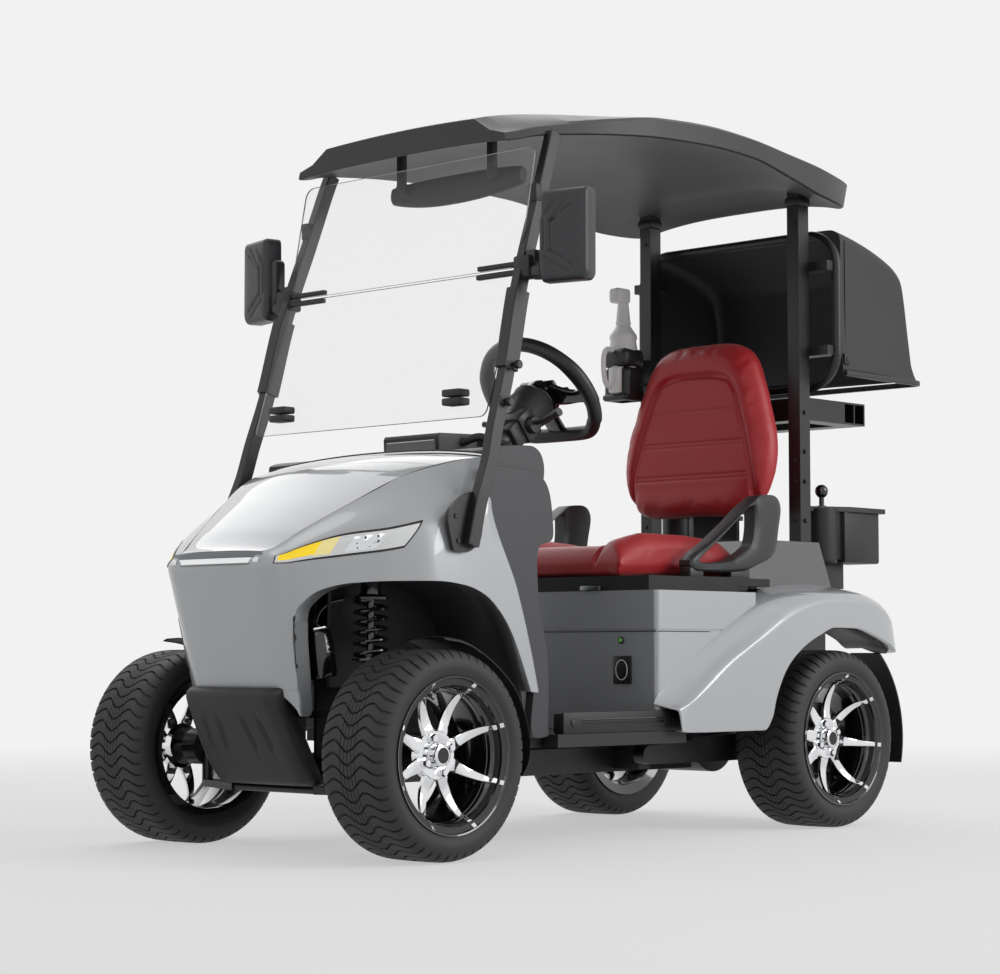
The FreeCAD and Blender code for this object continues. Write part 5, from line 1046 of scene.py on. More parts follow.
        # The dark liner: partly a real arch liner, partly painted shade inside the arch
        arch = lips[-1][self.arch_start:]
        arch = arch[arch[:, 1] > -70][::3]
        inner = arch * (0, 1, 1) + (self.liner_inner, 0, 0)
        deep = np.stack([arch, arch * (0.75, 1, 1) + (40, 0, 2), inner + (0, 0, 4)])
        wall = np.stack([deep[-1], np.minimum(inner, (np.inf, np.inf, 372))])
        liner = sheet_form(deep) + sheet_form(wall)
        lining_and_shade = liner.both().build("arch_liners_and_shade", [TRIM], 35, (0, 0, 1), False)
        thicken(lining_and_shade, 2.0, 1)
        seat_piece(lining_and_shade, "chassis", "black_plastic")

    def returns(self) -> None:
        """The walls behind the nose's outer edges, with the nose's pointed end before each of them.

        A level loop at each height makes the wall. The pointed end is the nose's own slant carried on down,
        between an inner edge that runs outwards and the wall.
        """
        rows = through(np.array(self.return_rows, float), 25, ease=1.0)
        height, outer, front, rear = (rows[:, axis, None] for axis in range(4))
        corner = rounded_rectangle(2.0, 2.0, 0.45, 3)
        loops = np.stack([outer - self.wall + corner[None, :, 0] * self.wall,
                          (front + rear) / 2 + corner[None, :, 1] * (rear - front) / 2,
                          np.broadcast_to(height, (len(rows), len(corner)))], -1)
        low = through(np.array(self.horn_rows, float), 13, ease=1.0)
        height, inner, outer = (low[:, axis, None] for axis in range(3))
        x = inner + (outer - inner) * np.array([0, 0.5, 1, 1, 0.5, 0])[None]
        slant = -190 + (x - 138) * 0.545 + (362 - height) * 0.2
        deep = np.array([0, 0, 0, 6.0, 6.0, 6.0])[None]
        horn = tube_form(np.stack([x, slant + deep, np.broadcast_to(height, x.shape)], -1), 1)
        # The walls take the lip paint, darkened as painted shade from the wheel arch; the pointed ends keep the
        # silver
        (tube_form(loops) + horn).both().fit("nose_returns", [LIP_PAINT_SHADED, SILVER], 30, "silver_paint")

    @staticmethod
    def patch(skin: Skin, corners: Sequence, spread: Sequence, proud: float, deep: float,
              finish: int = 0) -> Form:
        """A closed shell over a four-sided part of the flank.

        Args:
            skin: the flank's patch.
            corners: upper edge points, then lower edge points, from front to rear.
            spread: how far the patch is inset, as shares of its length and height.
            proud: how far its face stands off the flank.
            deep: its thickness.
            finish: the finish number.

        Returns:
            The form.
        """
        upper, lower = [np.stack(skin.spot(one), -1) for one in corners]
        upper, lower = through(upper, 41, ease=1.0), through(lower, 41, ease=1.0)
        along = np.linspace(spread[0], 1 - spread[0], 41)
        high, base = [np.stack([np.interp(along, np.linspace(0, 1, 41), line[:, axis]) for axis in (0, 1)], -1)
                      for line in (upper, lower)]
        part = np.linspace(spread[1], 1 - spread[1], 9)[:, None, None]
        shares = high[None] * (1 - part) + base[None] * part
        outer = skin.at(shares[..., 0], shares[..., 1], proud)
        inner = skin.at(shares[..., 0], shares[..., 1], proud - deep)
        edges = sheet_form(np.stack([border(outer), border(inner)]), False, True, finish)
        return sheet_form(outer, finish=finish) + sheet_form(inner, finish=finish) + edges

    def headlight(self, skin: Skin) -> None:
        """The slim lamp: a dark frame, an amber inner part, a white part and bright facets near its tip."""
        corners = (self.lamp_upper, self.lamp_lower)
        rim = self.patch(skin, corners, (0.0, 0.0), 1.2, 8, 0)
        lens = self.patch(skin, corners, (0.014, 0.1), 2.0, 6, 1)
        row, column = np.divmod(np.arange(320), 40)
        kind = np.ones(320, int)
        kind[(column > 0) & (column < 15) & (row < 6)] = 2
        kind[(column > 14) & (column < 20) & (row < 7)] = 3
        kind[(column > 23) & (column < 32) & (row > 0) & (row < 7)] = 4
        lens.finishes[:320] = kind.tolist()
        facet = np.zeros((9, 41, 1))
        facet[2:7, 25:32, 0] = 1.6 * np.sin(np.arange(7) * 2.3)[None] * np.cos(np.arange(5) * 1.4)[:, None]
        lens.points[:369] += (facet * (0.62, -0.76, 0.2)).reshape(-1, 3)
        (rim + lens).both().fit("headlight_lenses", [TRIM, WHITE_LENS, AMBER, PALE_AMBER, REFLECTOR], 20,
                                "lamp_clear", "headlights")

    def bumper(self) -> None:
        """The pad under the nose: a leaning face with round corners and shallow slanted grooves.

        Each groove is a narrow bell-shaped dent along a leaning line.
        """
        rows = np.array([(372, 138, -168, 0), (372, 147, -205, 0), (366, 151, -220, 0), (356, 152, -226, 0),
                         (340, 153, -222, 0), (312, 155, -208, 0.2), (290, 157, -197, 1), (250, 160, -176, 1),
                         (226, 160, -163, 0.2), (200, 160, -148, 0), (172, 156, -130, 0), (160, 150, -120, 0),
                         (155, 140, -108, 0), (155, 130, -75, 0)])
        rows = through(rows, 46, ease=0.8, firm=True)
        turn = np.linspace(0, math.pi / 2, 9)
        flat = np.linspace(-1, 1, 141)
        radius = 34.0
        loops = []
        for height, half, front, deep in rows:
            corner = np.stack([half - radius + radius * np.cos(turn), front + radius - radius * np.sin(turn)], -1)
            right = np.concatenate([[(half - 6, front + 62)], corner[:-1]])
            across = -flat * (half - radius)
            lines = np.array([44, 92]) * (half / 150) - (height - 260) * 0.12
            dent = np.exp(-((np.abs(across)[:, None] - lines[None]) / 6.0) ** 2).sum(1) * 6.0 * deep
            face = np.stack([across, front - 5 * (1 - flat ** 2) + dent], -1)
            left = right[::-1] * (-1, 1)
            plan = np.concatenate([right, face, left])
            loops.append(np.concatenate([plan, np.full((len(plan), 1), height)], 1))
        tube_form(np.array(loops)).fit("bumper_pad", [TRIM], 34, "black_plastic", "front_bumper")

    def light_bar(self) -> None:
        """A white strip between dark lines, with a clear facet at each end."""
        def band(low: float, high: float, proud: float, reach: float, finish: int) -> Form:
            """One strip along the nose's plan curve, as a closed section swept over its width."""
            side = np.linspace(-1, 1, 41) * reach
            front = -258.5 + 14.0 * np.abs(side / 146) ** 3.2
            path = np.stack([side, front, np.full(41, (low + high) / 2)], -1)
            return swept(path, rounded_rectangle(2 * proud + 4, high - low, 0.6, 2), finish=finish)

        whole = (band(656.5, 668.5, 1.2, 146, 0) + band(643.5, 655.5, 1.6, 128, 1)
                 + band(639.8, 643.0, 2.4, 148, 0) + band(655.4, 656.8, 2.4, 146, 0))
        whole += pillow_block((130, -258.6, 643.6), (147, -243, 655.4), 1.5, 2, 2).both()
        whole.fit("light_bar_lens", [GREY_TRIM, WHITE_STRIP, REFLECTOR], 40, "lamp_white", "light_bar")

    def build(self) -> None:
        """Builds the front body."""
        skin = Skin(self.columns)
        self.hood()
        self.flanks(skin)
        self.headlight(skin)
        self.bumper()
        self.light_bar()


# Roof

@dataclass
class Roof:
    """A thin arched shell with a side band, a flat dark front face and a slanted rear end.

    Each row holds the place along the cart, the lower edge, the band's top, the shoulder and the ridge as
    half width and height, the crown's height, the underside's hollow and how far the end slants back.
    """

    rows: tuple = (
        (306, 355, 1625, 350, 1644, 304, 1657, 253, 1690, 1696, 10, 0),
        (312, 356, 1625.5, 351, 1645, 305, 1658, 253, 1692, 1699, 12, 0),
        (340, 361, 1631, 356, 1652, 314, 1666, 256, 1700, 1707, 24, 0),
        (400, 372, 1647, 367, 1669, 338, 1686, 263, 1713, 1721, 34, 0),
        (502, 388, 1663, 382, 1689, 372, 1698, 273, 1729, 1738, 46, 0),
        (650, 410, 1681, 404, 1717, 397, 1724, 285, 1748, 1758, 56, 0),
        (795, 426, 1693, 419, 1739, 411, 1746, 295, 1763, 1771, 60, 0),
        (1000, 432, 1700, 425, 1748, 416, 1755, 300, 1770, 1777.5, 62, 0),
        (1137, 428, 1697, 420, 1746, 411, 1752, 296, 1768, 1777, 62, 0),
        (1349, 411, 1668, 400, 1734, 391, 1740, 280, 1757, 1766, 64, 0),
        (1490, 400, 1645, 386, 1724, 377, 1730, 265, 1746, 1755, 62, 4),
        (1570, 384, 1641, 367, 1718, 358, 1723, 256, 1737, 1746, 50, 24),
        (1610, 368, 1640, 352, 1714, 343, 1719, 250, 1732, 1741, 40, 46),
        (1630, 355, 1641, 338, 1711, 330, 1716, 245, 1728, 1737, 33, 62),
        (1637, 338, 1644, 320, 1707, 312, 1712, 238, 1724, 1732, 30, 70))
    hollow_samples: int = 37

    def build(self) -> None:
        """The shell: one closed loop for each row, hollow underneath as one minus a power of the share."""
        rows = through(np.array(self.rows, float), 110, ease=0.8, firm=True)
        share = np.sin(np.linspace(-1, 1, self.hollow_samples) * math.pi / 2)
        loops = []
        for place, half, low, band, band_high, wide, wide_high, ridge, ridge_high, peak, hollow, slant in rows:
            turn = ridge * (1 - np.linspace(0, 1, 16))
            arch = ridge_high + (peak - ridge_high) * (1 - (turn / ridge) ** 2)
            top = np.concatenate([[(wide, wide_high)], np.stack([turn, arch], -1)])
            side = np.concatenate([[(half, low + 3), (band, band_high)], top])
            ring = np.concatenate([side, side[-2::-1] * (-1, 1)])
            under = np.stack([share * (half - 7), low + hollow * (1 - np.abs(share) ** 3)], -1)
            ring = np.concatenate([ring, under])
            back = place + slant * np.clip((ring[:, 1] - low) / (peak - low), 0, 1)
            loops.append(np.stack([ring[:, 0], back, ring[:, 1]], -1))
        shell = tube_form(np.array(loops))
        size = len(loops[0])
        outside = size - self.hollow_samples
        # The underside's faces take the lighter finish: painted light bounced up from the floor
        shell.finishes = [int(min(point % size for point in face) >= outside and len(face) == 4)
                          for face in shell.faces]
        roof = shell.build("roof_shell", [CHARCOAL, ROOF_UNDERSIDE_LIT], 24)
        round_edges(roof, 1.6, 2, 30)
        seat_piece(roof, "chassis", "charcoal_plastic", "roof")


@dataclass
class Windscreen:
    """Two clear panes with bright cut edges, the channels between them and their clip blocks."""

    half: float = 392.0
    lower: tuple = ((203, 977), (313, 1321))
    upper: tuple = ((315, 1327), (372, 1616))
    thick: float = 4.0

    def pane(self, ends: tuple, radius: float) -> Form:
        """One pane as a prism with round corners: two face caps and a bright rim."""
        (low_back, low), (high_back, high) = ends
        tall = math.hypot(high_back - low_back, high - low)
        rise = np.array((0, high_back - low_back, high - low)) / tall
        out = np.array((0, -rise[2], rise[1]))
        middle = np.array((0, (low_back + high_back) / 2, (low + high) / 2))
        ring = rounded_rectangle(self.half * 2, tall, radius, 6)
        face = middle + ring[:, :1] * np.array((1.0, 0, 0)) + ring[:, 1:] * rise
        pane = tube_form(np.stack([face, face + out * self.thick]), 1)
        pane.finishes[-2:] = [0, 0]
        return pane

    def build(self) -> None:
        """Builds the panes and what holds them."""
        glass = self.pane(self.lower, 18) + self.pane(self.upper, 26)
        glass.fit("clear_panes", [ACRYLIC, ACRYLIC_EDGE], 30, "clear_glass", "windscreen")
        holds = blocks(((262, 303, 1309), (394, 317, 1320), 2, 2), ((262, 307, 1330), (394, 321, 1341), 2, 2),
                       ((268, 184, 1008), (324, 222, 1025), 4, 3), ((268, 184, 1028), (324, 222, 1045), 4, 3),
                       ((376, 358, 1486), (402, 380, 1528), 4, 3), ((398, 218, 1004), (424, 240, 1024), 4, 3),
                       ((398, 238, 1086), (424, 260, 1106), 4, 3), ((382, 300, 1300), (432, 344, 1352), 6, 3))
        holds.both().fit("glass_clips", [TRIM], 35, "black_plastic")


# Rear body

@dataclass
class RearFender:
    """The flared fender: a bevel sweeps up from the seat box's side to its face over the wheel."""

    side: Side
    net: tuple = (
        ((398, 776, 326), (403, 781, 324), (424, 798, 318), (446, 812, 310), (450, 822, 262)),
        ((398, 788, 345), (403, 794, 341), (426, 828, 334), (449, 856, 328), (450, 846, 259)),
        ((398, 852, 390), (404, 858, 385), (427, 886, 372), (451, 920, 364), (452, 950, 258)),
        ((398, 930, 446), (405, 938, 441), (428, 974, 430), (452, 1014, 423), (453, 1080, 258)),
        ((398, 1021, 496), (406, 1030, 492), (429, 1070, 482), (453, 1114, 474), (454, 1140, 258)),
        ((396, 1093, 534), (408, 1105, 531), (431, 1142, 521), (454, 1183, 507), (454, 1172, 288)),
        ((390, 1143, 560), (409, 1155, 556), (432, 1191, 545), (454, 1229, 529), (454, 1190, 338)),
        ((376, 1182, 582), (410, 1198, 574), (434, 1236, 565), (454, 1275, 548), (454, 1232, 407)),
        ((356, 1230, 602), (410, 1266, 594), (436, 1301, 583), (454, 1337, 566), (454, 1294, 457)),
        ((340, 1297, 616), (408, 1337, 606), (436, 1364, 594), (454, 1394, 576), (454, 1371, 493)),
        ((330, 1390, 626), (406, 1420, 612), (436, 1436, 600), (454, 1452, 581), (454, 1447, 515)),
        ((326, 1500, 630), (404, 1506, 614), (436, 1514, 601), (454, 1522, 581), (454, 1535, 514)),
        ((322, 1585, 626), (402, 1586, 611), (434, 1594, 598), (453, 1602, 574), (453, 1626, 494)),
        ((314, 1645, 614), (398, 1646, 601), (430, 1656, 586), (450, 1664, 556), (450, 1692, 472)),
        ((300, 1692, 596), (388, 1694, 583), (420, 1704, 566), (440, 1716, 528), (440, 1733, 454)),
        ((280, 1716, 578), (366, 1722, 562), (398, 1732, 545), (416, 1742, 508), (416, 1756, 450)),
        ((250, 1724, 572), (336, 1732, 556), (362, 1742, 540), (376, 1752, 504), (376, 1764, 450)))
    wall: float = 3.0
    lip_turn: float = 24.0
    liner_start: int = 52
    liner_inner: float = 278.0

    def build(self) -> None:
        """The fender's skin with its lower edge turned inwards and its back black as painted shade, and the dark
        liner from there over the wheel, partly a real liner and partly painted shade.
        """
        skin = Skin(self.net, (45, 141))
        grid = skin.grid
        flat = unit(skin.normals[-1] * (1, 1, 0))
        into = unit(grid[-1] - grid[-4])
        lips = np.stack([grid[-1] - flat * 1.2 + into * 1.4, grid[-1] - flat * 3 + into * 1.8,
                         grid[-1] - flat * self.lip_turn + into * 1.8])
        form = sheet_form(np.concatenate([grid, lips])).on(self.side)
        fender = form.build(f"fender_skin_rear_{self.side.name.lower()}", [SILVER, TRIM], 30,
                            (self.side.value, 0, 0), False)
        # The sheet's back takes the black trim finish: its silver inner side painted dark as painted shade
        thicken(fender, self.wall, -1, 1)
        seat_piece(fender, "chassis", "silver_paint", "rear_fenders")
        # The dark liner: partly a real liner, partly painted shade under the fender
        edge = lips[-1][self.liner_start:]
        inner = edge * (0, 1, 1) + (self.liner_inner, 0, 14)
        form = sheet_form(np.stack([edge, (edge + inner) * 0.5 + (0, 0, 8), inner])).on(self.side)
        liner = form.build(f"fender_liner_rear_{self.side.name.lower()}", [TRIM], 35, (0, 0, 1), False)
        thicken(liner, 2.0, -1)
        seat_piece(liner, "chassis", "black_plastic")


# Seat

def distance_to_path(points: Array, path: Array) -> Array:
    """The distance from each point to the nearest piece of a path, in a plane.

    Args:
        points: places (n, 2).
        path: corners of the path (m, 2).

    Returns:
        Distances (n,).
    """
    start, step = path[:-1], np.diff(path, axis=0)
    away = points[:, None] - start[None]
    share = np.clip((away * step[None]).sum(-1) / np.maximum((step ** 2).sum(-1), 1e-9)[None], 0, 1)
    return np.linalg.norm(away - share[..., None] * step[None], axis=-1).min(1)


@dataclass
class Upholstery:
    """Turns a closed form into stuffed leatherette: remeshed, blown up by pressure, then sewn."""

    name: str
    node: str
    cap_mm: float = 22.0
    voxel_mm: float = 6.0
    pressure: float = 4.0
    seams: tuple = ()
    planes: tuple = (0, 2)
    facing: tuple = (0, -1, 0)
    hollow: tuple = ()

    def remeshed(self, form: Form) -> bpy.types.Object:
        """The form as an even net of voxel size."""
        # The second slot is the seam red, darkened as painted shade in the folds
        piece = form.build(self.name, [RED, RED_SEAM_SHADED], 180)
        grid = piece.modifiers.new("net", "REMESH")
        grid.mode = "VOXEL"
        grid.voxel_size = self.voxel_mm * MILLIMETRE
        grid.use_smooth_shade = True
        self.settle(piece)
        return piece

    @staticmethod
    def settle(piece: bpy.types.Object) -> None:
        """Makes the modified mesh the piece's own and drops its modifiers."""
        graph = bpy.context.evaluated_depsgraph_get()
        mesh = bpy.data.meshes.new_from_object(piece.evaluated_get(graph), depsgraph=graph)
        old = piece.data
        piece.modifiers.clear()
        piece.data = mesh
        bpy.data.meshes.remove(old)

    def inflate(self, piece: bpy.types.Object) -> None:
        """Blows the pad up with the cloth solver and caps how far each point moves."""
        start = self.places(piece)
        cloth = piece.modifiers.new("cloth", "CLOTH")
        cloth.settings.use_pressure = True
        cloth.settings.uniform_pressure_force = self.pressure
        cloth.settings.effector_weights.gravity = 0
        cloth.settings.quality = 4
        scene = bpy.context.scene
        for number in range(1, 21):
            scene.frame_set(number)
        self.settle(piece)
        scene.frame_set(1)
        moved = self.places(piece) - start
        far = np.linalg.norm(moved, axis=1, keepdims=True)
        cap = self.cap_mm * MILLIMETRE
        self.place(piece, start + moved * np.tanh(far / cap) * cap / np.maximum(far, 1e-9))

    @staticmethod
    def places(piece: bpy.types.Object) -> Array:
        """The mesh's points."""
        flat = np.empty(len(piece.data.vertices) * 3)
        piece.data.vertices.foreach_get("co", flat)
        return flat.reshape(-1, 3)

    @staticmethod
    def place(piece: bpy.types.Object, points: Array) -> None:
        """Sets the mesh's points."""
        piece.data.vertices.foreach_set("co", points.reshape(-1))
        piece.data.update()

    def sew(self, piece: bpy.types.Object) -> None:
        """Sinks the seams and the panel.

        Each point moves in by a bell of its distance to the seam's line, more where its normal faces the
        seam's side. Inside the hollow's half widths the surface sinks evenly.
        """
        points = self.places(piece)
        normals = np.empty(len(points) * 3)
        piece.data.vertices.foreach_get("normal", normals)
        normals = normals.reshape(-1, 3)
        flat = (points / MILLIMETRE - (0, FRONT_AXLE_Y / MILLIMETRE, 0))[:, self.planes]
        front = np.clip((normals * self.facing).sum(1) * 2.2, 0, 1)
        sink = np.zeros(len(points))
        for path, deep, wide in self.seams:
            away = distance_to_path(flat, np.array(path, float))
            sink = np.maximum(sink, deep * np.exp(-(away / wide) ** 2))
        if self.hollow:
            half, height = np.array(self.hollow, float).T
            inside = np.interp(flat[:, 1], height, half, right=-20) - np.abs(flat[:, 0])
            low = np.clip((flat[:, 1] - height[0] + 30) / 50, 0, 1)
            sink += 7 * np.clip(inside / 16, 0, 1) * low
        self.place(piece, points - normals * (sink * front * MILLIMETRE)[:, None])

    def make(self, form: Form) -> None:
        """Builds the pad from the closed form that it swells from."""
        piece = self.remeshed(form)
        self.inflate(piece)
        smooth = piece.modifiers.new("even", "SMOOTH")
        smooth.factor, smooth.iterations = 0.5, 6
        subdivision = piece.modifiers.new("finer", "SUBSURF")
        subdivision.levels = subdivision.render_levels = 1
        self.settle(piece)
        self.sew(piece)
        piece.data.shade_smooth()
        seat_piece(piece, "chassis", "red_leather", self.node)


@dataclass
class Seat:
    """Cushion with side bolsters and a waisted back with a sunk, quilted panel; looped armrests."""

    half: float = 292.0
    back_outline: tuple = ((0, 806), (130, 807), (192, 820), (222, 848), (243, 882), (257, 930), (260, 978),
                           (255, 1030), (238, 1091), (219, 1150), (196, 1208), (178, 1244), (152, 1272),
                           (112, 1290), (56, 1297), (0, 1298))
    panel: tuple = ((210, 872), (207, 912), (184, 1010), (152, 1107), (134, 1156), (106, 1188), (54, 1200),
                    (0, 1201))
    lean: float = 0.10
    rest_outer: tuple = ((981, 672), (990, 684), (1060, 722), (1150, 778), (1247, 842), (1265, 851), (1319, 855),
                         (1346, 846), (1358, 820), (1348, 770), (1335, 714), (1314, 694), (1260, 674),
                         (1199, 656), (1100, 650), (1006, 650), (986, 660))
    rest_inner: tuple = ((1014, 679), (1045, 697), (1102, 735), (1160, 776), (1222, 820), (1247, 822),
                         (1247, 780), (1236, 727), (1211, 708), (1170, 690), (1136, 679), (1034, 673))

    def cushion(self) -> None:
        """The cushion: a slab with raised side bolsters whose front corners and edges are rolled.

        Its height over the tray is the middle's crown plus a bolster term that rises with the share
        across to a high power; the sides pull in between the corners.
        """
        across = np.sin(np.linspace(-1, 1, 45) * math.pi / 2)
        along = np.sin(np.linspace(-1, 1, 41) * math.pi / 2)
        one, two = np.meshgrid(across, along)
        back = 1019 + 232 * two
        bolster = np.clip((np.abs(one) - 0.60) / 0.22, 0, 1)
        bolster = bolster ** 2 * (3 - 2 * bolster)
        rise = np.clip((back - 790) / 130, 0, 1) ** 0.6
        top = 700 + 6 * (1 - one ** 2) + 48 * bolster * rise * (1 - 0.25 * np.clip((back - 1080) / 180, 0, 1))
        edge = np.maximum(np.abs(one) ** 9, np.abs(two) ** 14)
        top = top - (top - 676) * edge * 0.85
        wide = self.half - 6 * (1 - two ** 2)
        upper = np.stack([one * wide, back - 4 * two * (1 - one ** 2), top], -1)
        lower = np.stack([one * (wide - 6), back, np.full_like(top, 641.0)], -1)
        middle = np.stack([one * (wide + 3), back + 4 * two, np.full_like(top, 664.0)], -1)
        form = sheet_form(upper) + sheet_form(lower)
        form += sheet_form(np.stack([border(one) for one in (upper, middle, lower)]), False, True)
        sides = [((side * 196, 780), (side * 190, 900), (side * 176, 1100), (side * 168, 1260))
                 for side in (-1, 1)]
        seams = tuple((tuple(path), 7, 6) for path in sides)
        rows = tuple((((-172, back), (172, back)), 3.5, 4) for back in (905, 917, 1010, 1022, 1115, 1127))
        Upholstery("cushion_pad", "seat_cushion", 10, 6, 4, seams + rows, (0, 1), (0, 0, 1)).make(form)

    def back(self) -> None:
        """The back: the outline's loops shrink towards front and rear, and the panel in front is sunk."""
        half = through(self.back_outline, 61, ease=0.8)
        ring = np.concatenate([half, half[-2:0:-1] * (-1, 1)])
        middle = np.array([0, 1030])
        levels = []
        for place, size in ((1401, 0.76), (1402, 0.84), (1406, 0.91), (1414, 0.96), (1426, 0.99), (1440, 1.0),
                            (1455, 0.995), (1466, 0.97), (1474, 0.93), (1477, 0.86), (1478, 0.6)):
            shrunk = middle + (ring - middle) * size
            back = (shrunk[:, 1] - 806) * self.lean
            levels.append(np.stack([shrunk[:, 0], place + back, shrunk[:, 1]], -1))
        loops = np.array(levels)
        panel = np.array(self.panel, float)
        line = np.concatenate([panel * (-1, 1), panel[::-1]])
        line = np.concatenate([line[:1] + (0, -26), line, line[-1:] + (0, -26)])
        line = through(line, 60, ease=0.8)
        form = tube_form(loops)
        seams = [(tuple(map(tuple, line)), 13, 8)]
        for height, gap in ((1104, 0), (1012, 10), (922, 10)):
            wide = float(np.interp(height, panel[:, 1], panel[:, 0])) + 2
            for rise in sorted({-gap / 2, gap / 2}):
                seams.append((((-wide, height + rise), (wide, height + rise)), 3.6, 3.4))
        Upholstery("back_pad", "seat_back", 10, 6, 4, tuple(seams), hollow=tuple(map(tuple, panel))).make(form)

    def armrest(self) -> None:
        """The loop: outer and inner outline, sampled by the angle about its middle, with rolled edges."""
        centre = np.array([1195.0, 735.0])
        turn = np.linspace(-math.pi, math.pi, 120, endpoint=False)
        rings = []
        for outline in (self.rest_outer, self.rest_inner):
            dense = through(outline, 400, closed=True, ease=0.8, firm=True)
            away = dense - centre
            angle = np.arctan2(away[:, 1], away[:, 0])
            order = np.argsort(angle)
            reach = np.interp(turn, angle[order], np.linalg.norm(away, axis=1)[order], period=2 * math.pi)
            rings.append(centre + reach[:, None] * np.stack([np.cos(turn), np.sin(turn)], -1))
        outer, inner = rings
        loops = []
        for across, ring, share in ((306, outer, 0.22), (304, outer, 0.45), (304, inner, 0.42), (306, inner, 0.2),
                                    (310, inner, 0.0), (344, inner, 0.0), (348, inner, 0.2), (350, inner, 0.42),
                                    (350, outer, 0.45), (348, outer, 0.22), (344, outer, 0.0),
                                    (310, outer, 0.0)):
            mix = ring + (outer + inner - 2 * ring) * share * 0.5
            loops.append(np.stack([np.full(len(mix), float(across)), mix[:, 0], mix[:, 1]], -1))
        loop = sheet_form(np.array(loops), True, True)
        foot = blocks(((306, 984, 622), (346, 1040, 668), 8, 3), ((308, 1150, 622), (344, 1230, 668), 8, 3),
                      ((300, 1010, 600), (352, 1210, 640), 8, 3))
        (loop + foot).both().fit("armrest_loops", [SATIN_BLACK], 32, "black_plastic", "armrests")

    def build(self) -> None:
        """Builds the seat."""
        self.cushion()
        self.back()
        self.armrest()


# Controls and mirrors

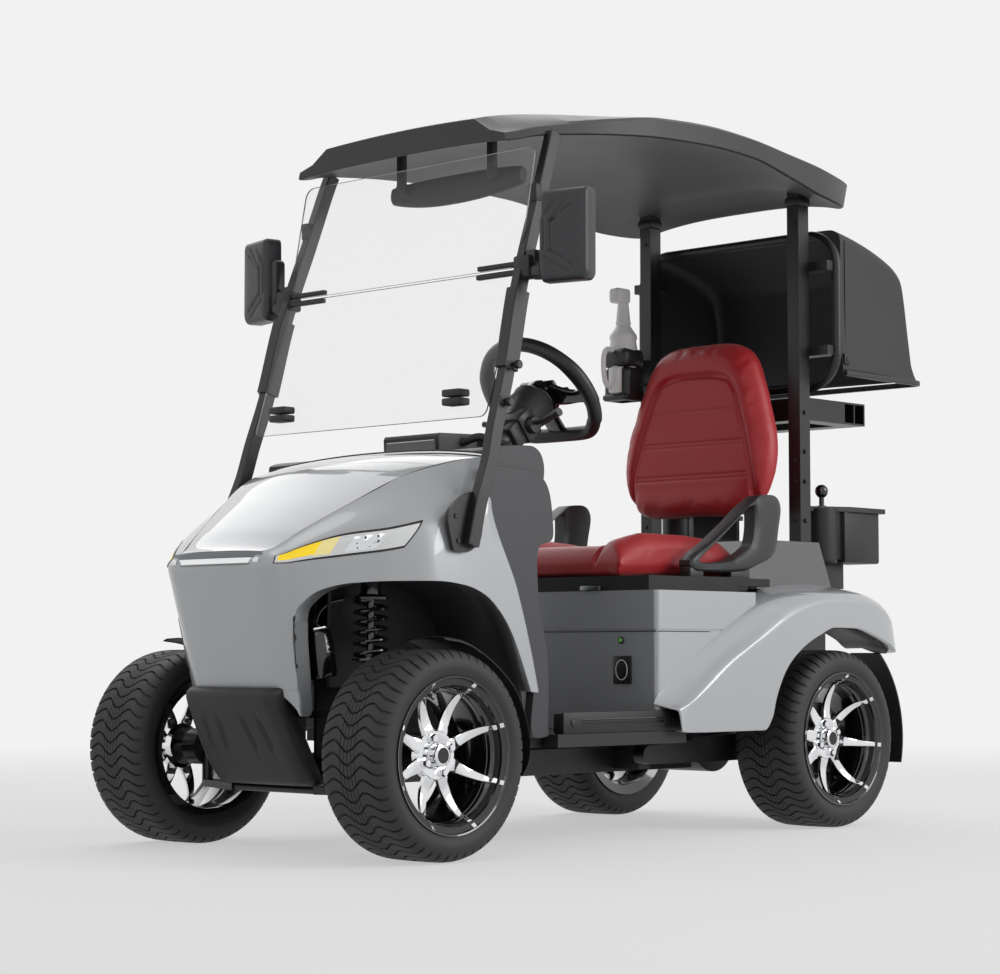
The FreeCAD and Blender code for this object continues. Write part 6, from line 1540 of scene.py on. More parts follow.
@dataclass
class Steering:
    """A flat-bottomed grip with thumb rests on gloss spokes, over a round cowl, switches and a stalk."""

    centre: tuple = (0, 813, 1095)
    tilt_deg: float = 39.0
    reach: float = 160.0
    flat: float = 118.0
    soft: float = 9.0
    grip: float = 17.5

    def axes(self) -> Array:
        """Rows: across the wheel, up in its plane, and along the column to the driver."""
        tilt = math.radians(self.tilt_deg)
        return np.array([(1, 0, 0), (0, -math.sin(tilt), math.cos(tilt)), (0, math.cos(tilt), math.sin(tilt))])

    def ring(self, count: int) -> Array:
        """The grip's middle line: a circle cut by a level chord, with a soft maximum at its corners."""
        turn = np.linspace(0, 2 * math.pi, count, endpoint=False) + 0.003
        above = (np.sin(turn) * self.reach + self.flat) / self.soft
        up = self.soft * np.logaddexp(0, above) - self.flat
        return np.stack([np.cos(turn) * self.reach * np.clip(1.02 - 0.05 * (np.sin(turn) < -0.5), 0, 1), up,
                         np.zeros(count)], -1)

    def wheel(self) -> None:
        """Grip, spokes and boss, riding on the steering wheel's own body."""
        count = 120
        path = self.ring(count)
        turn = np.linspace(0, 2 * math.pi, count, endpoint=False)
        swell = 1 + 0.22 * np.exp(-((np.abs(np.cos(turn)) - 0.93) / 0.1) ** 2) * (np.sin(turn) > -0.2)
        ahead = unit(np.roll(path, -1, axis=0) - np.roll(path, 1, axis=0))
        side = np.cross(ahead, (0, 0, 1))
        around = np.linspace(0, 2 * math.pi, 20, endpoint=False)
        loops = (path[:, None] + self.grip * swell[:, None, None] * np.cos(around)[None, :, None] * side[:, None]
                 + self.grip * 1.12 * np.sin(around)[None, :, None] * np.array((0, 0, 1.0)))
        whole = tube_form(loops, 0, True)
        spoke = np.array([(46, 14, 6), (80, 4, 8), (120, 0, 9), (152, 2, 10)], float)
        path = through(spoke, 16)
        wide = through([[62], [44], [34], [46]], 16)[:, 0]
        for sign in (-1, 1):
            arm = swept(path * (sign, 1, 1) - (0, 8, 8), rounded_rectangle(1, 1, 0.2, 3), (0, 0, 1), 1,
                        np.stack([wide, np.full(16, 15.0)], -1))
            lower = np.stack([0 * wide, 7 + wide / 2, 0 * wide - 2], -1)
            edge = swept(path * (sign, 1, 1) - lower, rounded_rectangle(3, 3, 1, 2), finish=2)
            whole += arm + edge
        low = swept(np.array([(0, -30, -2), (0, -70, -3), (0, -112, 0)], float), rounded_rectangle(54, 12, 4, 3),
                    (0, 0, 1), 1)
        boss = turned([(-24, 0), (-24, 40), (-12, 48), (6, 50), (16, 46), (20, 36), (21, 0)], 48, 1)
        boss = boss.placed(ALONG_Z, (0, -4, 0))
        pad = pillow_block((-58, -32, 2), (58, 40, 18), 8, 3, 1)
        whole += pillow_block((62, -12, 12), (88, 12, 20), 3, 2, 3).both()
        whole = (whole + low + boss + pad).placed(self.axes(), self.centre)
        whole.fit("steering_grip", [GRIP, GLOSS_BLACK, CHROME, TRIM], 34, "black_plastic",
                  "steering_wheel", body="steering_wheel")

    def column(self) -> None:
        """The round cowl behind the boss, the stepped switch housing, the stalk and the bellows."""
        cowl = turned([(-27, 0), (-27, 56), (-34, 60), (-60, 54), (-96, 42), (-120, 36), (-120, 0)], 40)
        lower = turned([(-118, 0), (-118, 33), (-230, 31), (-232, 44), (-262, 50), (-268, 41), (-292, 52),
                        (-298, 44), (-324, 58), (-330, 50), (-362, 56), (-372, 44), (-530, 40), (-530, 0)], 40)
        tube = (cowl + lower).placed(ALONG_Z, (0, 0, 0))
        housing = blocks(((-44, -44, -150), (50, 34, -92), 8, 3), ((-38, -34, -186), (44, 28, -146), 7, 3))
        knuckle = turned([(44, 0), (44, 21), (58, 23), (66, 20), (68, 0)], 24)
        stalk_path = through([(56, -4, -118), (92, 2, -116), (120, 10, -112), (150, 18, -108)], 20)
        size = through([[5.5], [6.5], [9], [10.5]], 20)
        stalk = swept(stalk_path, rounded_rectangle(2, 2, 0.95, 5), (0, 0, 1), 0, size)
        other = swept(through([(-40, -4, -118), (-84, 0, -116), (-112, 4, -114)], 14),
                      rounded_rectangle(15, 15, 7, 5), (0, 0, 1), 0)
        whole = (tube + housing + knuckle.moved(0, -6, -120) + stalk + other).placed(self.axes(), self.centre)
        whole.fit("column_cowl", [SATIN_BLACK], 34, "black_plastic", "steering_column")

    def screen(self) -> None:
        """The display pod: a hood over a dark face, with a short arm beside it."""
        outline = np.array([(356, 884), (352, 962), (357, 969), (476, 973), (486, 966), (470, 890)], float)
        loops = [np.stack([np.full(6, across), *(outline + shrink * (np.array([412, 930]) - outline)).T], -1)
                 for across, shrink in ((-96, 0.12), (-94, 0.0), (94, 0.0), (96, 0.12))]
        whole = tube_form(np.array(loops), 0)
        face = pillow_block((-84, 348.5, 898), (84, 356, 954), 3, 2, 1)
        arm = swept(through([(92, 432, 950), (130, 452, 962), (168, 470, 950), (196, 492, 938)], 20),
                    rounded_rectangle(24, 20, 9, 4), (0, 0, 1), 0)
        pod = (whole + face + arm).build("display_pod", [TRIM, SCREEN], 30)
        round_edges(pod, 2, 2, 30)
        seat_piece(pod, "chassis", "black_plastic")

    def build(self) -> None:
        """Builds wheel, column and screen."""
        self.wheel()
        self.column()
        self.screen()


@dataclass
class Mirrors:
    """Door mirrors with ribbed backs on short arms, and the wide bowed cabin mirror."""

    low: tuple = (469, 1284)
    high: tuple = (587, 1494)
    front: float = 307.0
    rear: float = 358.0
    turn_deg: float = 14.0

    def housing(self) -> Form:
        """The shell: rings of a rounded outline from the ribbed back to the glass's rim.

        The back's relief is a sum of narrow grooves, each a bell of the distance to its line.
        """
        low, high = np.array(self.low, float), np.array(self.high, float)
        centre, half = (low + high) / 2, (high - low) / 2
        base = np.array([(-1, -0.93), (-0.95, -1), (0.76, -1), (0.93, -0.94), (1, -0.82), (1, 0.9), (0.9, 1),
                         (-0.84, 1), (-0.97, 0.93), (-1, 0.8)]) * half
        ring = through(base, 96, closed=True, ease=0.8, firm=True)
        sizes = np.concatenate([np.linspace(0.04, 0.9, 26), [0.95, 0.985, 1.0, 1.0, 0.99]])
        places = np.concatenate([self.front + 4 * np.linspace(0, 1, 26) ** 3,
                                 [self.front + 6.5, self.front + 11, self.front + 18, self.rear - 4, self.rear]])
        grid = sizes[:, None, None] * ring[None]
        back = np.broadcast_to(places[:, None], grid.shape[:2]).copy()
        lines = [((-22, 78), (-46, 46)), ((16, 84), (-30, 34)), ((-52, 40), (-52, -34)), ((-34, 30), (-34, -36)),
                 ((-34, 30), (22, 66)), ((-34, -36), (6, -58)), ((-46, -52), (14, -88)), ((-30, -44), (26, -74))]
        flat = grid[:26].reshape(-1, 2)
        for start, end in lines:
            away = distance_to_path(flat, np.array([start, end], float)).reshape(26, -1)
            back[:26] += 3.6 * np.exp(-(away / 3.2) ** 2)
        shell = tube_form(np.stack([grid[..., 0] + centre[0], back, grid[..., 1] + centre[1]], -1))
        inner = ring * 0.93
        glass = np.stack([inner[:, 0] + centre[0], np.full(96, self.rear + 0.4), inner[:, 1] + centre[1]], -1)
        whole = shell + tube_form(np.stack([glass - (0, 3, 0), glass]), 1)
        turn = math.radians(self.turn_deg)
        away = whole.points - (centre[0], self.front, 0)
        whole.points = np.stack([centre[0] + away[:, 0] * math.cos(turn) - away[:, 1] * math.sin(turn),
                                 self.front + away[:, 0] * math.sin(turn) + away[:, 1] * math.cos(turn),
                                 away[:, 2]], -1)
        return whole

    def build(self) -> None:
        """Builds the three mirrors."""
        arm = swept(through([(404, 338, 1340), (424, 334, 1322), (446, 333, 1318), (474, 333, 1330)], 24),
                    rounded_rectangle(34, 44, 12, 4), (0, 0, 1))
        clamp = blocks(((398, 316, 1316), (436, 356, 1366), 8, 3), ((414, 306, 1296), (462, 348, 1330), 14),
                       ((448, 312, 1310), (474, 352, 1440), 12))
        (self.housing() + arm + clamp).both().fit("door_mirror_shells", [MIRROR_BLACK, MIRROR], 28,
                                                  "black_plastic", "door_mirrors")
        across = np.linspace(-1, 1, 61)
        half = 222.0
        bottom = 1546 + 26 * np.abs(across) ** 2.2
        top = 1617 - 4 * np.abs(across) ** 6
        end = np.clip((1 - np.abs(across)) / 0.03, 0.5, 1) ** 0.5
        front = 494 + 16 * across ** 2
        middle, tall = (top + bottom) / 2, (top - bottom) / 2 * end
        around = np.linspace(0, 2 * math.pi, 28, endpoint=False)
        round_y = np.sign(np.cos(around)) * np.abs(np.cos(around)) ** 0.7
        round_z = np.sign(np.sin(around)) * np.abs(np.sin(around)) ** 0.7
        loops = np.stack([np.broadcast_to(across[:, None] * half, (61, 28)),
                          front[:, None] + 17 * round_y[None] * end[:, None],
                          middle[:, None] + tall[:, None] * round_z[None]], -1)
        glass = np.stack([across * half * 0.95, front + 17.6, middle], -1)
        whole = tube_form(loops) + swept(glass, rounded_rectangle(1, 1, 0.2, 3), (0, 0, 1), 1,
                                         np.stack([np.full(61, 2.0), tall * 1.6], -1))
        whole += blocks(((144, 462, 1596), (166, 480, 1706), 4, 3),
                        ((138, 464, 1586), (172, 496, 1612), 6, 3)).both()
        whole.fit("cabin_mirror_bar", [SOFT_BLACK, MIRROR], 34, "black_plastic", "cabin_mirror")


# Bag stand

@dataclass
class BagStand:
    """The stretched cover over its hoop, collars on the posts, and the bottle in its holder."""

    half: float = 336.0
    spine: tuple = ((1642, 1590), (1660, 1588), (1760, 1570), (1880, 1534), (1924, 1512), (1946, 1488),
                    (1958, 1440), (1976, 1340), (1996, 1240), (2003, 1206))
    base: float = 1200.0

    def cover(self) -> None:
        """The cloth: a row runs from the foot of one side over the top to the other foot.

        A side's line goes from its share of the foot line up to the spine; the corner between side and
        top is a soft bend, and the cloth sinks a little between what stretches it.
        """
        count = 64
        spine = through(self.spine, count, ease=0.8, firm=True)
        share = np.linspace(0, 1, count)
        foot = np.stack([1644 + 358 * share, np.full(count, self.base)], -1)
        bend = 34.0
        reach = np.linalg.norm(spine - foot, axis=1)
        drop = np.minimum(bend, reach * 0.45)[:, None]
        down = (foot - spine) / np.maximum(reach, 1e-6)[:, None]
        half = self.half

        def row(across: float, at: Array) -> Array:
            """One line along the cover, at one place across."""
            return np.stack([np.broadcast_to(across, (count,)), at[:, 0], at[:, 1]], -1)

        controls = [row(half + 6, foot), row(half + 1, foot + (spine - foot) * 0.25),
                    row(half, foot + (spine - foot) * 0.5), row(half, spine + down * drop),
                    row(half - bend * 0.3, spine + down * drop * 0.3), row(half - bend, spine),
                    row(half * 0.5, spine + (0, 2)), row(0, spine + (0, 3))]
        controls = controls + [one * (-1, 1, 1) for one in controls[-2::-1]]
        grid = through(np.array(controls), 101, ease=0.8, firm=True)
        around = np.linspace(0, 1, len(grid))[:, None]
        sag = np.sin(np.pi * share)[None] * (5 * np.exp(-((np.abs(around - 0.5) - 0.33) / 0.07) ** 2))
        grid[..., 0] -= np.sign(grid[..., 0]) * sag
        grid[..., 2] -= 7 * np.sin(np.pi * share)[None] * np.exp(-((around - 0.5) / 0.16) ** 2)
        form = sheet_form(grid)
        cover = form.build("bag_cover_cloth", [COVER, COVER], 40, (0, 0, 1), False)
        thicken(cover, 1.6, -1)
        seat_piece(cover, "chassis", "cover_cloth", "bag_cover")
        right = np.array([(half + 9, 1650, 1199), (half + 9, 1800, 1198), (half + 9, 1992, 1198),
                          (half - 8, 2009, 1198)], float)
        lip = np.concatenate([right * (-1, 1, 1), [(0, 2009, 1198)], right[::-1]])
        rim = swept(through(lip, 80, ease=1.0, firm=True), rounded_rectangle(11, 15, 3, 3))
        seam = np.stack([np.full(40, half + 0.6), np.full(40, 1664.0), np.linspace(1560, 1250, 40)], -1)
        tape = swept(seam, rounded_rectangle(2.4, 5, 0.8, 2), (0, 1, 0))
        latch = pillow_block((half - 2, 1646, 1222), (half + 11, 1672, 1252), 4, 3, 1)
        latch += turned([(half + 8, 0), (half + 8, 8), (half + 13, 7), (half + 14, 0)], 16, 1).moved(0, 1659, 1237)
        hem = (rim + tape.both() + latch.both()).fit("bag_cover_hem", [SATIN_BLACK, TRIM], 34, "black_plastic")

    def collars(self) -> None:
        """Dark collars where the posts meet the roof, and screws down the posts."""
        whole = pillow_block((232, 1529, 1646), (284, 1584, 1672), 8, 3)
        places = [(259, 1536, high) for high in (1600, 960, 905, 800)]
        whole += studs([(278.4, 1557, high) for high in (1090, 985, 905, 800)], (1, 0, 0), 6, 4, 12)
        whole += studs(places, (0, -1, 0), 6, 4, 12)
        whole.both().fit("post_collars", [TRIM], 34, "black_plastic")

    def bottle(self) -> None:
        """The white bottle with ribs, bent cap and grip, and its black holder with a window."""
        profile = [(1163, 0), (1163, 34), (1170, 37), (1284, 37), (1290, 39), (1300, 39), (1306, 37.5), (1318, 36),
                   (1326, 39), (1334, 37), (1350, 26), (1362, 19), (1366, 22), (1372, 20), (1425, 15), (1430, 0)]
        bottle = turned([(high - 1300, size) for high, size in profile], 48)
        bottle = bottle.placed(ALONG_Z, (-258, 1438, 1300))
        bottle += pillow_block((-277, 1396, 1422), (-239, 1452, 1464), 9, 4)
        grip = through([(-262, 1402, 1290), (-262, 1370, 1288), (-262, 1360, 1270), (-262, 1361, 1215),
                        (-262, 1372, 1190), (-262, 1400, 1186)], 40)
        bottle += swept(grip, rounded_rectangle(15, 10, 4, 3), (1, 0, 0))
        bottle += pillow_block((-270, 1386, 1168), (-232, 1404, 1240), 5, 3)
        bottle.fit("sand_bottle_body", [WHITE_BOTTLE], 40, "white_plastic", "sand_bottle")
        shell = blocks(((-304, 1395, 1241), (-214, 1483, 1294), 16), ((-304, 1404, 1148), (-214, 1483, 1243), 14),
                       ((-304, 1396, 1148), (-214, 1483, 1168), 14), ((-280, 1480, 1200), (-236, 1537, 1270), 6, 3))
        shell += studs([(-213, 1460, 1274), (-213, 1460, 1180)], (1, 0, 0), 6, 4, 12)
        shell.fit("bottle_bracket", [SATIN_BLACK], 34, "black_plastic", "bottle_holder")

    def build(self) -> None:
        """Builds cover, collars and bottle."""
        self.cover()
        self.collars()
        self.bottle()


# Running gear and seat box details

@dataclass
class RunningGear:
    """Springs, rods and cans of the dampers, and the mudguards that turn with the front wheels."""

    @staticmethod
    def spring(low: Sequence, high: Sequence, radius: float, wire: float, turns: float) -> Form:
        """A helix about the line between two points, with a plate at each end."""
        low, high = np.asarray(low, float), np.asarray(high, float)
        axis = unit(high - low)
        one = unit(np.cross(axis, (1.0, 0.2, 0.0)))
        two = np.cross(axis, one)
        turn = np.linspace(0, 2 * math.pi * turns, int(turns * 26))
        line = (low + (high - low) * (turn / turn[-1])[:, None]
                + radius * (np.cos(turn)[:, None] * one + np.sin(turn)[:, None] * two))
        around = np.linspace(0, 2 * math.pi, 8, endpoint=False)
        coil = swept(line, wire * np.stack([np.cos(around), np.sin(around)], -1), axis)
        axes = np.stack([axis, one, two])
        for at, share in ((low, -1), (high, 1)):
            plate = turned([(0, 0), (0, radius + 7), (share * 5, radius + 8), (share * 12, radius * 0.7),
                            (share * 13, 0)], 28, 0)
            coil += plate.placed(axes, at)
        return coil

    def dampers(self) -> None:
        """Front and rear springs with their rods, and the front can with its bright ring."""
        front = self.spring((232, 0, 436), (232, 0, 566), 35, 4.4, 5.6)
        rod = turned([(152, 0), (152, 20), (180, 22), (184, 17), (440, 17), (442, 24), (450, 24), (452, 9),
                      (566, 9), (568, 24), (604, 22), (604, 0)], 28, 0)
        front += rod.placed(ALONG_Z, (232, 0, 0))
        can = turned([(0, 0), (0, 30), (8, 34), (96, 34), (104, 31), (108, 33), (112, 33), (118, 22), (120, 0)], 36)
        can.finishes = [1 if 105 < can.points[face[0], 0] < 113 else 0 for face in can.faces]
        lean = unit(np.array([-0.12, -0.10, 0.98]))
        side = unit(np.cross(lean, (0, 1.0, 0.0)))
        can = can.placed(np.stack([lean, side, np.cross(lean, side)]), (150, -66, 392))
        hose = swept(through([(136, -78, 508), (148, -72, 540), (164, -54, 560), (176, -30, 566)], 24),
                     rounded_rectangle(9, 9, 4.2, 4), (0, 1, 0))
        rear = self.spring((214, 1465, 330), (214, 1465, 520), 30, 4.4, 7.5)
        rod = turned([(264, 0), (264, 18), (330, 16), (332, 10), (520, 10), (522, 20), (600, 18), (600, 0)], 28, 0)
        rear += rod.placed(ALONG_Z, (214, 1465, 0))
        (front + can + hose + rear).both().fit("coil_springs", [GLOSS_BLACK, CHROME], 34, "black_metal",
                                               "front_dampers", "rear_dampers")

    def mudguard(self, side: Side) -> None:
        """The front mudguard: a shallow arch with two rolled edges, carried along a curve over the tyre."""
        line = through(np.array([(-12, 483), (52, 474), (112, 449), (171, 410), (215, 368),
                                 (246, 309), (262, 250), (254, 200), (236, 176)], float), 121, ease=0.8)
        across = np.array([292, 296, 320, 380, 440, 468, 476, 478, 475], float)
        lift = np.array([-6, 0, 3, 4, 3, 0, -4, -7, -7], float)
        start = np.interp(across, [296, 478], [0.125, 0.0])
        share = start[None] + (1 - start[None]) * np.linspace(0, 1, 90)[:, None]
        number = np.linspace(0, 1, 121)
        back, high = np.interp(share, number, line[:, 0]), np.interp(share, number, line[:, 1])
        out = unit(np.stack([np.zeros_like(back), np.maximum(back, 0), high - 228], -1))
        points = np.stack([np.broadcast_to(across, back.shape), back + out[..., 1] * lift,
                           high + out[..., 2] * lift], -1)
        name = side.name.lower()
        guard = sheet_form(points).on(side).build("mudguard_skin_" + name, [TRIM], 40, (0, 0, 1), False)
        thicken(guard, 2.5, -1)
        seat_piece(guard, "knuckle_" + name, "black_plastic", "front_mudguard_" + name)

    def build(self) -> None:
        """Builds springs and mudguards."""
        self.dampers()
        for side in Side:
            self.mudguard(side)


@dataclass
class BoxDetails:
    """Seams, socket, lamp and latch of the seat box, step inserts with screws, and tail lamps."""

    front: float = 788.5

    def build(self) -> None:
        """Builds the seams, the socket with lamp and latch, the step inserts and the tail lamps."""
        face = self.front
        lines = pillow_block((-398, face - 0.8, 499.2), (398, face + 1, 501.4), 0.6, 2)
        lines += blocks(((399, 792, 499.2), (400.8, 990, 501.4), 0.6, 2),
                        ((397.5, face - 0.8, 318), (399.7, face + 1, 597), 0.8, 2, 1)).both()
        lines.fit("seat_box_seams", [TRIM, SILVER], 34, "black_plastic")
        plate = pillow_block((263, face - 5, 373), (321, face + 1, 441), 5, 3)
        turn = np.linspace(0, 2 * math.pi, 60, endpoint=False)
        oval = np.stack([292 + 18 * np.cos(turn), np.full(60, face - 5.6), 407 + 24 * np.sin(turn)], -1)
        plate += swept(oval, rounded_rectangle(2.6, 2.4, 1, 3), (0, 1, 0), 1, loop=True)
        cap = turned([(0, 0), (0, 15), (3, 14.5), (4, 0)], 30).placed(TO_FRONT, (292, face - 4.6, 407))
        lamp = turned([(0, 0), (0, 9), (3, 9), (4.5, 7), (4.5, 0)], 24, 0)
        bulb = turned([(3, 0), (3, 6.4), (6.5, 4), (7.5, 0)], 24, 2)
        lamp = (lamp + bulb).placed(TO_FRONT, (287, face + 0.5, 479))
        latch = pillow_block((158, 781, 601), (222, 793, 613), 3, 3, 3)
        (plate + cap + lamp + latch).fit("charge_plate", [SATIN_BLACK, WHITE_BOTTLE, GREEN_LENS, ZINC], 34,
                                         "black_plastic", "charge_socket")
        trim = blocks(((404, 437, 262), (414, 882, 312), 3, 3), ((376, 440, 262), (408, 880, 311), 6, 3),
                      *(((412.4, 500, high - 1.6), (416.2, 800, high + 1.6), 1.4, 2, 1)
                        for high in (280, 287, 294)))
        trim += studs([(413, 470, 287), (413, 836, 287)], (1, 0, 0), 9, 4, 16)
        trim.both().fit("step_inserts", [TRIM, GLOSS_BLACK], 34, "black_plastic", "step_trims")
        lens = pillow_block((352, 1741, 462), (398, 1775, 532), 10)
        lens.both().fit("tail_lamp_lenses", [RED_LENS], 34, "lamp_red", "tail_lamps")


# Dash and leg shield, pillars, side bins

def prism(outline: Sequence, low: float, high: float, count: int = 0, finish: int = 0) -> Form:
    """A plate between two places across the cart, from an outline in the side view.

    Args:
        outline: corners (y, z).
        low, high: the plate's faces across.
        count: points of the smoothed outline, or none for straight sides.
        finish: the finish number.

    Returns:
        The plate as a closed form.
    """
    ring = np.array(outline, float)
    if count:
        ring = through(ring, count, closed=True, ease=0.8, firm=True)
    faces = [np.concatenate([np.full((len(ring), 1), at), ring], 1) for at in (low, high)]
    return tube_form(np.stack(faces), finish)


@dataclass
class Cockpit:
    """The leg shield's cheeks with the dash between them, and the windscreen's pillars with their feet."""

    cheek: tuple = ((352, 258), (352, 360), (325, 474), (283, 592), (240, 690), (206, 778), (197, 830), (205, 866),
                    (262, 868), (330, 864), (368, 856), (397, 837), (413, 800), (419, 760), (422, 722),
                    (416, 706), (401, 700), (380, 694), (370, 682), (366, 655), (368, 610), (372, 567), (381, 520),
                    (394, 476), (402, 430), (404, 380), (404, 258))
    dash: tuple = ((241, 800), (340, 800), (396, 826), (404, 870), (392, 905), (360, 921), (300, 919), (241, 903))
    pillar: tuple = ((422, 122, 684), (421, 148, 780), (417, 188, 880), (413, 208, 950), (407, 250, 1075),
                     (399, 300, 1268), (389, 374, 1472), (381, 434, 1637), (379, 442, 1657))
    foot: tuple = ((62, 755), (80, 776), (125, 801), (160, 806), (172, 796), (168, 720), (160, 694), (112, 668),
                   (80, 672), (72, 690))

    def shield(self) -> None:
        """Cheeks, dash, bulkhead and the display's stand."""
        whole = prism(self.cheek, 374, 398, 160).both() + prism(self.dash, -386, 386, 60)
        whole += prism(((257, 805), (263, 805), (356, 262), (350, 262)), -374, 374)
        whole += prism(((376, 905), (440, 890), (450, 946), (444, 956), (376, 950)), -78, 78)
        shield = whole.build("leg_shield", [SHIELD], 30)
        round_edges(shield, 4.0, 3, 40)
        seat_piece(shield, "chassis", "black_plastic", "dash_cowl")

    def pillars(self) -> None:
        """Upper bars, sleeves that slide over them, knobs and the rounded foot plates."""
        path = through(self.pillar, 90, ease=0.9, firm=True)
        bar = swept(path, rounded_rectangle(24, 34, 2.5, 3), (0, 1, 0))
        part = path[(path[:, 2] > 1078) & (path[:, 2] < 1272)]
        sleeve = swept(part, rounded_rectangle(33, 46, 3, 3), (0, 1, 0))
        knob = turned([(420, 0), (420, 6), (430, 6), (431, 10), (440, 10), (442, 8), (442, 0)], 20)
        foot = prism(self.foot, 404, 414, 60)
        foot += studs([(414, 92, 694), (414, 84, 748)], (1, 0, 0), 6, 3, 12)
        knobs = knob.moved(0, 262, 1096) + knob.moved(-2, 236, 1010)
        (bar + sleeve + knobs + foot).both().fit("windscreen_pillars", [POWDER], 20, "black_metal", "a_pillars")

    def build(self) -> None:
        """Builds shield and pillars."""
        self.shield()
        self.pillars()


@dataclass
class SideBins:
    """Two bins behind the seat: a round washer with a ball knob in front of a box, one rim round both."""

    washer: tuple = (252, 1664)
    reach: float = 42.0
    box: tuple = ((192, 1704, 692), (300, 1866, 838))

    def build(self) -> None:
        """Builds both bins; the right one carries a small red and white reflector."""
        low, high = self.box
        across, back = self.washer
        tub = pillow_block(low, high, 6, 3)
        can = turned([(690, 0), (690, 38), (694, 41), (700, self.reach), (838, self.reach), (838, 0)], 48)
        turn = np.linspace(math.pi * 0.5, math.pi * 1.5, 24)
        front = np.stack([across + 52 * np.cos(turn), back - 52 * np.sin(turn)], -1)
        plan = np.concatenate([front, [(186, 1720), (186, 1884), (192, 1890), (300, 1890), (307, 1884),
                                       (307, 1720)]])
        rim = tube_form(np.stack([np.concatenate([plan, np.full((len(plan), 1), at)], 1)
                                  for at in (830.0, 843.0)]))
        knob_line = [(840, 0), (840, 13), (846, 12), (848, 7), (868, 7), (871, 12), (878, 16.5), (886, 18.5),
                     (894, 16.5), (901, 10), (904, 0)]
        knob = turned(knob_line, 28, 1)
        whole = tub + (can + knob).placed(ALONG_Z, (across, back, 0)) + rim
        whole += blocks(((206, 1660, 700), (288, 1712, 836), 4, 3), ((206, 1607, 596), (262, 1752, 700), 6, 3))
        whole = whole.both() + blocks(((-300, 1699, 742), (-272, 1705, 790), 2, 2, 2),
                                      ((-272, 1699, 742), (-244, 1705, 790), 2, 2, 3))
        whole.fit("washer_bins", [TRIM, GLOSS_BLACK, RED_LENS, WHITE_LENS], 32, "black_plastic", "side_bins")


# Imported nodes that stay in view

@dataclass
class Carried:
    """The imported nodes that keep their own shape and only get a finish."""

    finishes: dict = field(default_factory=lambda: {
        POWDER: ("knuckle_left", "knuckle_right", "front_suspension_arms", "front_dampers",
                 "rear_axle_and_motor", "trailing_arms", "rear_dampers", "frame_rails", "cross_members",
                 "damper_towers", "roof_posts", "a_pillars", "cover_hoop", "bag_rack"),
        TRIM: ("front_mudguard_left", "front_mudguard_right", "rear_mudguards", "floor_tray", "step_trims",
               "front_bumper", "steering_column", "pedals", "battery_pack",
               "bag_well", "side_bins", "door_mirrors", "cabin_mirror", "bottle_holder", "charge_socket",
               "armrests", "steering_wheel"),
        SHIELD: ("dash_cowl",),
        SOFT_BLACK: ("seat_frame",),
        # the deck's silver paint is darkened as painted shade
        DECK_PAINT_SHADED: ("rear_deck",),
        SILVER: ("hood", "front_fascia", "front_fenders", "seat_box", "rear_fenders"),
        CHARCOAL: ("roof",),
        ACRYLIC: ("windscreen",),
        LENS: ("headlights",),
        WHITE_STRIP: ("light_bar",),
        RED_LENS: ("tail_lamps",),
        RED: ("seat_cushion", "seat_back"),
        COVER: ("bag_cover",),
        WHITE_BOTTLE: ("sand_bottle",),
        RUBBER: ("tyre_front_left", "tyre_front_right", "tyre_rear_left", "tyre_rear_right"),
        RIM_BLACK: ("rim_front_left", "rim_front_right", "rim_rear_left", "rim_rear_right"),
    })

    def build(self) -> None:
        """Coats every node."""
        for finish, nodes in self.finishes.items():
            for node in nodes:
                coat_node(node, finish)
        log.info("carried nodes: %d", sum(len(nodes) for nodes in self.finishes.values()))


# Studio

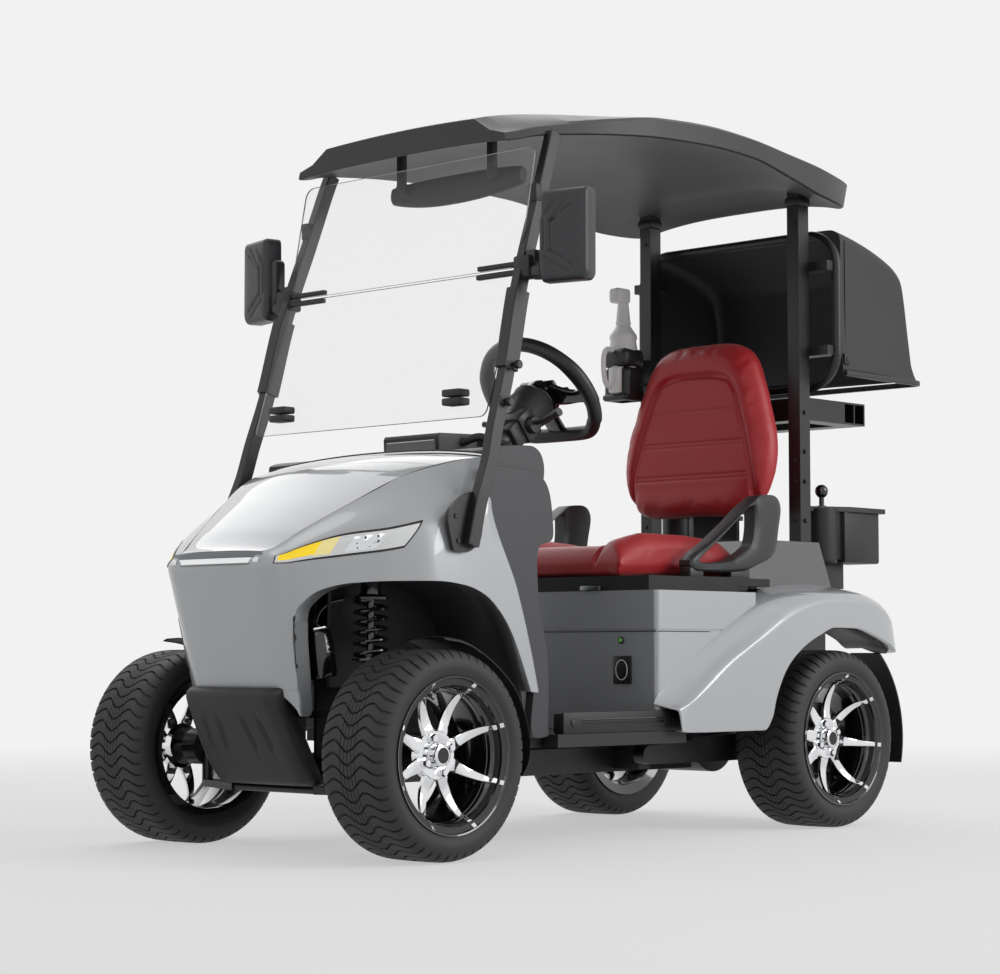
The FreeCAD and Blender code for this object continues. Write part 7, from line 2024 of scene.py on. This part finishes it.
@dataclass
class Studio:
    """The pale floor, the lamps and the camera at the photograph's place."""

    camera_at: tuple = (4.2043, -4.6655, 0.4450)
    yaw_deg: float = 43.36
    pitch_deg: float = 3.87
    lens_mm: float = 88.99
    sensor_mm: float = 36.0
    floor_colour: str = "#f2f2f2"
    floor_radius: float = 9.0
    floor_glow: float = 0.55
    fade_start: float = 2.6
    fade_end: float = 6.5
    surround: float = 0.42
    aim: tuple = (0.0, 0.0, 0.8)
    lamps: tuple = (("key", (-3.2, 1.8, 5.2), (6.4, 5.4), 118), ("side", (5.4, 2.6, 3.0), (3.0, 3.4), 160),
                    ("front", (2.5, -5.0, 3.6), (3.0, 2.0), 12))

    def camera(self) -> None:
        """Places the camera."""
        data = bpy.data.cameras.new("camera")
        data.lens = self.lens_mm
        data.sensor_width = self.sensor_mm
        eye = bpy.data.objects.new("camera", data)
        eye.location = self.camera_at
        eye.rotation_euler = (math.radians(90 + self.pitch_deg), 0, math.radians(self.yaw_deg))
        bpy.context.scene.collection.objects.link(eye)
        bpy.context.scene.camera = eye

    def pale_ray(self, tree: bpy.types.NodeTree) -> bpy.types.NodeSocket:
        """One for camera, glossy and transmission rays, zero for the rest."""
        rays = add_node(tree, "LightPath")
        seen = add_node(tree, "Math", {"operation": "MAXIMUM"},
                        {0: rays.outputs["Is Camera Ray"], 1: rays.outputs["Is Glossy Ray"]})
        return add_node(tree, "Math", {"operation": "MAXIMUM"},
                        {0: seen.outputs[0], 1: rays.outputs["Is Transmission Ray"]}).outputs[0]

    def floor(self) -> None:
        """A wide disc that keeps the cart's shadow and fades into the backdrop."""
        turn = np.arange(96) * 2 * math.pi / 96
        radii = np.array([0.0, 2.0, 4.0, self.floor_radius]) / MILLIMETRE
        grid = np.stack([radii[:, None] * np.cos(turn), radii[:, None] * np.sin(turn),
                         np.zeros((4, 96))], -1)
        floor = sheet_form(grid, False, True).build("floor", [], facing=(0, 0, 1), closed=False)
        material = bpy.data.materials.new("studio floor, painted")
        material.use_nodes = True
        tree = material.node_tree
        tree.nodes.clear()
        pale = self.pale_ray(tree)
        own = add_node(tree, "BsdfDiffuse", {"Color": linear("#e9e9e9")})
        glow = add_node(tree, "Emission", {"Color": linear(self.floor_colour), "Strength": 1.0})
        part = add_node(tree, "Math", {"operation": "MULTIPLY", 1: self.floor_glow}, {0: pale})
        mixed = add_node(tree, "MixShader", {}, {0: part.outputs[0], 1: own.outputs["BSDF"],
                                                2: glow.outputs["Emission"]})
        place = add_node(tree, "TexCoord").outputs["Object"]
        far = add_node(tree, "VectorMath", {"operation": "LENGTH"}, {0: place})
        fade = add_node(tree, "MapRange", {"From Min": self.fade_start, "From Max": self.fade_end,
                                           "interpolation_type": "SMOOTHSTEP"},
                        {"Value": far.outputs["Value"]})
        clear = add_node(tree, "BsdfTransparent")
        whole = add_node(tree, "MixShader", {}, {0: fade.outputs["Result"], 1: mixed.outputs["Shader"],
                                                2: clear.outputs["BSDF"]})
        output = add_node(tree, "OutputMaterial")
        tree.links.new(whole.outputs["Shader"], output.inputs["Surface"])
        floor.data.materials.append(material)

    def world(self) -> None:
        """A pale surround that glass and metal also show."""
        world = bpy.data.worlds.new("studio")
        bpy.context.scene.world = world
        world.use_nodes = True
        tree = world.node_tree
        tree.nodes.clear()
        pale = self.pale_ray(tree)
        seen = add_node(tree, "Background", {"Color": linear(self.floor_colour), "Strength": 1.0})
        light = add_node(tree, "Background", {"Color": linear("#ffffff"), "Strength": self.surround})
        mix = add_node(tree, "MixShader", {}, {0: pale, 1: light.outputs["Background"],
                                              2: seen.outputs["Background"]})
        output = add_node(tree, "OutputWorld")
        tree.links.new(mix.outputs["Shader"], output.inputs["Surface"])

    def lamp(self, name: str, at: Sequence, size: Sequence, watts: float) -> None:
        """A soft rectangular lamp aimed at the cart's middle.

        Args:
            name: the lamp's name.
            at: its place in metres.
            size: its width and height in metres.
            watts: its power.
        """
        data = bpy.data.lights.new(name, "AREA")
        data.shape = "RECTANGLE"
        data.size, data.size_y = size
        data.energy = watts
        lamp = bpy.data.objects.new(name, data)
        lamp.location = at
        away = np.array(at) - self.aim
        flat = math.hypot(away[0], away[1])
        lamp.rotation_euler = (math.atan2(flat, away[2]), 0, math.atan2(away[0], -away[1]))
        bpy.context.scene.collection.objects.link(lamp)

    def build(self) -> None:
        """Sets the whole studio up."""
        bpy.context.scene.view_settings.view_transform = "Standard"
        self.camera()
        self.world()
        self.floor()
        for one in self.lamps:
            self.lamp(*one)


def main() -> None:
    """Builds every sub-assembly in order."""
    Studio().build()
    Carried().build()
    tracks = {"front": (400.2, 0.0, 22.5), "rear": (366.7, 1465.6, -6.9)}
    for end, (half_track, back, turn) in tracks.items():
        for side in Side:
            Wheel(f"{end}_{side.name.lower()}", side, half_track, back, turn).build()
    FrontBody().build()
    Roof().build()
    Windscreen().build()
    for side in Side:
        RearFender(side).build()
    Seat().build()
    Steering().build()
    Mirrors().build()
    BagStand().build()
    RunningGear().build()
    BoxDetails().build()
    Cockpit().build()
    SideBins().build()


if __name__ == "__main__":
    main()
